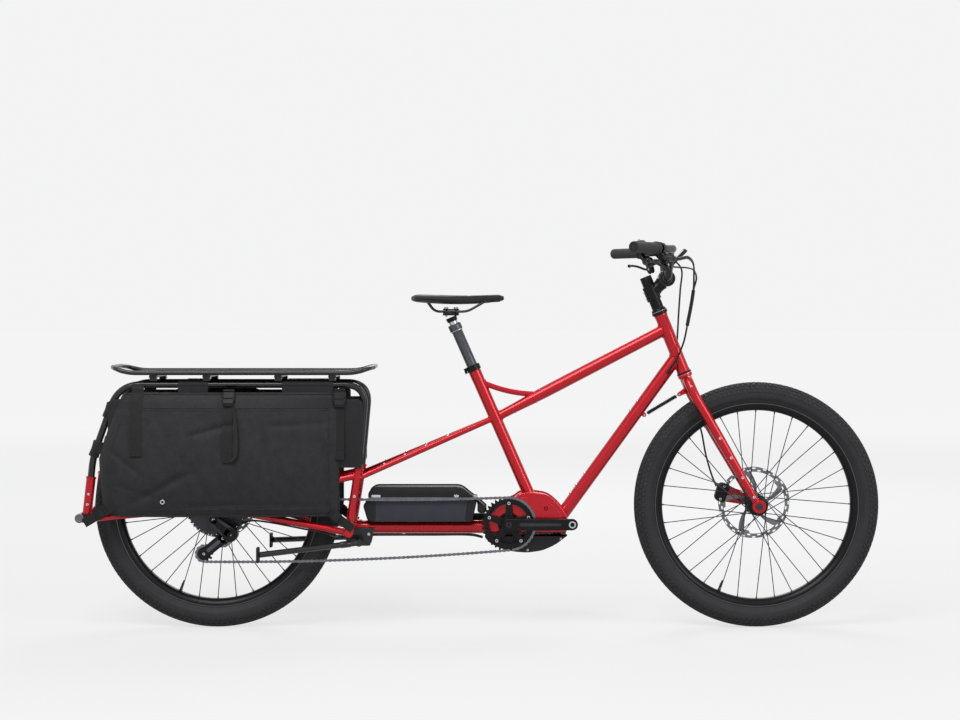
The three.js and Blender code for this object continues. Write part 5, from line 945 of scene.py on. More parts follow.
def drive_pieces():
    """Cranks with their long grooves and pedal eyes, the spider and chainring with bolts, the
    cassette, the chain, the derailleur with its parallelogram, cage and pulleys."""
    for s, name in ((-1, "right"), (1, "left")):
        way = -s
        side = (-80, -66) if s < 0 else (66, 80)
        outline = capsule((CRANK[0], CRANK[2]), (CRANK[0] + way * 175, CRANK[2]), 17, 15.6, 28)
        near = side[0] if s < 0 else side[1]
        groove = capsule((CRANK[0] + way * 34, CRANK[2]), (CRANK[0] + way * 140, CRANK[2]), 4.6, 3.8, 12)
        eye = np.array((CRANK[0] + way * 175, 0, CRANK[2]))
        axis = np.array((CRANK[0], 0, CRANK[2]))
        low, high = side
        parts = [("black_metal", slab(outline, low + 0.2, high - 0.2, 3.4, (0, 0, 0), steps=5)),
                 ("dark_steel", slab(groove, near - 0.15 if s < 0 else near - 0.9,
                                     near + 0.9 if s < 0 else near + 0.15, 0.4, (0, 0, 0))),
                 ("bright_steel_and_cup_highlight", lathe([(66.4, 6.3), (66.4, 10), (79.6, 10), (80, 9.2), (80, 6.3)],
                                        eye, Y * s, 36, closed=True)),
                 ("black_metal", lathe([(79, 14.5), (80, 13.6), (80.1, 11.4), (79.4, 10.8), (79.4, 4),
                                        (78.6, 3.4)], axis, Y * s, 40)),
                 ("dark_steel", lathe([(79.2, 8.2), (80.1, 7.8), (80.1, 4.4), (78.4, 4.0), (78.4, 1)],
                                      axis, Y * s, 12))]
        if s < 0:
            parts.append(("black_metal", lathe([(54, 12), (54, 21), (68, 21), (70, 19), (70, 12)], axis, -Y,
                                               48, closed=True)))
            arms = [slab(capsule((CRANK[0], CRANK[2]),
                                 (CRANK[0] + 57 * np.cos(a), CRANK[2] + 57 * np.sin(a)), 13, 7.6, 12),
                         -59.2, -55.4, 0.9, (0, 0, 0)) for a in np.pi / 2 + TURN / 5 * np.arange(5)]
            parts.append(("black_metal", join(*arms)))
        else:
            parts.append(("dark_steel", lathe([(47.2, 11.9), (47.2, 16), (50, 17.5), (64, 17.5), (66, 16)],
                                              axis, Y, 40)))
        build(f"crank_{name}_dressed", parts, "crank", "black_alloy", f"crank_{name}")
    bolts = [socket_bolt(CRANK - Y * 59.1 + 57 * (np.cos(a) * X + np.sin(a) * Z), -Y, 4.6, 1.8, 2.2)
             for a in np.pi / 2 + TURN / 5 * np.arange(5)]
    build("chainring_dressed", [
        ("black_metal", toothed(36, 2.6, -54, CRANK, 55.0)),
        ("bright_steel_and_cup_highlight", join(*bolts))], "crank", "black_alloy", "chainring")
    teeth = (11, 13, 15, 17, 19, 21, 24, 28, 32, 37, 42)
    rows = []
    for k, count in enumerate(teeth):
        plane = -61.48 + 3.74 * k
        windows = max(0, count // 4) if count > 19 else 0
        rows.append(toothed(count, 1.8, plane, REAR_AXLE, 16.0, windows, 0.55, (2, 3, 4), 6))
    build("cassette_dressed", [
        ("dark_steel", join(*rows)),
        ("black_metal", lathe([(24, 12), (24, 17.5), (60, 17.5), (60, 12)], REAR_AXLE, -Y, 40, closed=True)),
        ("dark_steel", lathe([(61, 9), (61, 15.4), (66.4, 16), (67, 15.4), (67, 10), (65, 9)], REAR_AXLE, -Y, 40,
                             closed=True))],
        "cassette", "bare_steel", "cassette")
    chain_pieces()
    housing = smooth([P(*p) for p in SHIFT_HOUSING], 12)
    link = capsule((0, 308), (45, 268), 12, 20)
    grip = capsule((2, 303), (40, 271), 6.5, 10)
    knuckle = P(45, 268)
    build("derailleur_body_dressed", [
        ("dark_steel", slab(link, -92.4, -86, 1.6)), ("black_metal", slab(grip, -94.3, -92.2, 0.9)),
        ("bright_steel_and_cup_highlight", rod(P(14, 296, -86), P(38, 276, -86), 4.4, 16, 0.8)),
        ("black_metal", lathe([(84.3, 9.5), (84.3, 12), (93, 12), (94.3, 10.8), (94.3, 4), (93, 3.4)],
                              P(0, 308), -Y, 36)),
        ("black_metal", lathe([(61.3, 14), (61.3, 21), (62.4, 22), (90, 22), (92.8, 20.6), (94.3, 17),
                               (94.3, 6.5), (93, 5.8)], knuckle, -Y, 48)),
        ("bright_steel_and_cup_highlight", join(socket_bolt(knuckle - Y * 92.6, -Y, 5.2, 1.6, 2.4),
                              socket_bolt(P(0, 308, -92.6), -Y, 4.6, 1.6, 2.2))),
        ("black_metal", rod(P(60, 282, -84), P(46, 279, -84), 4.4, 20, 0.8)),
        ("hose_black", tube(housing, 2.6, 12))],
        "frame", "black_alloy", "derailleur_body")
    plate = capsule((22, 253.5), (-30.6, 210.5), 15.5, 14.6)
    window = capsule((10, 243.5), (-18, 220.5), 5.4, 5.4, 10)
    arm = capsule((45, 268), (22, 253.5), 12, 13.5)
    cage = [("black_metal", slab(plate, -54 + s * 6.1 - 0.9, -54 + s * 6.1 + 0.9, 0.5)) for s in (1, -1)]
    cage += [("grey_metal_and_rim_highlight", slab(window, -61.6, -60.7, 0.3)),
             ("black_metal", slab(arm, -61, -59.2, 0.5)),
             ("bright_steel_and_cup_highlight", join(*(socket_bolt(P(a, u, -61.0), -Y, 3.9, 1.6, 1.8)
                                     for a, u in ((22, 253.5), (-30.6, 210.5)))))]
    build("derailleur_cage_dressed", cage, "derailleur_cage", "black_alloy", "derailleur_cage")
    for name, a, u in (("guide", 22, 253.5), ("tension", -30.6, 210.5)):
        build(f"{name}_pulley_dressed", [
            ("moulded_black", toothed(11, 3.6, -54, P(a, u), 5.0, 5, 0.5, (2, 3), 10)),
            ("dark_steel", clamp_band(P(a, u, -54), Y, 3.4, 6.4, 5.0, 24))],
            f"{name}_pulley", "black_plastic", f"{name}_pulley")


def swept(outline, low, high, bevel, crown, steps=6):
    """A moulded casing: an outline whose rim turns over a wide bevel on both flanks, then a face
    that stands proud by the crown, as rings that shrink towards the outline's own middle."""
    a = np.linspace(0, np.pi / 2, steps + 1)
    half = (high - low) / 2
    mid = (high + low) / 2
    middle = outline.mean(0)
    rings = []
    for s, c in zip(np.sin(a), np.cos(a)):
        rings.append((inset(outline, bevel * (1 - c)), half - crown - bevel * (1 - s)))
    rim = rings[-1][0]
    for k in (0.9, 0.75, 0.5, 0.25, 0.04):
        rings.append((middle + (rim - middle) * k, half - crown * k**2))
    flat = [(ring, mid - level) for ring, level in rings[::-1]] + [(ring, mid + level) for ring, level in rings]
    grid = np.stack([np.array((REAR_AXLE_X, 0, 0)) + ring[:, :1] * X + ring[:, 1:] * Z + level * Y
                     for ring, level in flat])
    return skin(grid, True, False, True)


def motor_pieces():
    """The motor in its casing and boss, its screwed cover; the battery with end caps, strips and
    lid; and the colours of each."""
    rear, front, low, high = 746, 978.3, 211, 380
    place = lambda shares: np.array([(rear + (front - rear) * a, low + (high - low) * u) for a, u in shares])
    upper = place([(0, .314), (.02, .586), (.155, .793), (.365, .917), (.42, .985), (.56, 1), (.76, .959),
                   (.88, .824), (.955, .7), (1, .555), (1, .314)])
    lower = place([(.992, .279), (.855, .134), (.7, .037), (.52, 0), (.35, .015), (.18, .074), (.06, .164),
                   (.004, .251)])
    whole = np.vstack((place([(0, .33), (.02, .586)]), place([(.155, .793), (.365, .917), (.42, .985), (.56, 1),
                                                               (.76, .959), (.88, .824), (.955, .7),
                                                               (1, .555), (1, .33)])))
    build("motor_shell_dressed", [
        ("candy_red", slab(rounded(whole, 16, 7), -42.8, 42.8, 5.0, steps=6)),
        ("candy_red", slab(rounded(inset(upper, 14), 9, 5), -43, 43, 0.9)),
        ("dark_steel", join(*(socket_bolt(P(917, 334.6, 42.4 * s), Y * s, 6, 0.6, 3.2) for s in (1, -1)))),
        ("dark_steel", join(*(socket_bolt(P(771, 327, 42.4 * s), Y * s, 5, 0.6, 2.4) for s in (1, -1))))],
        "frame", "frame_paint", "motor_shell")
    face = [(30, 43), (31, 45), (31, 45.6), (30.2, 47), (26, 47), (25, 46.2), (20, 46.2), (19, 47), (13.5, 47),
            (13, 46.4), (13, 43)]
    boss = np.array([(-y, r) for r, y in face] + [(y, r) for r, y in face[::-1]])
    build("motor_unit_dressed", [
        ("black_metal", lathe(boss, CRANK, Y, 72, closed=True)),
        ("dark_steel", join(*(clamp_band(CRANK + Y * s * 46.4, Y, 14, 18.4, 1.2, 40) for s in (1, -1))))],
        "frame", "black_plastic", "motor_unit")
    cover = np.vstack((lower, place([(.004, .30), (.992, .30)])))
    ribs = [slab(rounded(inset(cover, k), 8, 5), -42.9 + k * 0.12, 42.9 - k * 0.12, 0.8) for k in (16, 26)]
    build("motor_cover_dressed", [
        ("moulded_black", slab(rounded(cover, 14, 7), -41.8, 41.8, 4.5, steps=6)),
        ("moulded_black", join(*ribs)),
        ("bright_steel_and_cup_highlight", join(*(socket_bolt(P(a, u, -41.6), -Y, 3.2, 1.4, 1.5)
                                for a, u in ((762, 255), (866, 219), (958, 250)))))],
        "frame", "black_plastic", "motor_cover")
    body = np.array([(422, 297.3), (712, 297.3), (726, 358), (422, 358), (408, 344)])
    cap_rear = np.array([(422, 297.3), (447, 297.3), (447, 358), (422, 358), (408, 344)])
    cap_front = np.array([(690, 297.3), (712, 297.3), (726, 358), (696, 358)])
    build("battery_dressed", [
        ("battery_grey", slab(rounded(body, 15, 7), -44.6, 44.6, 4.0, steps=5)),
        ("moulded_black", slab(rounded(cap_rear, 13, 7), -45, 45, 4.0, steps=5)),
        ("moulded_black", slab(rounded(cap_front, 9, 7), -45, 45, 3.0, steps=5)),
        ("battery_grey", slab(rounded(np.array([(456, 305), (682, 305), (690, 346), (456, 346)]), 8), -45, 45,
                              0.8))],
        "frame", "grey_plastic", "battery")
    lid = np.array([(423, 358.3), (726.3, 358.3), (726.3, 321.4), (748.8, 321.4), (754, 337), (682, 395),
                    (441.2, 395), (423, 381)])
    lip = np.array([(424, 358.5), (726, 358.5), (726, 366), (424, 366)])
    build("battery_lid_dressed", [
        ("moulded_black", slab(rounded(lid, 14, 7), -44.8, 44.8, 4.0, steps=6)),
        ("moulded_grey", slab(rounded(lip, 2.5), -45, 45, 1.4)),
        ("moulded_black", slab(rounded(np.array([(460, 372), (664, 372), (656, 388), (460, 388)]), 5), -45, 45,
                               0.8)),
        ("bright_steel_and_cup_highlight", join(*(block(P(a, 368.5, 45.0 * s), (size, 7, 0.7), X, Z, Y * s, 0.25, 1.4)
                                for a, size in ((445, 25), (668, 13)) for s in (1, -1))))],
        "frame", "black_plastic", "battery_lid")


def cushion_grid(along, around):
    """The saddle's shell: a long section that swells from a narrow nose to a wide tail. At share t
    along it the half width is the blend of tail and nose widths times end curves; the top follows
    a shallow sine dip and the skirt a deeper one; round it the section is a flattened ellipse."""
    t = np.linspace(0, 1, along)[:, None]
    a = np.linspace(0, TURN, around, endpoint=False)[None]
    k = np.clip((t - 0.12) / 0.5, 0, 1)
    blend_width = k * k * (3 - 2 * k)
    ends = np.minimum(1, np.minimum(np.sqrt(14 * t + 0.12), np.sqrt(16 * (1 - t) + 0.12)))
    open_ends = np.sqrt(np.sin(np.pi * np.minimum(1, 0.04 + 0.92 * t))**0.35)
    half = (142 + (36 - 142) * blend_width) / 2 * ends * open_ends
    crown = 929 - 27 * (0.09 * np.sin(np.pi * t)**2 + 0.34 * (1 - ends))
    base = 929 - 27 * (0.72 + 0.28 * np.sin(np.pi * t))
    sine, cosine = np.sin(a), np.cos(a)
    across = np.sign(sine) * np.abs(sine)**0.7
    rise = np.where(cosine > 0, np.abs(cosine)**0.8, -np.abs(cosine)**0.5)
    tuck = np.where(cosine < 0, 5 * np.abs(cosine)**0.5 * half / 71, 0)
    side = across * (half - tuck)
    middle, tall = (crown + base) / 2, (crown - base) / 2
    up = middle + rise * tall - 1.6 * np.exp(-(side / 7.5)**2) * (rise > 0) * np.sin(np.pi * t)**0.5
    ahead = 538.7 + (803.3 - 538.7) * t + 0 * a
    return np.stack((REAR_AXLE_X + ahead, side + 0 * ahead, up + 0 * ahead), -1)


def saddle_cushion():
    """The padded saddle: its shell is copied, voxel remeshed, blown up a little by the cloth solver
    with gravity off, no point moving more than the cap, then subdivided once."""
    points, faces = skin(cushion_grid(90, 56), True, False, True)
    piece = build("saddle_cushion", [("saddle_cover", (points, faces))], None, "saddle_skin", "saddle")
    shrink = np.array([v.co[:] for v in piece.data.vertices])
    middle = shrink.mean(0)
    piece.data.vertices.foreach_set("co", (middle + (shrink - middle) * (0.992, 0.975, 0.93)).ravel())
    remesh = piece.modifiers.new("even", "REMESH")
    remesh.mode, remesh.voxel_size = "VOXEL", 0.0045
    context = {"object": piece, "active_object": piece, "selected_editable_objects": [piece]}
    with bpy.context.temp_override(**context):
        bpy.ops.object.modifier_apply(modifier="even")
    rest = np.array([v.co[:] for v in piece.data.vertices])
    cloth = piece.modifiers.new("padding", "CLOTH")
    cloth.settings.use_pressure = True
    cloth.settings.uniform_pressure_force = 4
    cloth.settings.effector_weights.gravity = 0
    cloth.settings.quality = 5
    for step in range(1, 21):
        bpy.context.scene.frame_set(step)
    with bpy.context.temp_override(**context):
        bpy.ops.object.modifier_apply(modifier="padding")
    bpy.context.scene.frame_set(1)
    moved = np.array([v.co[:] for v in piece.data.vertices])
    shift = moved - rest
    size = np.linalg.norm(shift, axis=1, keepdims=True)
    cap = 0.0016
    rest = rest + shift * np.minimum(1, cap / np.maximum(size, 1e-9))
    piece.data.vertices.foreach_set("co", rest.ravel())
    split = piece.modifiers.new("smoother", "SUBSURF")
    split.levels = split.render_levels = 1
    with bpy.context.temp_override(**context):
        bpy.ops.object.modifier_apply(modifier="smoother")
    piece.data.shade_smooth()
    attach(piece, "seat")
    return piece


def seat_pieces():
    """The telescopic post, its polished stanchion and clamp, the saddle's rails, base, cushion and
    the piping that runs round its edge."""
    post = [(-190, 12.6), (-190, 15), (0, 15), (119, 15), (120.5, 16), (122, 18), (124, 18.5), (139, 18.5),
            (141, 18), (142, 17), (142, 12.6)]
    build("seatpost_outer_dressed", [
        ("grey_metal_and_rim_highlight", lathe(post, SEAT_TOP, SEAT_UP, 56, closed=True)),
        ("bright_steel_and_cup_highlight", clamp_band(on_seat_tube(122.5), SEAT_UP, 16, 18.7, 1.6))],
        "frame", "black_alloy", "seatpost_outer")
    clamp = on_seat_tube(162)
    c = clamp[0] - REAR_AXLE_X
    parts = [("bright_steel_and_cup_highlight", lathe([(12, 2), (12, 12.5), (160, 12.5), (162, 12.2), (162, 2)], SEAT_TOP,
                                    SEAT_UP, 56)),
             ("black_metal", lathe([(150, 12.5), (151, 14.5), (158, 15.5), (163, 16), (163, 4)], SEAT_TOP,
                                   SEAT_UP, 48)),
             ("black_metal", block(P(c, 873.7), (46, 60, 7), X, Y, Z, 2.0, 7)),
             ("black_metal", block(P(c, 878.6), (30, 56, 4), X, Y, Z, 1.2, 5)),
             ("black_metal", block(P(c, 886.6), (46, 30, 3.5), X, Y, Z, 1.2, 5)),
             ("bright_steel_and_cup_highlight", join(*(rod(P(c + d, 866), P(c + d, 893), 3.4, 20, 0.6) for d in (-13.8, 13.8)))),
             ("bright_steel_and_cup_highlight", join(*(lathe([(-3, 6.2), (2, 6.6), (3, 5.6), (3, 2)], P(c + d, 890.5), Z, 6)
                                     for d in (-13.8, 13.8))))]
    rails = [tube(bend([P(c - 69, 912.8, 22 * s), P(c - 46, 881, 22 * s), P(c + 46, 881, 22 * s),
                        P(c + 101.2, 912.8, 11 * s)], (16, 16), 10), 3.5, 16) for s in two_sides()]
    parts.append(("dark_steel", join(*rails)))
    grid = cushion_grid(60, 48)
    centre = grid.mean((1,), keepdims=True)
    under = centre + (grid - centre) * (1, 0.9, 0.5) - Z * 5.0
    parts.append(("moulded_black", skin(under[3:-3], True, False, True)))
    build("seatpost_inner_dressed", parts, "seat", "black_alloy", "seatpost_inner")
    cushion = saddle_cushion()
    full = cushion_grid(120, 64)
    edge = np.vstack((full[3:-3, 17], full[-4:2:-1, 47]))
    edge = edge - Z * 1.0
    seam = full[4:-4, 10] + Z * 0.1, full[4:-4, 54] + Z * 0.1
    trim = build("saddle_piping", [("moulded_black", tube(edge[::2], 1.3, 8, closed=True)),
                                   ("thread_grey", join(*(tube(s[::2], 0.55, 6) for s in seam)))],
                 "seat", "saddle_skin")
    return cushion, trim


BAR_CENTRE = P(1255.3, 973.6)


def bar_point(side, up, ahead=0.0):
    """A point of the handlebar from its centre."""
    return BAR_CENTRE + Y * side + Z * up + X * ahead


class BarEnd:
    """The directions at one end of the handlebar: out along the grip, down the lever's drop, and
    across both."""

    def __init__(self, side, start=0.0):
        sweep, tilt = np.radians(33), np.radians(75)
        self.side = side
        self.out = np.array((-np.sin(sweep), side * np.cos(sweep), 0.0))
        self.drop = np.array((np.cos(sweep) * np.cos(tilt), side * np.sin(sweep) * np.cos(tilt),
                              -np.sin(tilt)))
        self.across = np.cross(self.out, self.drop)
        self.origin = bar_point(188 * side, 78) + self.out * start

    def at(self, along, drop=0.0, across=0.0):
        """A point from its distances in the three directions."""
        return self.origin + self.out * along + self.drop * drop + self.across * across


def cockpit_pieces():
    """Stem, bar, grips, clamps with brake cylinders, levers, switch pods and display."""
    stem_back = S(657)
    neck = unit(BAR_CENTRE - stem_back)
    build("stem_dressed", [
        ("black_metal", lathe([(636, 14.6), (636, 19.6), (637, 20.5), (677, 20.5), (678, 19.6), (678, 14.6)],
                              STEER_FOOT, STEER_UP, 56, closed=True)),
        ("black_metal", tube(line(stem_back + neck * 8, BAR_CENTRE - neck * 18, 5),
                             np.array((19.5, 18.4, 17.2, 17.6, 20)), 48)),
        ("black_metal", clamp_band(BAR_CENTRE, Y, 15.95, 23, 46, 64)),
        ("grey_metal_and_rim_highlight", join(*(clamp_band(BAR_CENTRE + Y * s * 24.2, Y, 15.95, 22.2, 1.4, 64)
                              for s in (1, -1)))),
        ("bright_steel_and_cup_highlight", join(*(socket_bolt(BAR_CENTRE + Y * s * 16 + Z * d + neck * 19, neck, 3.6, 3, 1.7)
                                for s in (1, -1) for d in (-16, 16)))),
        ("bright_steel_and_cup_highlight", join(*(socket_bolt(S(k, -20.2, 0), -STEER_AHEAD, 3.4, 2, 1.6)
                                for k in (647, 667))))],
        "steering", "black_alloy", "stem")
    half = [bar_point(0, 0), bar_point(46, 0), bar_point(124, 78), bar_point(188, 78),
            bar_point(375, 78, -121.4)]
    right = [p * (1, -1, 1) for p in half[:0:-1]]
    path = bend(right + half, (16, 16, 16, 0, 16, 16, 16), 12)
    build("handlebar_dressed", [
        ("satin_black", tube(path, 11.1, 40)),
        ("satin_black", lathe([(-44, 11.1), (-39, 15.2), (-36, 15.9), (36, 15.9), (39, 15.2), (44, 11.1)],
                              BAR_CENTRE, Y, 48))],
        "steering", "black_alloy", "handlebar")
    start, end = 92.97, 222.97
    for s, name in ((1, "left"), (-1, "right")):
        g = BarEnd(s)
        k = np.arange(26)
        ribs = np.stack((start + 9 + k * 4.25, np.where(k % 2, 15.0, 14.2)), 1)
        profile = np.vstack(((start, 11.2), (start, 16.8), (start + 1, 17.5), (start + 7, 17.5), (start + 8, 15.2),
                             ribs, (end - 2, 14.8), (end - 0.8, 14.2), (end - 0.8, 11.2)))
        build(f"grip_{name}_dressed", [
            ("grip_rubber", lathe(profile, g.origin, g.out, 56, closed=True)),
            ("moulded_black", lathe([(end - 3, 12.6), (end - 0.7, 12.9), (end, 12.1), (end, 5), (end - 1, 4)],
                                    g.origin, g.out, 40))],
            "steering", "grip_rubber", f"grip_{name}")
        e = BarEnd(s, -0.03)
        cylinder = [(10, 6.5), (11, 9), (22, 9), (23, 8.2), (30, 8.2), (31, 9), (80, 9), (84, 8), (86, 5.5)]
        neck_ring = lathe([(68, 11.15), (68, 15.7), (69, 16.5), (80, 16.5), (81, 15.7), (81, 11.15)], e.origin,
                          e.out, 48, closed=True)
        clevis = [slab(capsule((26, 0), (53, 0), 10, 10), low, high, 1.2, e.at(62), e.drop, e.out, e.across)
                  for low, high in ((-7, -3.4), (3.4, 7))]
        web = slab(np.array([(10, -13), (32, -11), (32, 11), (10, 13)]), -6.6, 6.6, 1.6, e.at(74.5), e.drop,
                   e.out, e.across)
        cap = slab(capsule((0, -16), (0, 16), 9, 8), 7.0, 8.6, 0.8, e.at(48, 28), e.drop, e.out, e.across)
        parts = [("black_metal", neck_ring), ("black_metal", lathe(cylinder, e.at(0, 28), e.out, 40)),
                 ("black_metal", join(*clevis, web)), ("moulded_black", cap),
                 ("bright_steel_and_cup_highlight", join(socket_bolt(e.at(62, 48, 6.6), e.across, 3.4, 1.4, 1.6),
                                       socket_bolt(e.at(62, 48, -6.6), -e.across, 3.4, 1.4, 1.6),
                                       socket_bolt(e.at(72, -15.4, 0), -e.drop, 3.0, 1.8, 1.4)))]
        pod_low, pod_high = 6, 20
        parts.append(("moulded_black", lathe([(pod_low, 11), (pod_low, 14.2), (pod_low + 1, 15),
                                              (pod_high - 1, 15), (pod_high, 14.2), (pod_high, 5)],
                                             e.at(44, 26), e.across * s, 40)))
        build(f"lever_clamp_{name}_dressed", parts, "steering", "black_alloy", f"lever_clamp_{name}")
        lever = smooth([e.at(62, 48), e.at(74, 50.5), e.at(92, 48.5), e.at(118, 41.5), e.at(144, 38.0),
                        e.at(160, 38.6)], 10)
        slim = tube(lever, np.interp(np.linspace(0, 1, len(lever)), (0, 0.25, 1), (4.2, 3.8, 3.4)), 20)
        build(f"brake_lever_{name}_dressed", [
            ("black_metal", slim),
            ("black_metal", lathe([(-3.2, 2), (-3.2, 6.4), (3.2, 6.4), (3.2, 2)], e.at(62, 48), e.across, 32)),
            ("black_metal", lathe([(-5, 2.0), (-4.4, 3.6), (-2, 5), (1.5, 5.3), (4, 4), (5.2, 2), (5.5, 0.6)],
                                  e.at(160, 38.4), e.out, 28))],
            f"brake_lever_{name}", "black_alloy", f"brake_lever_{name}")
    display = bar_point(0, 58.8, 32.4)
    tilt = np.radians(45)
    face_up = np.array((-np.sin(tilt), 0, np.cos(tilt)))
    face_ahead = np.array((np.cos(tilt), 0, np.sin(tilt)))
    arm_pieces = []
    for s in two_sides():
        ring = bar_point(34 * s, 0)
        arm_pieces += [clamp_band(ring, Y, 16, 20.6, 6, 48),
                       rod(ring + unit(display - BAR_CENTRE) * 18, display + Y * 31 * s - face_ahead * 24, 4, 20)]
    build("display_dressed", [
        ("moulded_black", block(display, (60, 67, 10), face_ahead, Y, face_up, 2.2, 7)),
        ("glass_black", block(display + face_up * 4.9, (50, 57, 0.6), face_ahead, Y, face_up, 0.2, 4)),
        ("moulded_black", join(*arm_pieces))], "steering", "black_plastic", "display")


def bell_and_paddles():
    """The bell's ring and turned dome with its nut, and the two thumb paddles on their pods."""
    g = BarEnd(1, -0.03)
    middle = g.at(87.5)
    away = -g.drop
    dome = [(20.4, 4), (21, 19.4), (21, 20.5), (22.4, 20.5), (24, 20.1), (29, 19.2), (34, 16.6), (37.6, 12.8),
            (39.4, 8.4), (40, 4.6), (40, 4.2), (41, 3.6), (41, 1)]
    build("bell_dressed", [
        ("black_metal", clamp_band(middle, g.out, 11.15, 15.5, 10, 48)),
        ("black_metal", lathe([(14, 6), (22, 6), (22, 1)], middle, away, 24)),
        ("satin_black", lathe(dome, middle, away, 56))],
        "steering", "black_alloy", "bell")
    for s, name in ((1, "dropper"), (-1, "shift")):
        e = BarEnd(s, -0.03)
        lean = np.radians(-35)
        reach = np.array((np.cos(lean), np.sin(lean)))
        outline = np.array([(0, -4.0), (14, -3.6), (30, -4.4), (40, -4.4), (42.5, -1), (42, 3.4), (38, 4.6),
                            (26, 4.4), (12, 3.8), (0, 4.2)])
        turned = np.stack((outline[:, 0] * reach[0] - outline[:, 1] * reach[1],
                           outline[:, 0] * reach[1] + outline[:, 1] * reach[0]), 1)
        low, high = sorted((20.3 * s, 23.9 * s))
        build(f"{name}_lever_dressed", [
            ("moulded_black", slab(rounded(turned, 2.0, 4), low, high, 0.9, e.at(44, 26), e.out, e.drop,
                                   e.across)),
            ("dark_steel", lathe([(20.3, 3), (20.3, 7.6), (23.4, 8), (24.4, 7), (24.4, 3.4), (23.8, 3), (23.8, 1)],
                                 e.at(44, 26), e.across * s, 32))],
            f"{name}_lever", "black_plastic", f"{name}_lever")


FRONT_HOSE = [(1402, 388, 50), (1391, 412, 54), (1374, 474, 70), (1362, 540, 78), (1344, 600, 78),
              (1318, 653, 68), (1298, 702, 56), (1291, 772, 54), (1295, 857, 64), (1303, 942, 88),
              (1310, 1000, 120), (1294, 1024, 147)]
REAR_HOSE = [(741, 250, 10), (712, 256.5, 12), (600, 257.6, 14), (450, 257.6, 16), (398, 257.2, 17),
             (368, 254.5, 17), (346, 254.5, 19), (330, 261, 50), (308, 274, 68), (240, 288, 70),
             (160, 312, 70), (110, 338, 69), (82, 372, 66), (68, 398, 63)]
SHIFT_HOUSING = [(741, 250, -10), (712, 256.5, -12), (600, 257.6, -14), (450, 257.6, -16),
                 (398, 257.2, -17), (368, 254.5, -17), (346, 254.5, -19), (328, 260, -56), (310, 270, -82),
                 (240, 284, -84), (150, 301, -84), (104, 305, -85), (76, 296, -86), (60, 282, -84)]
RIGHT_CABLE = [(1302, 1029, -130), (1322, 1012, -82), (1327, 979, -48), (1327, 941, -36),
               (1321, 899, -33), (1313, 857, -32), (1302, 802, -31), (1290, 768, -30), (1277, 741, -27),
               (1258, 713, -14)]
LEFT_CABLE = [(1268, 1014, 160), (1292, 1008, 125), (1320, 1005, 70), (1334, 996, 12), (1336, 972, -28),
              (1329, 948, -36), (1325, 930, -35)]


def hose_end(side, along, drop, across=0.0):
    """The last two points of a hose that runs straight into a bar end's part from inboard."""
    e = BarEnd(side, -0.03)
    return [e.at(along - 30.3, drop, across), e.at(along - 0.3, drop, across)]


def hose_pieces():
    """Calipers with their hoses, and the cables from the bar into the down tube, which stay where they are built, on
    no body."""
    front = smooth([P(*p) for p in FRONT_HOSE] + hose_end(1, 10, 28), 14)
    rear = smooth([P(*p) for p in REAR_HOSE], 14)
    collar = lambda path, at: tube(np.vstack((path[at], path[at] + unit(path[at + 1] - path[at]) * 13)),
                                   np.array((3.9, 3.4)), 16)
    build("front_caliper_dressed", caliper_shell(FRONT_AXLE, 162, 43.4 - 1.0) + [
        ("hose_black", tube(front, 2.6, 14)), ("dark_steel", collar(front, 0))],
        "steering", "black_alloy", "front_caliper")
    build("rear_caliper_dressed", caliper_shell(REAR_AXLE, 55, 59.4 - 1.0) + [
        ("hose_black", tube(rear, 2.6, 14))],
        "frame", "black_alloy", "rear_caliper")
    right = smooth(hose_end(-1, 10, 28)[::-1] + [P(*p) for p in RIGHT_CABLE], 14)
    left = smooth(hose_end(1, 29, 26, 13)[::-1] + [P(*p) for p in LEFT_CABLE], 14)
    tangent = unit(np.gradient(right, axis=0))
    off = unit(np.cross(tangent, X))
    strands = [tube(right + off * k, 2.35, 12) for k in (-2.4, 2.4)]
    sleeve = tube(right[70:104:4], np.array((4.9,) + (5.0,) * 7 + (4.9,))[:len(right[70:104:4])], 20)
    grommet = rod(P(1258, 713, -14) + (3.5, 0, 5), P(1258, 713, -14) - (3.5, 0, 5), 6.0, 20, 1.2)
    cables = build("control_cables_dressed", [
        ("hose_black", join(*strands)), ("hose_black", tube(left, 2.6, 14)), ("moulded_black", sleeve),
        ("moulded_black", grommet)], None, "black_plastic", "control_cables")
    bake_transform(cables)
    low, high = P(1193.5, 591.5), P(1291, 649.4)
    way = unit(high - low)
    span = np.linalg.norm(high - low)
    first, second = square_to(way)
    turns = 26
    t = np.linspace(0, 1, turns * 18)
    coil = (low + (11 + (span - 22) * t)[:, None] * way
            + 5.0 * (np.cos(TURN * turns * t)[:, None] * first + np.sin(TURN * turns * t)[:, None] * second))
    hooks = [tube(smooth([low + way * 12 + first * 5, low + way * 9, low + way * 6.5 + Z * 2.6, low + Z * 3.4 -
                          way * 1.5, low - way * 3.6, low - Z * 3.0], 8), 1.3, 8),
             tube(smooth([high - way * 12 + first * 5, high - way * 9, high - way * 6.5 + Z * 2.6, high + Z * 3.4
                          + way * 1.5, high + way * 3.6, high - Z * 3.0], 8), 1.3, 8)]
    core = rod(low + way * 10, high - way * 10, 3.6, 16)
    spring = build("steering_spring_dressed", [
        ("black_metal", tube(coil, 1.0, 8)), ("moulded_black", core), ("bright_steel_and_cup_highlight", join(*hooks))],
        None, "black_alloy", "stabiliser_spring")
    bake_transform(spring)


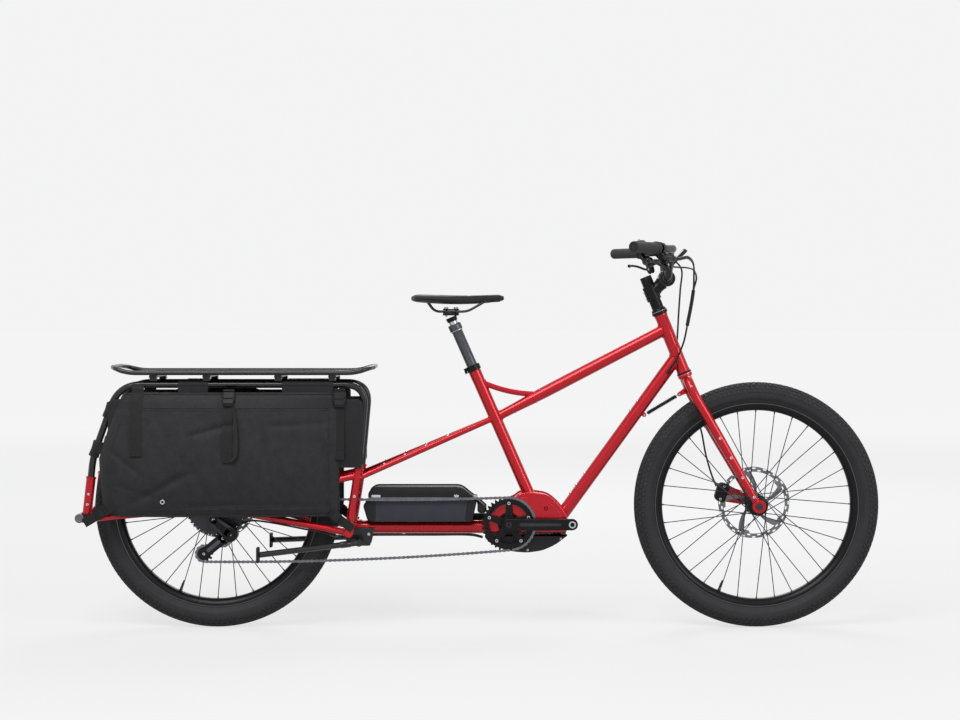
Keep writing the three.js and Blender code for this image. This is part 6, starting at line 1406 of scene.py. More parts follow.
def rack_pieces(sizes):
    """The hoops of the rack with their sockets, the deck's rails and crossbars, and its board."""
    hoop = sizes.hoop_tube / MM
    for s, name in ((1, "left"), (-1, "right")):
        side = 84 * s
        foot = on_front_upright(40, side)
        rear = unit(P(-338, 424, side) - P(-351, 306, side))
        corners = [P(-338, 424, side) - rear * 40, P(-338, 424, side), P(-333, 478, side),
                   P(-262, 680, side), P(420, 680, side), on_front_upright(0, side), foot]
        build(f"rack_hoop_{name}_dressed", [
            ("satin_black", tube(bend(corners, (0, 30, 62, 62, 0), 14), hoop, 32)),
            ("dark_steel", stud(P(-300, 572.0, side) + Y * s * (hoop - 0.6), Y * s, 3.4, 1.5, 1.4))],
            "frame", "rack_paint", f"rack_hoop_{name}")
    rim = [P(-282, 727.2, 58.3), P(-268.2, 724.4, 98.6), P(-236, 713.2, 106), P(392, 713.2, 106),
           P(424.2, 724.4, 98.6), P(438, 727.2, 58.3)]
    rails = []
    for s in two_sides():
        rails.append(tube(bend([p * (1, s, 1) for p in rim], (22, 26, 26, 22), 12), 6.5, 28))
    ends = [rod(P(a, 727.2, -60), P(a, 727.2, 60), 6.5, 28) for a in (-282, 438)]
    bars = []
    for share in (0.111, 0.345, 0.659, 0.896):
        at = -236 + (392 + 236) * share
        bars.append(block(P(at, 703.9), (22, 196, 9.4), X, Y, Z, 1.6, 3))
        for s in two_sides():
            saddle_low = 689.8
            bars.append(block(P(at, (saddle_low + 703) / 2, 84 * s), (20, 24, 703 - saddle_low), X, Y, Z, 1.6, 3))
            bars.append(block(P(at, 707.4, 99 * s), (18, 10, 8), X, Y, Z, 1.2, 2.4))
    bolts = [socket_bolt(P(-236 + 628 * share, 684, 84 * s), -Z, 3.4, 1.8, 1.6)
             for share in (0.111, 0.345, 0.659, 0.896) for s in (1, -1)]
    build("deck_rail_dressed", [("satin_black", join(*rails, *ends)), ("satin_black", join(*bars)),
                                ("bright_steel_and_cup_highlight", join(*bolts))],
          "frame", "rack_paint", "deck_rail")
    plan = rounded([(-236, -98), (392, -98), (392, 98), (-236, 98)], 40, 12)
    recess = rounded([(-196, -66), (352, -66), (352, 66), (-196, 66)], 26, 10)
    slats = [slab(rounded([(-180, y - 3), (336, y - 3), (336, y + 3), (-180, y + 3)], 3, 5), 715.6, 716.0, 0.2,
                  (REAR_AXLE_X, 0, 0), X, Y, Z) for y in np.arange(-54, 55, 18)]
    screws = [socket_bolt(P(-236 + 628 * share, 714.6, y), Z, 5.2, 1.3, 2.0)
              for share in (0.111, 0.345, 0.659, 0.896) for y in (-80, 80)]
    build("deck_board_dressed", [
        ("deck_sheet", slab(plan, 709, 715.8, 1.8, (REAR_AXLE_X, 0, 0), X, Y, Z)),
        ("deck_sheet", slab(recess, 715.4, 715.95, 0.25, (REAR_AXLE_X, 0, 0), X, Y, Z)),
        ("moulded_black", join(*slats)), ("dark_steel", join(*screws))],
        "frame", "deck_sheet", "deck_board")


BAG_SHARES = np.array([(.02, .05), (.06, 0), (.97, 0), (1, .05), (1, .96), (.97, 1), (.12, 1), (.08, .93),
                       (.04, .72), (0, .47), (.004, .3)])


def bag_edge(up):
    """The bag's rear and front limits at each height, read off its side outline."""
    front = np.interp(up, (317.5, 334.6, 645.3, 659), (325.3, 345, 345, 325.3))
    rear = np.interp(up, (317.5, 334.6, 420, 478, 563.4, 635, 659),
                     (-272.6, -298.9, -309.4, -312, -285.7, -259.4, -233.2))
    return rear, front


def fold(x, z, start, end, depth, width):
    """A crease: depth times a bell curve of the distance to the line from start to end, faded out
    smoothly beyond its ends."""
    a, b = np.asarray(start, float), np.asarray(end, float)
    way = b - a
    size = np.linalg.norm(way)
    way = way / size
    along = (x - a[0]) * way[0] + (z - a[1]) * way[1]
    off = -(x - a[0]) * way[1] + (z - a[1]) * way[0]
    over = np.maximum(0, np.maximum(-along, along - size)) / 26
    return depth * np.exp(-(off / width)**2 - over**2) * (1 + 0.6 * off / width)


FOLDS = [((-214, 356), (-83, 424), 5.6, 12), ((-272, 489), (-214, 447), 4.0, 10), ((-38, 545), (48, 568), 3.8, 9),
         ((180, 566), (306, 572), 3.2, 10), ((139, 515), (150, 440), 4.0, 10), ((296, 520), (318, 388), 4.4, 11),
         ((-150, 590), (-128, 520), 2.0, 14), ((118, 470), (124, 380), 1.6, 9), ((180, 480), (186, 380), 1.6, 9), ((236, 500), (240, 400), 1.5, 8),
         ((-60, 345), (90, 352), 3.0, 9), ((-250, 400), (-170, 372), 3.0, 9), ((60, 450), (62, 380), 1.4, 8),
         ((150, 350), (300, 345), 2.6, 9), ((20, 600), (30, 500), 2.6, 8), ((0, 430), (4, 380), 1.4, 9)]


def bag_face(columns, rows, side, outer, inner_face=93.9, full=26.0):
    """One bag's bulging outer face and its flat inner face, as two grids of points.
    The outer face stands out by a product of two flattened half sines, more below the middle where
    the load hangs, and its folds and a fine ripple are added to that."""
    u = (1 - np.cos(np.linspace(0, np.pi, columns))) / 2
    v = np.linspace(0, 1, rows)
    z = 317.5 + (659 - 317.5) * v[:, None] + 0 * u[None]
    rear, front = bag_edge(z)
    x = rear + (front - rear) * u[None]
    edge_u = np.minimum(1, np.sin(np.pi * u[None])**0.42)
    edge_v = np.minimum(1, np.sin(np.pi * np.clip(v[:, None] * 0.97 + 0.015, 0, 1))**0.36)
    sag = 1 + 0.1 * np.cos(np.pi * (v[:, None] - 0.2))
    depth = (outer - inner_face) * edge_u * edge_v
    puff = depth * np.minimum(1.0, 0.86 * sag)
    wave = (0.9 * np.sin(x / 31 + 2.1 * np.sin(z / 47)) + 0.6 * np.sin(z / 19 + x / 83)
            + 0.35 * np.sin(x / 9.3 + z / 15.0))
    crease = 1.25 * sum(fold(x, z, *spec) for spec in FOLDS)
    out = inner_face + np.clip(puff + (wave * 0.9 - crease) * edge_u * edge_v, 0.3, outer - inner_face)
    face = np.stack((REAR_AXLE_X + x, side * out, z), -1)
    back = np.stack((REAR_AXLE_X + x, np.full_like(x, side * inner_face), z), -1)
    return face, back


def bag_surface(side, ahead, up, outer=155.8, lift=0.6):
    """Points on a bag's outer face at given distances ahead and heights, lifted by a little."""
    face, _ = bag_face(220, 150, side, outer)
    v = np.clip((np.asarray(up, float) - 317.5) / (659 - 317.5), 0, 1)
    rear, front = bag_edge(np.asarray(up, float))
    u = np.clip((np.asarray(ahead, float) - rear) / (front - rear), 0, 1)
    column = np.arccos(1 - 2 * u) / np.pi * 219
    row = v * 149
    c0, r0 = np.clip(column.astype(int), 0, 218), np.clip(row.astype(int), 0, 148)
    fc, fr = column - c0, row - r0
    depth = np.abs(face[..., 1])
    value = ((depth[r0, c0] * (1 - fc) + depth[r0, c0 + 1] * fc) * (1 - fr)
             + (depth[r0 + 1, c0] * (1 - fc) + depth[r0 + 1, c0 + 1] * fc) * fr)
    out = np.minimum(value + lift, 160.5)
    return np.stack(np.broadcast_arrays(REAR_AXLE_X + np.asarray(ahead, float), side * out,
                                        np.asarray(up, float)), -1)


def ribbon(centre_line, across, width, thick, out):
    """A flat strap: a rounded flat section carried along a line, its width along across and its
    thickness along out, both given per point."""
    line_points = np.asarray(centre_line, float)
    across, out = np.broadcast_to(across, line_points.shape), np.broadcast_to(out, line_points.shape)
    w, t = width / 2, thick / 2
    section = np.array([(-w, -t * .5), (-w * .96, -t), (w * .96, -t), (w, -t * .5), (w, t * .5), (w * .96, t),
                        (w * .5, t * 1.1), (-w * .5, t * 1.1), (-w * .96, t), (-w, t * .5)])
    grid = (line_points[:, None] + section[None, :, :1] * across[:, None]
            + section[None, :, 1:] * out[:, None])
    return skin(grid, True, False, True)


def bag_pieces():
    """Both side bags: sagging canvas shells with a dark top band, piping, seams, their stiff
    front panel, webbing straps with buckles and end loops, and a pale grommet."""
    for s, name in ((1, "left"), (-1, "right")):
        face, back = bag_face(220, 150, s, 155.8)
        rows, cols = face.shape[:2]
        parts = []
        band = rows - 20
        outline = np.concatenate((face[0], face[1:-1, -1], face[-1][::-1], face[1:-1, 0][::-1]))
        shell_points = np.vstack((face.reshape(-1, 3), back.reshape(-1, 3)))
        index = np.arange(rows * cols).reshape(rows, cols)
        quad = lambda i, j: np.stack((index[i, j], index[i, j + 1], index[i + 1, j + 1], index[i + 1, j]), -1)
        i, j = np.arange(rows - 1)[:, None], np.arange(cols - 1)[None]
        outer_faces = quad(i, j)
        rim = np.concatenate((index[0], index[1:-1, -1], index[-1][::-1], index[1:-1, 0][::-1]))
        rim_faces = np.stack((rim, np.roll(rim, -1), np.roll(rim, -1) + rows * cols, rim + rows * cols), -1)
        back_face = (rim + rows * cols)[::-1].tolist()
        canvas = outer_faces[:band].reshape(-1, 4).tolist() + rim_faces.tolist() + [back_face]
        parts.append(("bag_canvas", (shell_points, canvas)))
        parts.append(("bag_band", (shell_points, outer_faces[band:].reshape(-1, 4).tolist())))
        pipe = np.vstack((face[2:-2, 3], face[-3, 4:-4], face[2:-2, -4][::-1], face[2, 4:-4][::-1]))
        parts.append(("bag_band", tube(pipe[::2], 1.9, 8, closed=True)))
        xs = np.linspace(-225, 322, 160)
        for up, thick in ((617, 0.8), (611, 0.55)):
            seam = bag_surface(s, xs, np.full(160, float(up)))
            parts.append(("thread_grey" if thick < 0.7 else "bag_band", tube(seam, thick, 6)))
        zs = np.linspace(330, 640, 120)
        seam = bag_surface(s, np.full(120, 318.0), zs)
        parts.append(("bag_band", tube(seam, 1.6, 8)))
        zs = np.linspace(350, 600, 90)
        seam = bag_surface(s, np.interp(zs, (350, 480, 600), (-268, -284, -246)), zs)
        parts.append(("thread_grey", tube(seam, 0.55, 6)))
        xs = np.linspace(-240, 300, 120)
        seam = bag_surface(s, xs, np.full(120, 340.0))
        parts.append(("thread_grey", tube(seam, 0.55, 6)))
        ring_at = bag_surface(s, np.array([-134.0]), np.array([361.0]), lift=2.0)[0]
        parts.append(("pale_ring", lathe([(-0.5, 6.3), (0.5, 6.5), (1.0, 5.9), (0.9, 4.4), (0.2, 3.6), (-0.5, 3.4)],
                                         ring_at, Y * s, 32, closed=True)))
        parts.append(("moulded_black", lathe([(-0.4, 3.5), (0.0, 3.5), (0.0, 0.5)], ring_at, Y * s, 24)))
        panel_up = rounded([(-290, 452), (412, 452), (412, 640), (-290, 640)], 18, 6)
        low, high = sorted((94.0 * s, 97.6 * s))
        parts.append(("bag_band", slab(panel_up, low, high, 1.2)))
        stitch = [P(a, u, 97.9 * s) for a, u in rounded([(352, 460), (404, 460), (404, 632), (352, 632)], 12, 5)]
        parts.append(("thread_grey", tube(np.array(stitch), 0.5, 6, closed=True)))
        for ahead_a, ahead_b in ((-97, -15), (189, 329)):
            wrap_angle = np.radians(np.linspace(-200, 70, 26))
            centre = P(ahead_a, 680, 84 * s)
            radial = (np.cos(wrap_angle)[:, None] * Y * s + np.sin(wrap_angle)[:, None] * Z)
            grid = np.stack([np.stack([centre + X * (ahead_b - ahead_a) * k + radial * r for k in
                                       np.linspace(0, 1, 12)], 0) for r in (10.0, 11.6)], 0)
            around_sleeve = np.concatenate((grid[1], grid[0][:, ::-1]), 1)
            parts.append(("bag_band", skin(around_sleeve, True, False, True)))
            drop = line(P((ahead_a + ahead_b) / 2, 676, 95.0 * s), P((ahead_a + ahead_b) / 2, 640, 96.5 * s), 6)
            parts.append(("bag_band", ribbon(drop, X, ahead_b - ahead_a, 1.8, Y * s)))
        build(f"side_bag_{name}", parts, "frame", "bag_cloth", f"pannier_{name}", sharp=50)
        straps = []
        buckles = []
        for ahead, top, low_end, width, clip in ((-206, 682, 486, 34, None), (45.5, 668, 470, 26, 652),
                                                 (347.5, 668, 475, 26, 652)):
            ups = np.linspace(top, low_end, 70)
            lift = 1.5
            if ahead < 340:
                path = bag_surface(s, np.full(70, float(ahead)), np.minimum(ups, 657.5), lift=lift)
                above = np.maximum(ups - 657.5, 0)
                path[:, 2] = ups
                hug = np.interp(above, (0, 12, 25), (np.abs(path[0, 1]) - 0, 103, 96.5))
                path[:, 1] = np.where(above > 0, s * np.maximum(hug, 96.5), path[:, 1])
            else:
                path = np.stack((np.full(70, REAR_AXLE_X + ahead), s * np.interp(
                    ups, (475, 640, 668), (107.0, 101.0, 96.2)), ups), 1)
            normal = unit(np.cross(X, np.gradient(path, axis=0)))
            normal = normal * np.sign(normal[:, 1:2] * s)
            straps.append(ribbon(path, X, width, 1.9, normal))
            loop_low, loop_n = path[-9:], normal[-9:]
            straps.append(ribbon(loop_low + loop_n * 2.1, X, width, 1.9, loop_n))
            if clip:
                pick = np.argmin(np.abs(ups - clip))
                out = normal[pick]
                up_way = unit(np.cross(out, X))
                up_way = up_way * np.sign(up_way[2])
                at = path[pick] + out * 3.4
                buckles += [block(at, (width + 8, 22, 6.5), X, up_way, out, 1.8, 5),
                            block(at - up_way * 19, (width + 4, 18, 5.5), X, up_way, out, 1.6, 4),
                            block(at + up_way * 15, (width + 6, 6, 5), X, up_way, out, 1.4, 2.4),
                            block(at - up_way * 31, (width + 6, 5, 4.6), X, up_way, out, 1.4, 2.2)]
                buckles += [block(at + X * d * (width / 2 + 2.6) - up_way * 6, (4.6, 26, 5.2), X, up_way, out,
                                  1.4, 2) for d in (1, -1)]
        for low_up, high_up in ((481, 525), (588, 630), (652, 687)):
            centre_up = (low_up + high_up) / 2
            knee = np.interp(centre_up, (478, 680), (-333, -262))
            way = unit(np.array((71.0, 0, 202.0)))
            wrap = lathe([(-(high_up - low_up) / 2, 9.9), (-(high_up - low_up) / 2, 13.4),
                          (-(high_up - low_up) / 2 + 2, 14.6), (0, 13.2), ((high_up - low_up) / 2 - 2, 14.6),
                          ((high_up - low_up) / 2, 13.4), ((high_up - low_up) / 2, 9.9)],
                         P(knee, centre_up, 84 * s), way, 32, closed=True) if centre_up < 640 else None
            if wrap:
                straps.append(wrap)
                far = np.interp(centre_up, (478, 563, 635), (-300, -280, -252)) + 10
                tie = line(P(knee, centre_up, 94.6 * s), P(far, centre_up, 97.0 * s), 8)
                straps.append(ribbon(tie, Z, (high_up - low_up) * 0.62, 1.8, Y * s))
        pull = unit(np.array((0.86, 0, 0.51)))
        square = np.array((-pull[2], 0, pull[0]))
        straps.append(ribbon(line(P(-354, 300, 101.6 * s), P(-262, 354.5, 112 * s), 14), square, 26, 1.8, Y * s))
        buckles.append(block(P(-306, 328.5, 109.5 * s), (32, 30, 5.5), pull, square, Y * s, 1.6, 5))
        buckles.append(block(P(-306, 328.5, 113 * s), (16, 22, 3.4), pull, square, Y * s, 1.2, 3))
        straps.append(lathe([(-13, 12.9), (-13, 14.6), (13, 14.6), (13, 12.9)], P(-350.2, 313, 84 * s),
                            P(-338, 424, 84 * s) - P(-351, 306, 84 * s), 32, closed=True))
        straps.append(ribbon(line(P(384, 284, 99.5 * s), P(322, 331, 108 * s), 12),
                             unit(np.array((0.6, 0, 0.8))), 24, 1.8, Y * s))
        buckles.append(block(P(338, 319, 107.5 * s), (26, 28, 5.5), unit(np.array((-0.8, 0, 0.6))),
                             unit(np.array((0.6, 0, 0.8))), Y * s, 1.6, 4))
        slack = smooth([bag_surface(s, np.array([a]), np.array([u]), lift=lift)[0]
                        for a, u, lift in ((58, 622, 4), (66, 575, 7), (69, 520, 7), (66, 486, 6), (54, 474, 5))], 8)
        straps.append(ribbon(slack, unit(X + Y * s * 0.9), 15, 1.8, unit(Y * s - X * 0.9)))
        build(f"bag_straps_{name}", [("webbing", join(*straps)), ("moulded_black", join(*buckles))],
              "frame", "bag_cloth")


def kickstand_pieces():
    """The bracket under the frame and the two-legged stand: barrel, arms, legs and foot plates."""
    outline = np.array([(352, 272), (366, 229), (428, 229), (440, 279), (352, 279)])
    plates = [slab(rounded(outline, 5), s * 27 - 3, s * 27 + 3, 0.9) for s in (1, -1)]
    build("kickstand_bracket_dressed", [
        ("satin_black", join(*plates)),
        ("satin_black", block(P(396, 272), (70, 54, 6), X, Y, Z, 1.2, 4)),
        ("bright_steel_and_cup_highlight", join(*(socket_bolt(P(a, 262, 29.6 * s), Y * s, 4.2, 2.4, 2.0)
                                for a in (372, 424) for s in (1, -1))))],
        "frame", "black_alloy", "kickstand_bracket")
    barrel = [(0, 4), (0, 9), (1, 10), (83, 10), (84, 9), (84, 4)]
    parts = [("satin_black", join(*(lathe(barrel, P(400, 243), Y * s, 40) for s in (1, -1))))]
    for s in two_sides():
        start, end = P(400, 243, 74 * s), P(134.8, 221.7, 170 * s)
        way = unit(end - start)
        legs = bend([start - Y * s * 14, start, end], (14,), 10)
        parts += [("satin_black", tube(legs, 8.0, 32)),
                  ("satin_black", lathe([(-16, 8), (-14, 9.2), (12, 9.2), (14, 8)], start + way * 40, way, 32)),
                  ("moulded_black", block(end - X * 3.5, (34, 42, 7), Y, Z, X, 1.6, 6))]
    build("kickstand_dressed", parts, "kickstand", "black_alloy", "kickstand")


def plain_nodes():
    """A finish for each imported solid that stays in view, chosen by its material slot."""
    by_slot = {"frame_paint": "candy_red", "rack_paint": "satin_black", "black_alloy": "black_metal",
               "bare_steel": "bright_steel_and_cup_highlight", "black_plastic": "moulded_black",
               "grey_plastic": "moulded_grey", "deck_sheet": "deck_sheet", "bag_cloth": "bag_canvas",
               "saddle_skin": "saddle_cover", "tyre": "tread_rubber", "grip_rubber": "grip_rubber"}
    slots = {row["name"]: row.get("material_slot") or row.get("slot")
             for row in frame["record"].get("nodes", []) if isinstance(row, dict) and "name" in row}
    for name, solid in frame["nodes"].items():
        chosen = by_slot.get(slots.get(name), "black_metal")
        if solid.type != "MESH":
            continue
        if not solid.data.materials:
            solid.data.materials.append(finish(chosen))
        for slot in solid.material_slots:
            slot.material = finish(chosen)


def screen_material(name, colour, glow, diffuse, lift):
    """A floor that catches shadow: part diffuse, part a glow that only the camera and reflections
    see, so the ground shows pale without lighting the object."""
    material = bpy.data.materials.new(name)
    material.use_nodes = True
    tree = material.node_tree
    tree.nodes.clear()
    out = tree.nodes.new("ShaderNodeOutputMaterial")
    add = tree.nodes.new("ShaderNodeAddShader")
    matte = tree.nodes.new("ShaderNodeBsdfDiffuse")
    place = tree.nodes.new("ShaderNodeTexCoord").outputs["Object"]
    noise = node(tree, "ShaderNodeTexNoise", Scale=1.4, Detail=2.0)
    tree.links.new(place, noise.inputs["Vector"])
    tone = tree.nodes.new("ShaderNodeMix")
    tone.data_type = "RGBA"
    tone.inputs["A"].default_value = (*(np.array(colour) * diffuse * 0.985), 1)
    tone.inputs["B"].default_value = (*(np.array(colour) * diffuse), 1)
    tree.links.new(noise.outputs["Fac"], tone.inputs["Factor"])
    tree.links.new(tone.outputs["Result"], matte.inputs["Color"])
    light = tree.nodes.new("ShaderNodeEmission")
    light.inputs["Color"].default_value = (*colour, 1)
    far = tree.nodes.new("ShaderNodeVectorMath")
    far.operation = "LENGTH"
    tree.links.new(place, far.inputs[0])
    rise = ranged(tree, far.outputs["Value"], glow, glow + lift, 1.5, 9.0)
    both = tree.nodes.new("ShaderNodeMath")
    both.operation = "MULTIPLY"
    tree.links.new(rise, both.inputs[0])
    tree.links.new(seen_directly(tree, 1.0), both.inputs[1])
    tree.links.new(both.outputs[0], light.inputs["Strength"])
    tree.links.new(matte.outputs[0], add.inputs[0])
    tree.links.new(light.outputs[0], add.inputs[1])
    tree.links.new(add.outputs[0], out.inputs["Surface"])
    return material


def seen_directly(tree, strength, otherwise=0.0):
    """A strength for camera, glossy and transmission rays, and another for the rest."""
    path = tree.nodes.new("ShaderNodeLightPath")
    first, second = tree.nodes.new("ShaderNodeMath"), tree.nodes.new("ShaderNodeMath")
    first.operation = second.operation = "MAXIMUM"
    tree.links.new(path.outputs["Is Camera Ray"], first.inputs[0])
    tree.links.new(path.outputs["Is Glossy Ray"], first.inputs[1])
    tree.links.new(first.outputs[0], second.inputs[0])
    tree.links.new(path.outputs["Is Transmission Ray"], second.inputs[1])
    return ranged(tree, second.outputs[0], otherwise, strength, 0.0, 1.0)


def stage_pieces(light):
    """Floor, world, three soft lamps and the camera at the photograph's place."""
    scene = bpy.context.scene
    t = np.linspace(-1, 1, 25)
    grid = np.stack(np.broadcast_arrays(t[None] * 60, t[:, None] * 60, 0.0), -1)
    points, faces = skin(grid)
    mesh = bpy.data.meshes.new("studio_floor")
    mesh.from_pydata(points.tolist(), [], faces)
    floor = bpy.data.objects.new("studio_floor", mesh)
    scene.collection.objects.link(floor)
    mesh.materials.append(screen_material("pale_floor", light.floor_colour, light.floor_glow,
                                          light.floor_matte, light.floor_lift))
    world = bpy.data.worlds.new("studio")
    scene.world = world
    world.use_nodes = True
    back = world.node_tree.nodes["Background"]
    back.inputs["Color"].default_value = (*light.floor_colour, 1)
    world.node_tree.links.new(seen_directly(world.node_tree, light.world_seen, light.world_light),
                              back.inputs["Strength"])
    for name, place, aim, size, watts in (
            ("key_lamp", (-1.6, -3.4, 4.6), (0, 0, 0.5), 3.0, light.key_watts),
            ("fill_lamp", (3.8, -3.0, 2.4), (0.3, 0, 0.5), 2.4, light.fill_watts),
            ("back_lamp", (0.6, 3.6, 3.6), (0, 0, 0.6), 3.0, light.back_watts)):
        lamp = bpy.data.lights.new(name, "AREA")
        lamp.shape, lamp.size, lamp.energy = "DISK", size, watts
        holder = bpy.data.objects.new(name, lamp)
        way = np.array(aim) - np.array(place)
        holder.location = place
        holder.rotation_euler = (np.arctan2(np.hypot(way[0], way[1]), -way[2]), 0,
                                 np.arctan2(way[1], way[0]) - np.pi / 2)
        scene.collection.objects.link(holder)
    camera = bpy.data.cameras.new("photo_camera")
    camera.lens, camera.sensor_width, camera.shift_y = 73.7, 36.0, -57 / 960
    camera.clip_end = 300
    holder = bpy.data.objects.new("photo_camera", camera)
    holder.location = (0, -light.camera_distance, 0.905)
    holder.rotation_euler = (np.pi / 2, 0, 0)
    scene.collection.objects.link(holder)
    scene.camera = holder
    scene.view_settings.view_transform = "Standard"


def length(name, text, value):
    """A size a user may change, in metres."""
    return bpy.props.FloatProperty(name=name, description=text, default=value, min=0.0, unit="LENGTH",
                                   subtype="DISTANCE", precision=4)


def colour(name, text, *srgb):
    """A colour a user may change, kept as linear light."""
    return bpy.props.FloatVectorProperty(name=name, description=text, default=linear(*srgb), size=3,
                                         min=0.0, max=1.0, subtype="COLOR")


def amount(name, text, value):
    """A plain number a user may change."""
    return bpy.props.FloatProperty(name=name, description=text, default=value, min=0.0)


class BikeSizes(bpy.types.PropertyGroup):
    """Sizes of the bicycle's drawn surfaces."""
    main_tube: length("Main tube radius", "Radius of the down, head and lower tubes", 0.018)
    stay_tube: length("Stay radius", "Radius of the rear stays", 0.0095)
    hoop_tube: length("Hoop radius", "Radius of the rack's hoops", 0.0095)
    tyre_radius: length("Tyre radius", "Outer radius of the tyres over the tread", 0.342)
    tyre_width: length("Tyre width", "Width of the tyres", 0.063)
    spoke_gauge: length("Spoke thickness", "Thickness of a spoke", 0.0026)
    spokes: bpy.props.IntProperty(name="Spokes", description="Spokes in each wheel", default=32, min=8)


class BikeColours(bpy.types.PropertyGroup):
    """Colours of the finishes."""
    paint_red: colour("Frame paint", "Candy red of the frame and fork", 186, 2, 24)
    rack_black: colour("Rack paint", "Satin black of the rack and stand", 13, 13, 15)
    alloy_black: colour("Black alloy", "Anodised black parts", 22, 22, 24)
    # The grey alloy colour also paints the highlight ring along the rims' edges.
    alloy_grey_and_rim_highlight: colour("Grey alloy", "Anodised grey parts", 84, 85, 90)
    # The bare steel colour also paints the highlight ring on the upper headset cup.
    steel: colour("Bare steel", "Bright bolts, rotors and rings", 196, 198, 202)
    steel_dark: colour("Dark steel", "Spokes, cassette and nuts", 60, 60, 65)
    chain_grey: colour("Chain", "Plated chain", 112, 112, 116)
    rotor_grey: colour("Rotor", "Steel of the brake rotors", 120, 121, 125)
    plastic_black: colour("Black plastic", "Moulded black parts", 21, 21, 24)
    plastic_grey: colour("Grey plastic", "Moulded grey parts", 112, 114, 122)
    battery_grey: colour("Battery case", "Blue-grey of the battery's case", 52, 53, 64)
    glass_black: colour("Display glass", "Dark glass of the display", 10, 11, 13)
    tyre_black: colour("Tread", "Rubber of the tread", 50, 50, 52)
    tyre_wall: colour("Tyre wall", "Rubber of the tyre's walls", 42, 42, 44)
    rubber_grey: colour("Grips", "Rubber of the grips", 66, 66, 70)
    hose_black: colour("Hoses", "Jackets of hoses and cables", 16, 16, 18)
    saddle_black: colour("Saddle cover", "Cover of the saddle", 22, 22, 25)
    bag_grey: colour("Bag canvas", "Charcoal canvas of the side bags", 37, 37, 40)
    bag_dark: colour("Bag trim", "Darker trim and top band of the bags", 16, 16, 20)
    strap_black: colour("Webbing", "Straps of the bags", 13, 13, 15)
    thread_grey: colour("Thread", "Stitching", 48, 48, 52)
    deck_black: colour("Deck", "Sheet of the deck", 20, 20, 22)
    pale_metal: colour("Pale rings", "Pale rings on rims, bags and battery", 190, 192, 196)


class StudioLight(bpy.types.PropertyGroup):
    """Lamps, floor and camera."""
    floor_colour: colour("Floor", "Colour of the floor and the world", 250, 250, 251)
    floor_glow: amount("Floor glow", "Glow of the floor to the camera", 0.7)
    floor_lift: amount("Floor lift", "How much the glow grows far from the bicycle", 0.15)
    floor_matte: amount("Floor shade", "Share of the floor that takes shadow", 0.22)
    world_seen: amount("World seen", "World strength the camera and gloss see", 0.94)
    world_light: amount("World light", "World strength on the object", 0.46)
    key_watts: bpy.props.FloatProperty(name="Key lamp", description="Power of the key lamp", default=170.0,
                                       min=0.0, unit="POWER")
    fill_watts: bpy.props.FloatProperty(name="Fill lamp", description="Power of the fill lamp", default=62.0,
                                        min=0.0, unit="POWER")
    back_watts: bpy.props.FloatProperty(name="Back lamp", description="Power of the back lamp", default=85.0,
                                        min=0.0, unit="POWER")
    camera_distance: length("Camera distance", "Distance of the camera from the middle plane", 5.5)


class BIKE_OT_frame(bpy.types.Operator):
    """Build the painted main frame and the rear axle"""
    bl_idname = "bike.frame"
    bl_label = "Frame"

    def execute(self, context):
        frame_pieces(context.scene.bike_sizes)
        return {"FINISHED"}


class BIKE_OT_fork(bpy.types.Operator):
    """Build the fork and the headset cup"""
    bl_idname = "bike.fork"
    bl_label = "Fork"

    def execute(self, context):
        fork_pieces(context.scene.bike_sizes)
        return {"FINISHED"}


class BIKE_OT_wheels(bpy.types.Operator):
    """Build both wheels with tyres, spokes, hubs and brake rotors"""
    bl_idname = "bike.wheels"
    bl_label = "Wheels"

    def execute(self, context):
        sizes = context.scene.bike_sizes
        wheel_pieces(sizes, "front", FRONT_AXLE, "front_wheel", (-54.7, 54.7), (-34, 24))
        wheel_pieces(sizes, "rear", REAR_AXLE, "rear_wheel", (-22, 73.7), (-18, 33))
        rotor_piece("front", FRONT_AXLE, "front_wheel", 42.5 + 0.9)
        rotor_piece("rear", REAR_AXLE, "rear_wheel", 58.5 + 0.9)
        return {"FINISHED"}


class BIKE_OT_drive(bpy.types.Operator):
    """Build the cranks, chainring, cassette, chain and derailleur"""
    bl_idname = "bike.drive"
    bl_label = "Drive"

    def execute(self, context):
        drive_pieces()
        return {"FINISHED"}


class BIKE_OT_motor(bpy.types.Operator):
    """Build the motor with its cover and the battery with its lid"""
    bl_idname = "bike.motor"
    bl_label = "Motor and battery"

    def execute(self, context):
        motor_pieces()
        return {"FINISHED"}


class BIKE_OT_seat(bpy.types.Operator):
    """Build the telescopic post and the padded saddle"""
    bl_idname = "bike.seat"
    bl_label = "Seat"

    def execute(self, context):
        seat_pieces()
        return {"FINISHED"}


class BIKE_OT_cockpit(bpy.types.Operator):
    """Build the stem, bar, grips, levers, display and bell"""
    bl_idname = "bike.cockpit"
    bl_label = "Handlebar"

    def execute(self, context):
        cockpit_pieces()
        bell_and_paddles()
        return {"FINISHED"}


class BIKE_OT_hoses(bpy.types.Operator):
    """Build the calipers with their hoses, the cables and the steering spring"""
    bl_idname = "bike.hoses"
    bl_label = "Brakes and cables"

    def execute(self, context):
        hose_pieces()
        return {"FINISHED"}


class BIKE_OT_rack(bpy.types.Operator):
    """Build the rack's hoops, rails, deck and the stand"""
    bl_idname = "bike.rack"
    bl_label = "Rack and stand"

    def execute(self, context):
        rack_pieces(context.scene.bike_sizes)
        kickstand_pieces()
        return {"FINISHED"}


class BIKE_OT_bags(bpy.types.Operator):
    """Build the two side bags with their straps and buckles"""
    bl_idname = "bike.bags"
    bl_label = "Side bags"

    def execute(self, context):
        bag_pieces()
        return {"FINISHED"}


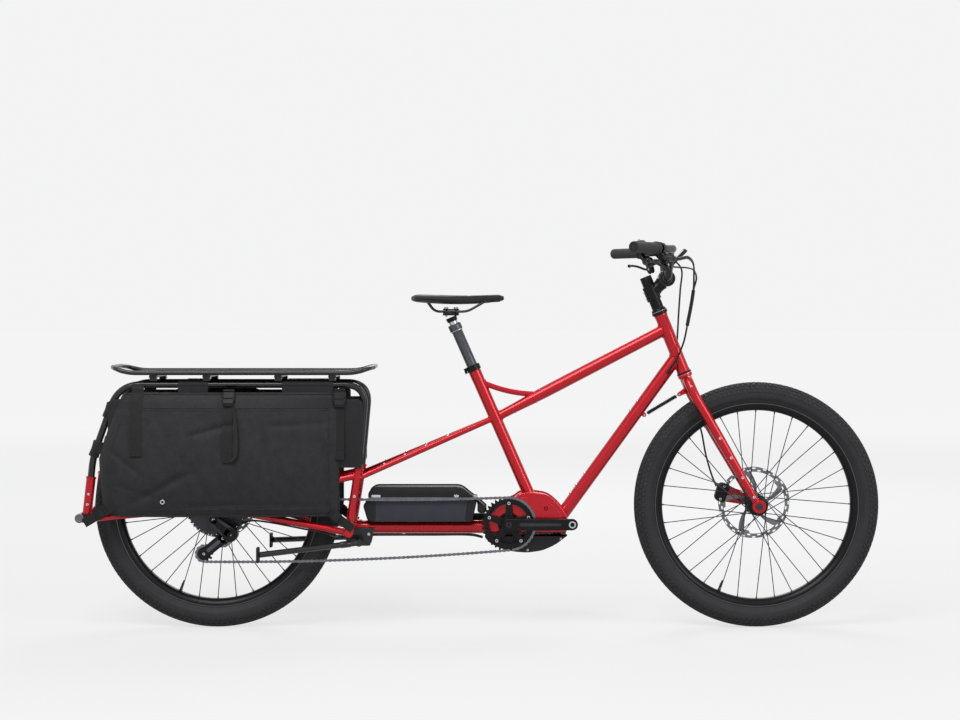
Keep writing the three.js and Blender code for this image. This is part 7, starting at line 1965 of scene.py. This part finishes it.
class BIKE_OT_solids(bpy.types.Operator):
    """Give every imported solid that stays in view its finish"""
    bl_idname = "bike.solids"
    bl_label = "Plain solids"

    def execute(self, context):
        plain_nodes()
        return {"FINISHED"}


class BIKE_OT_stage(bpy.types.Operator):
    """Build the floor, the lamps and the camera"""
    bl_idname = "bike.stage"
    bl_label = "Stage"

    def execute(self, context):
        stage_pieces(context.scene.bike_light)
        return {"FINISHED"}


OPERATORS = (BIKE_OT_stage, BIKE_OT_frame, BIKE_OT_fork, BIKE_OT_wheels, BIKE_OT_drive, BIKE_OT_motor,
             BIKE_OT_seat, BIKE_OT_cockpit, BIKE_OT_hoses, BIKE_OT_rack, BIKE_OT_bags, BIKE_OT_solids)


class BIKE_PT_panel(bpy.types.Panel):
    """The sizes, colours and pieces of the bicycle"""
    bl_idname = "BIKE_PT_panel"
    bl_label = "Longtail cargo bicycle"
    bl_space_type = "VIEW_3D"
    bl_region_type = "UI"
    bl_category = "Cargo bike"

    def draw(self, context):
        layout = self.layout
        for group in ("bike_sizes", "bike_colours", "bike_light"):
            holder = getattr(context.scene, group)
            column = layout.column(align=True)
            for key in type(holder).__annotations__:
                column.prop(holder, key)
        for operator in OPERATORS:
            layout.operator(operator.bl_idname)


CLASSES = (BikeSizes, BikeColours, StudioLight) + OPERATORS + (BIKE_PT_panel,)


def register():
    """Register the classes and hang the property groups on the scene."""
    for each in CLASSES:
        bpy.utils.register_class(each)
    bpy.types.Scene.bike_sizes = bpy.props.PointerProperty(type=BikeSizes)
    bpy.types.Scene.bike_colours = bpy.props.PointerProperty(type=BikeColours)
    bpy.types.Scene.bike_light = bpy.props.PointerProperty(type=StudioLight)


def unregister():
    """Take the property groups and classes away again."""
    del bpy.types.Scene.bike_sizes, bpy.types.Scene.bike_colours, bpy.types.Scene.bike_light
    for each in reversed(CLASSES):
        bpy.utils.unregister_class(each)


def main():
    """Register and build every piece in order."""
    register()
    for operator in OPERATORS:
        getattr(bpy.ops.bike, operator.bl_idname.split(".")[1])()
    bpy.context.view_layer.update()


if __name__ == "__main__":
    main()
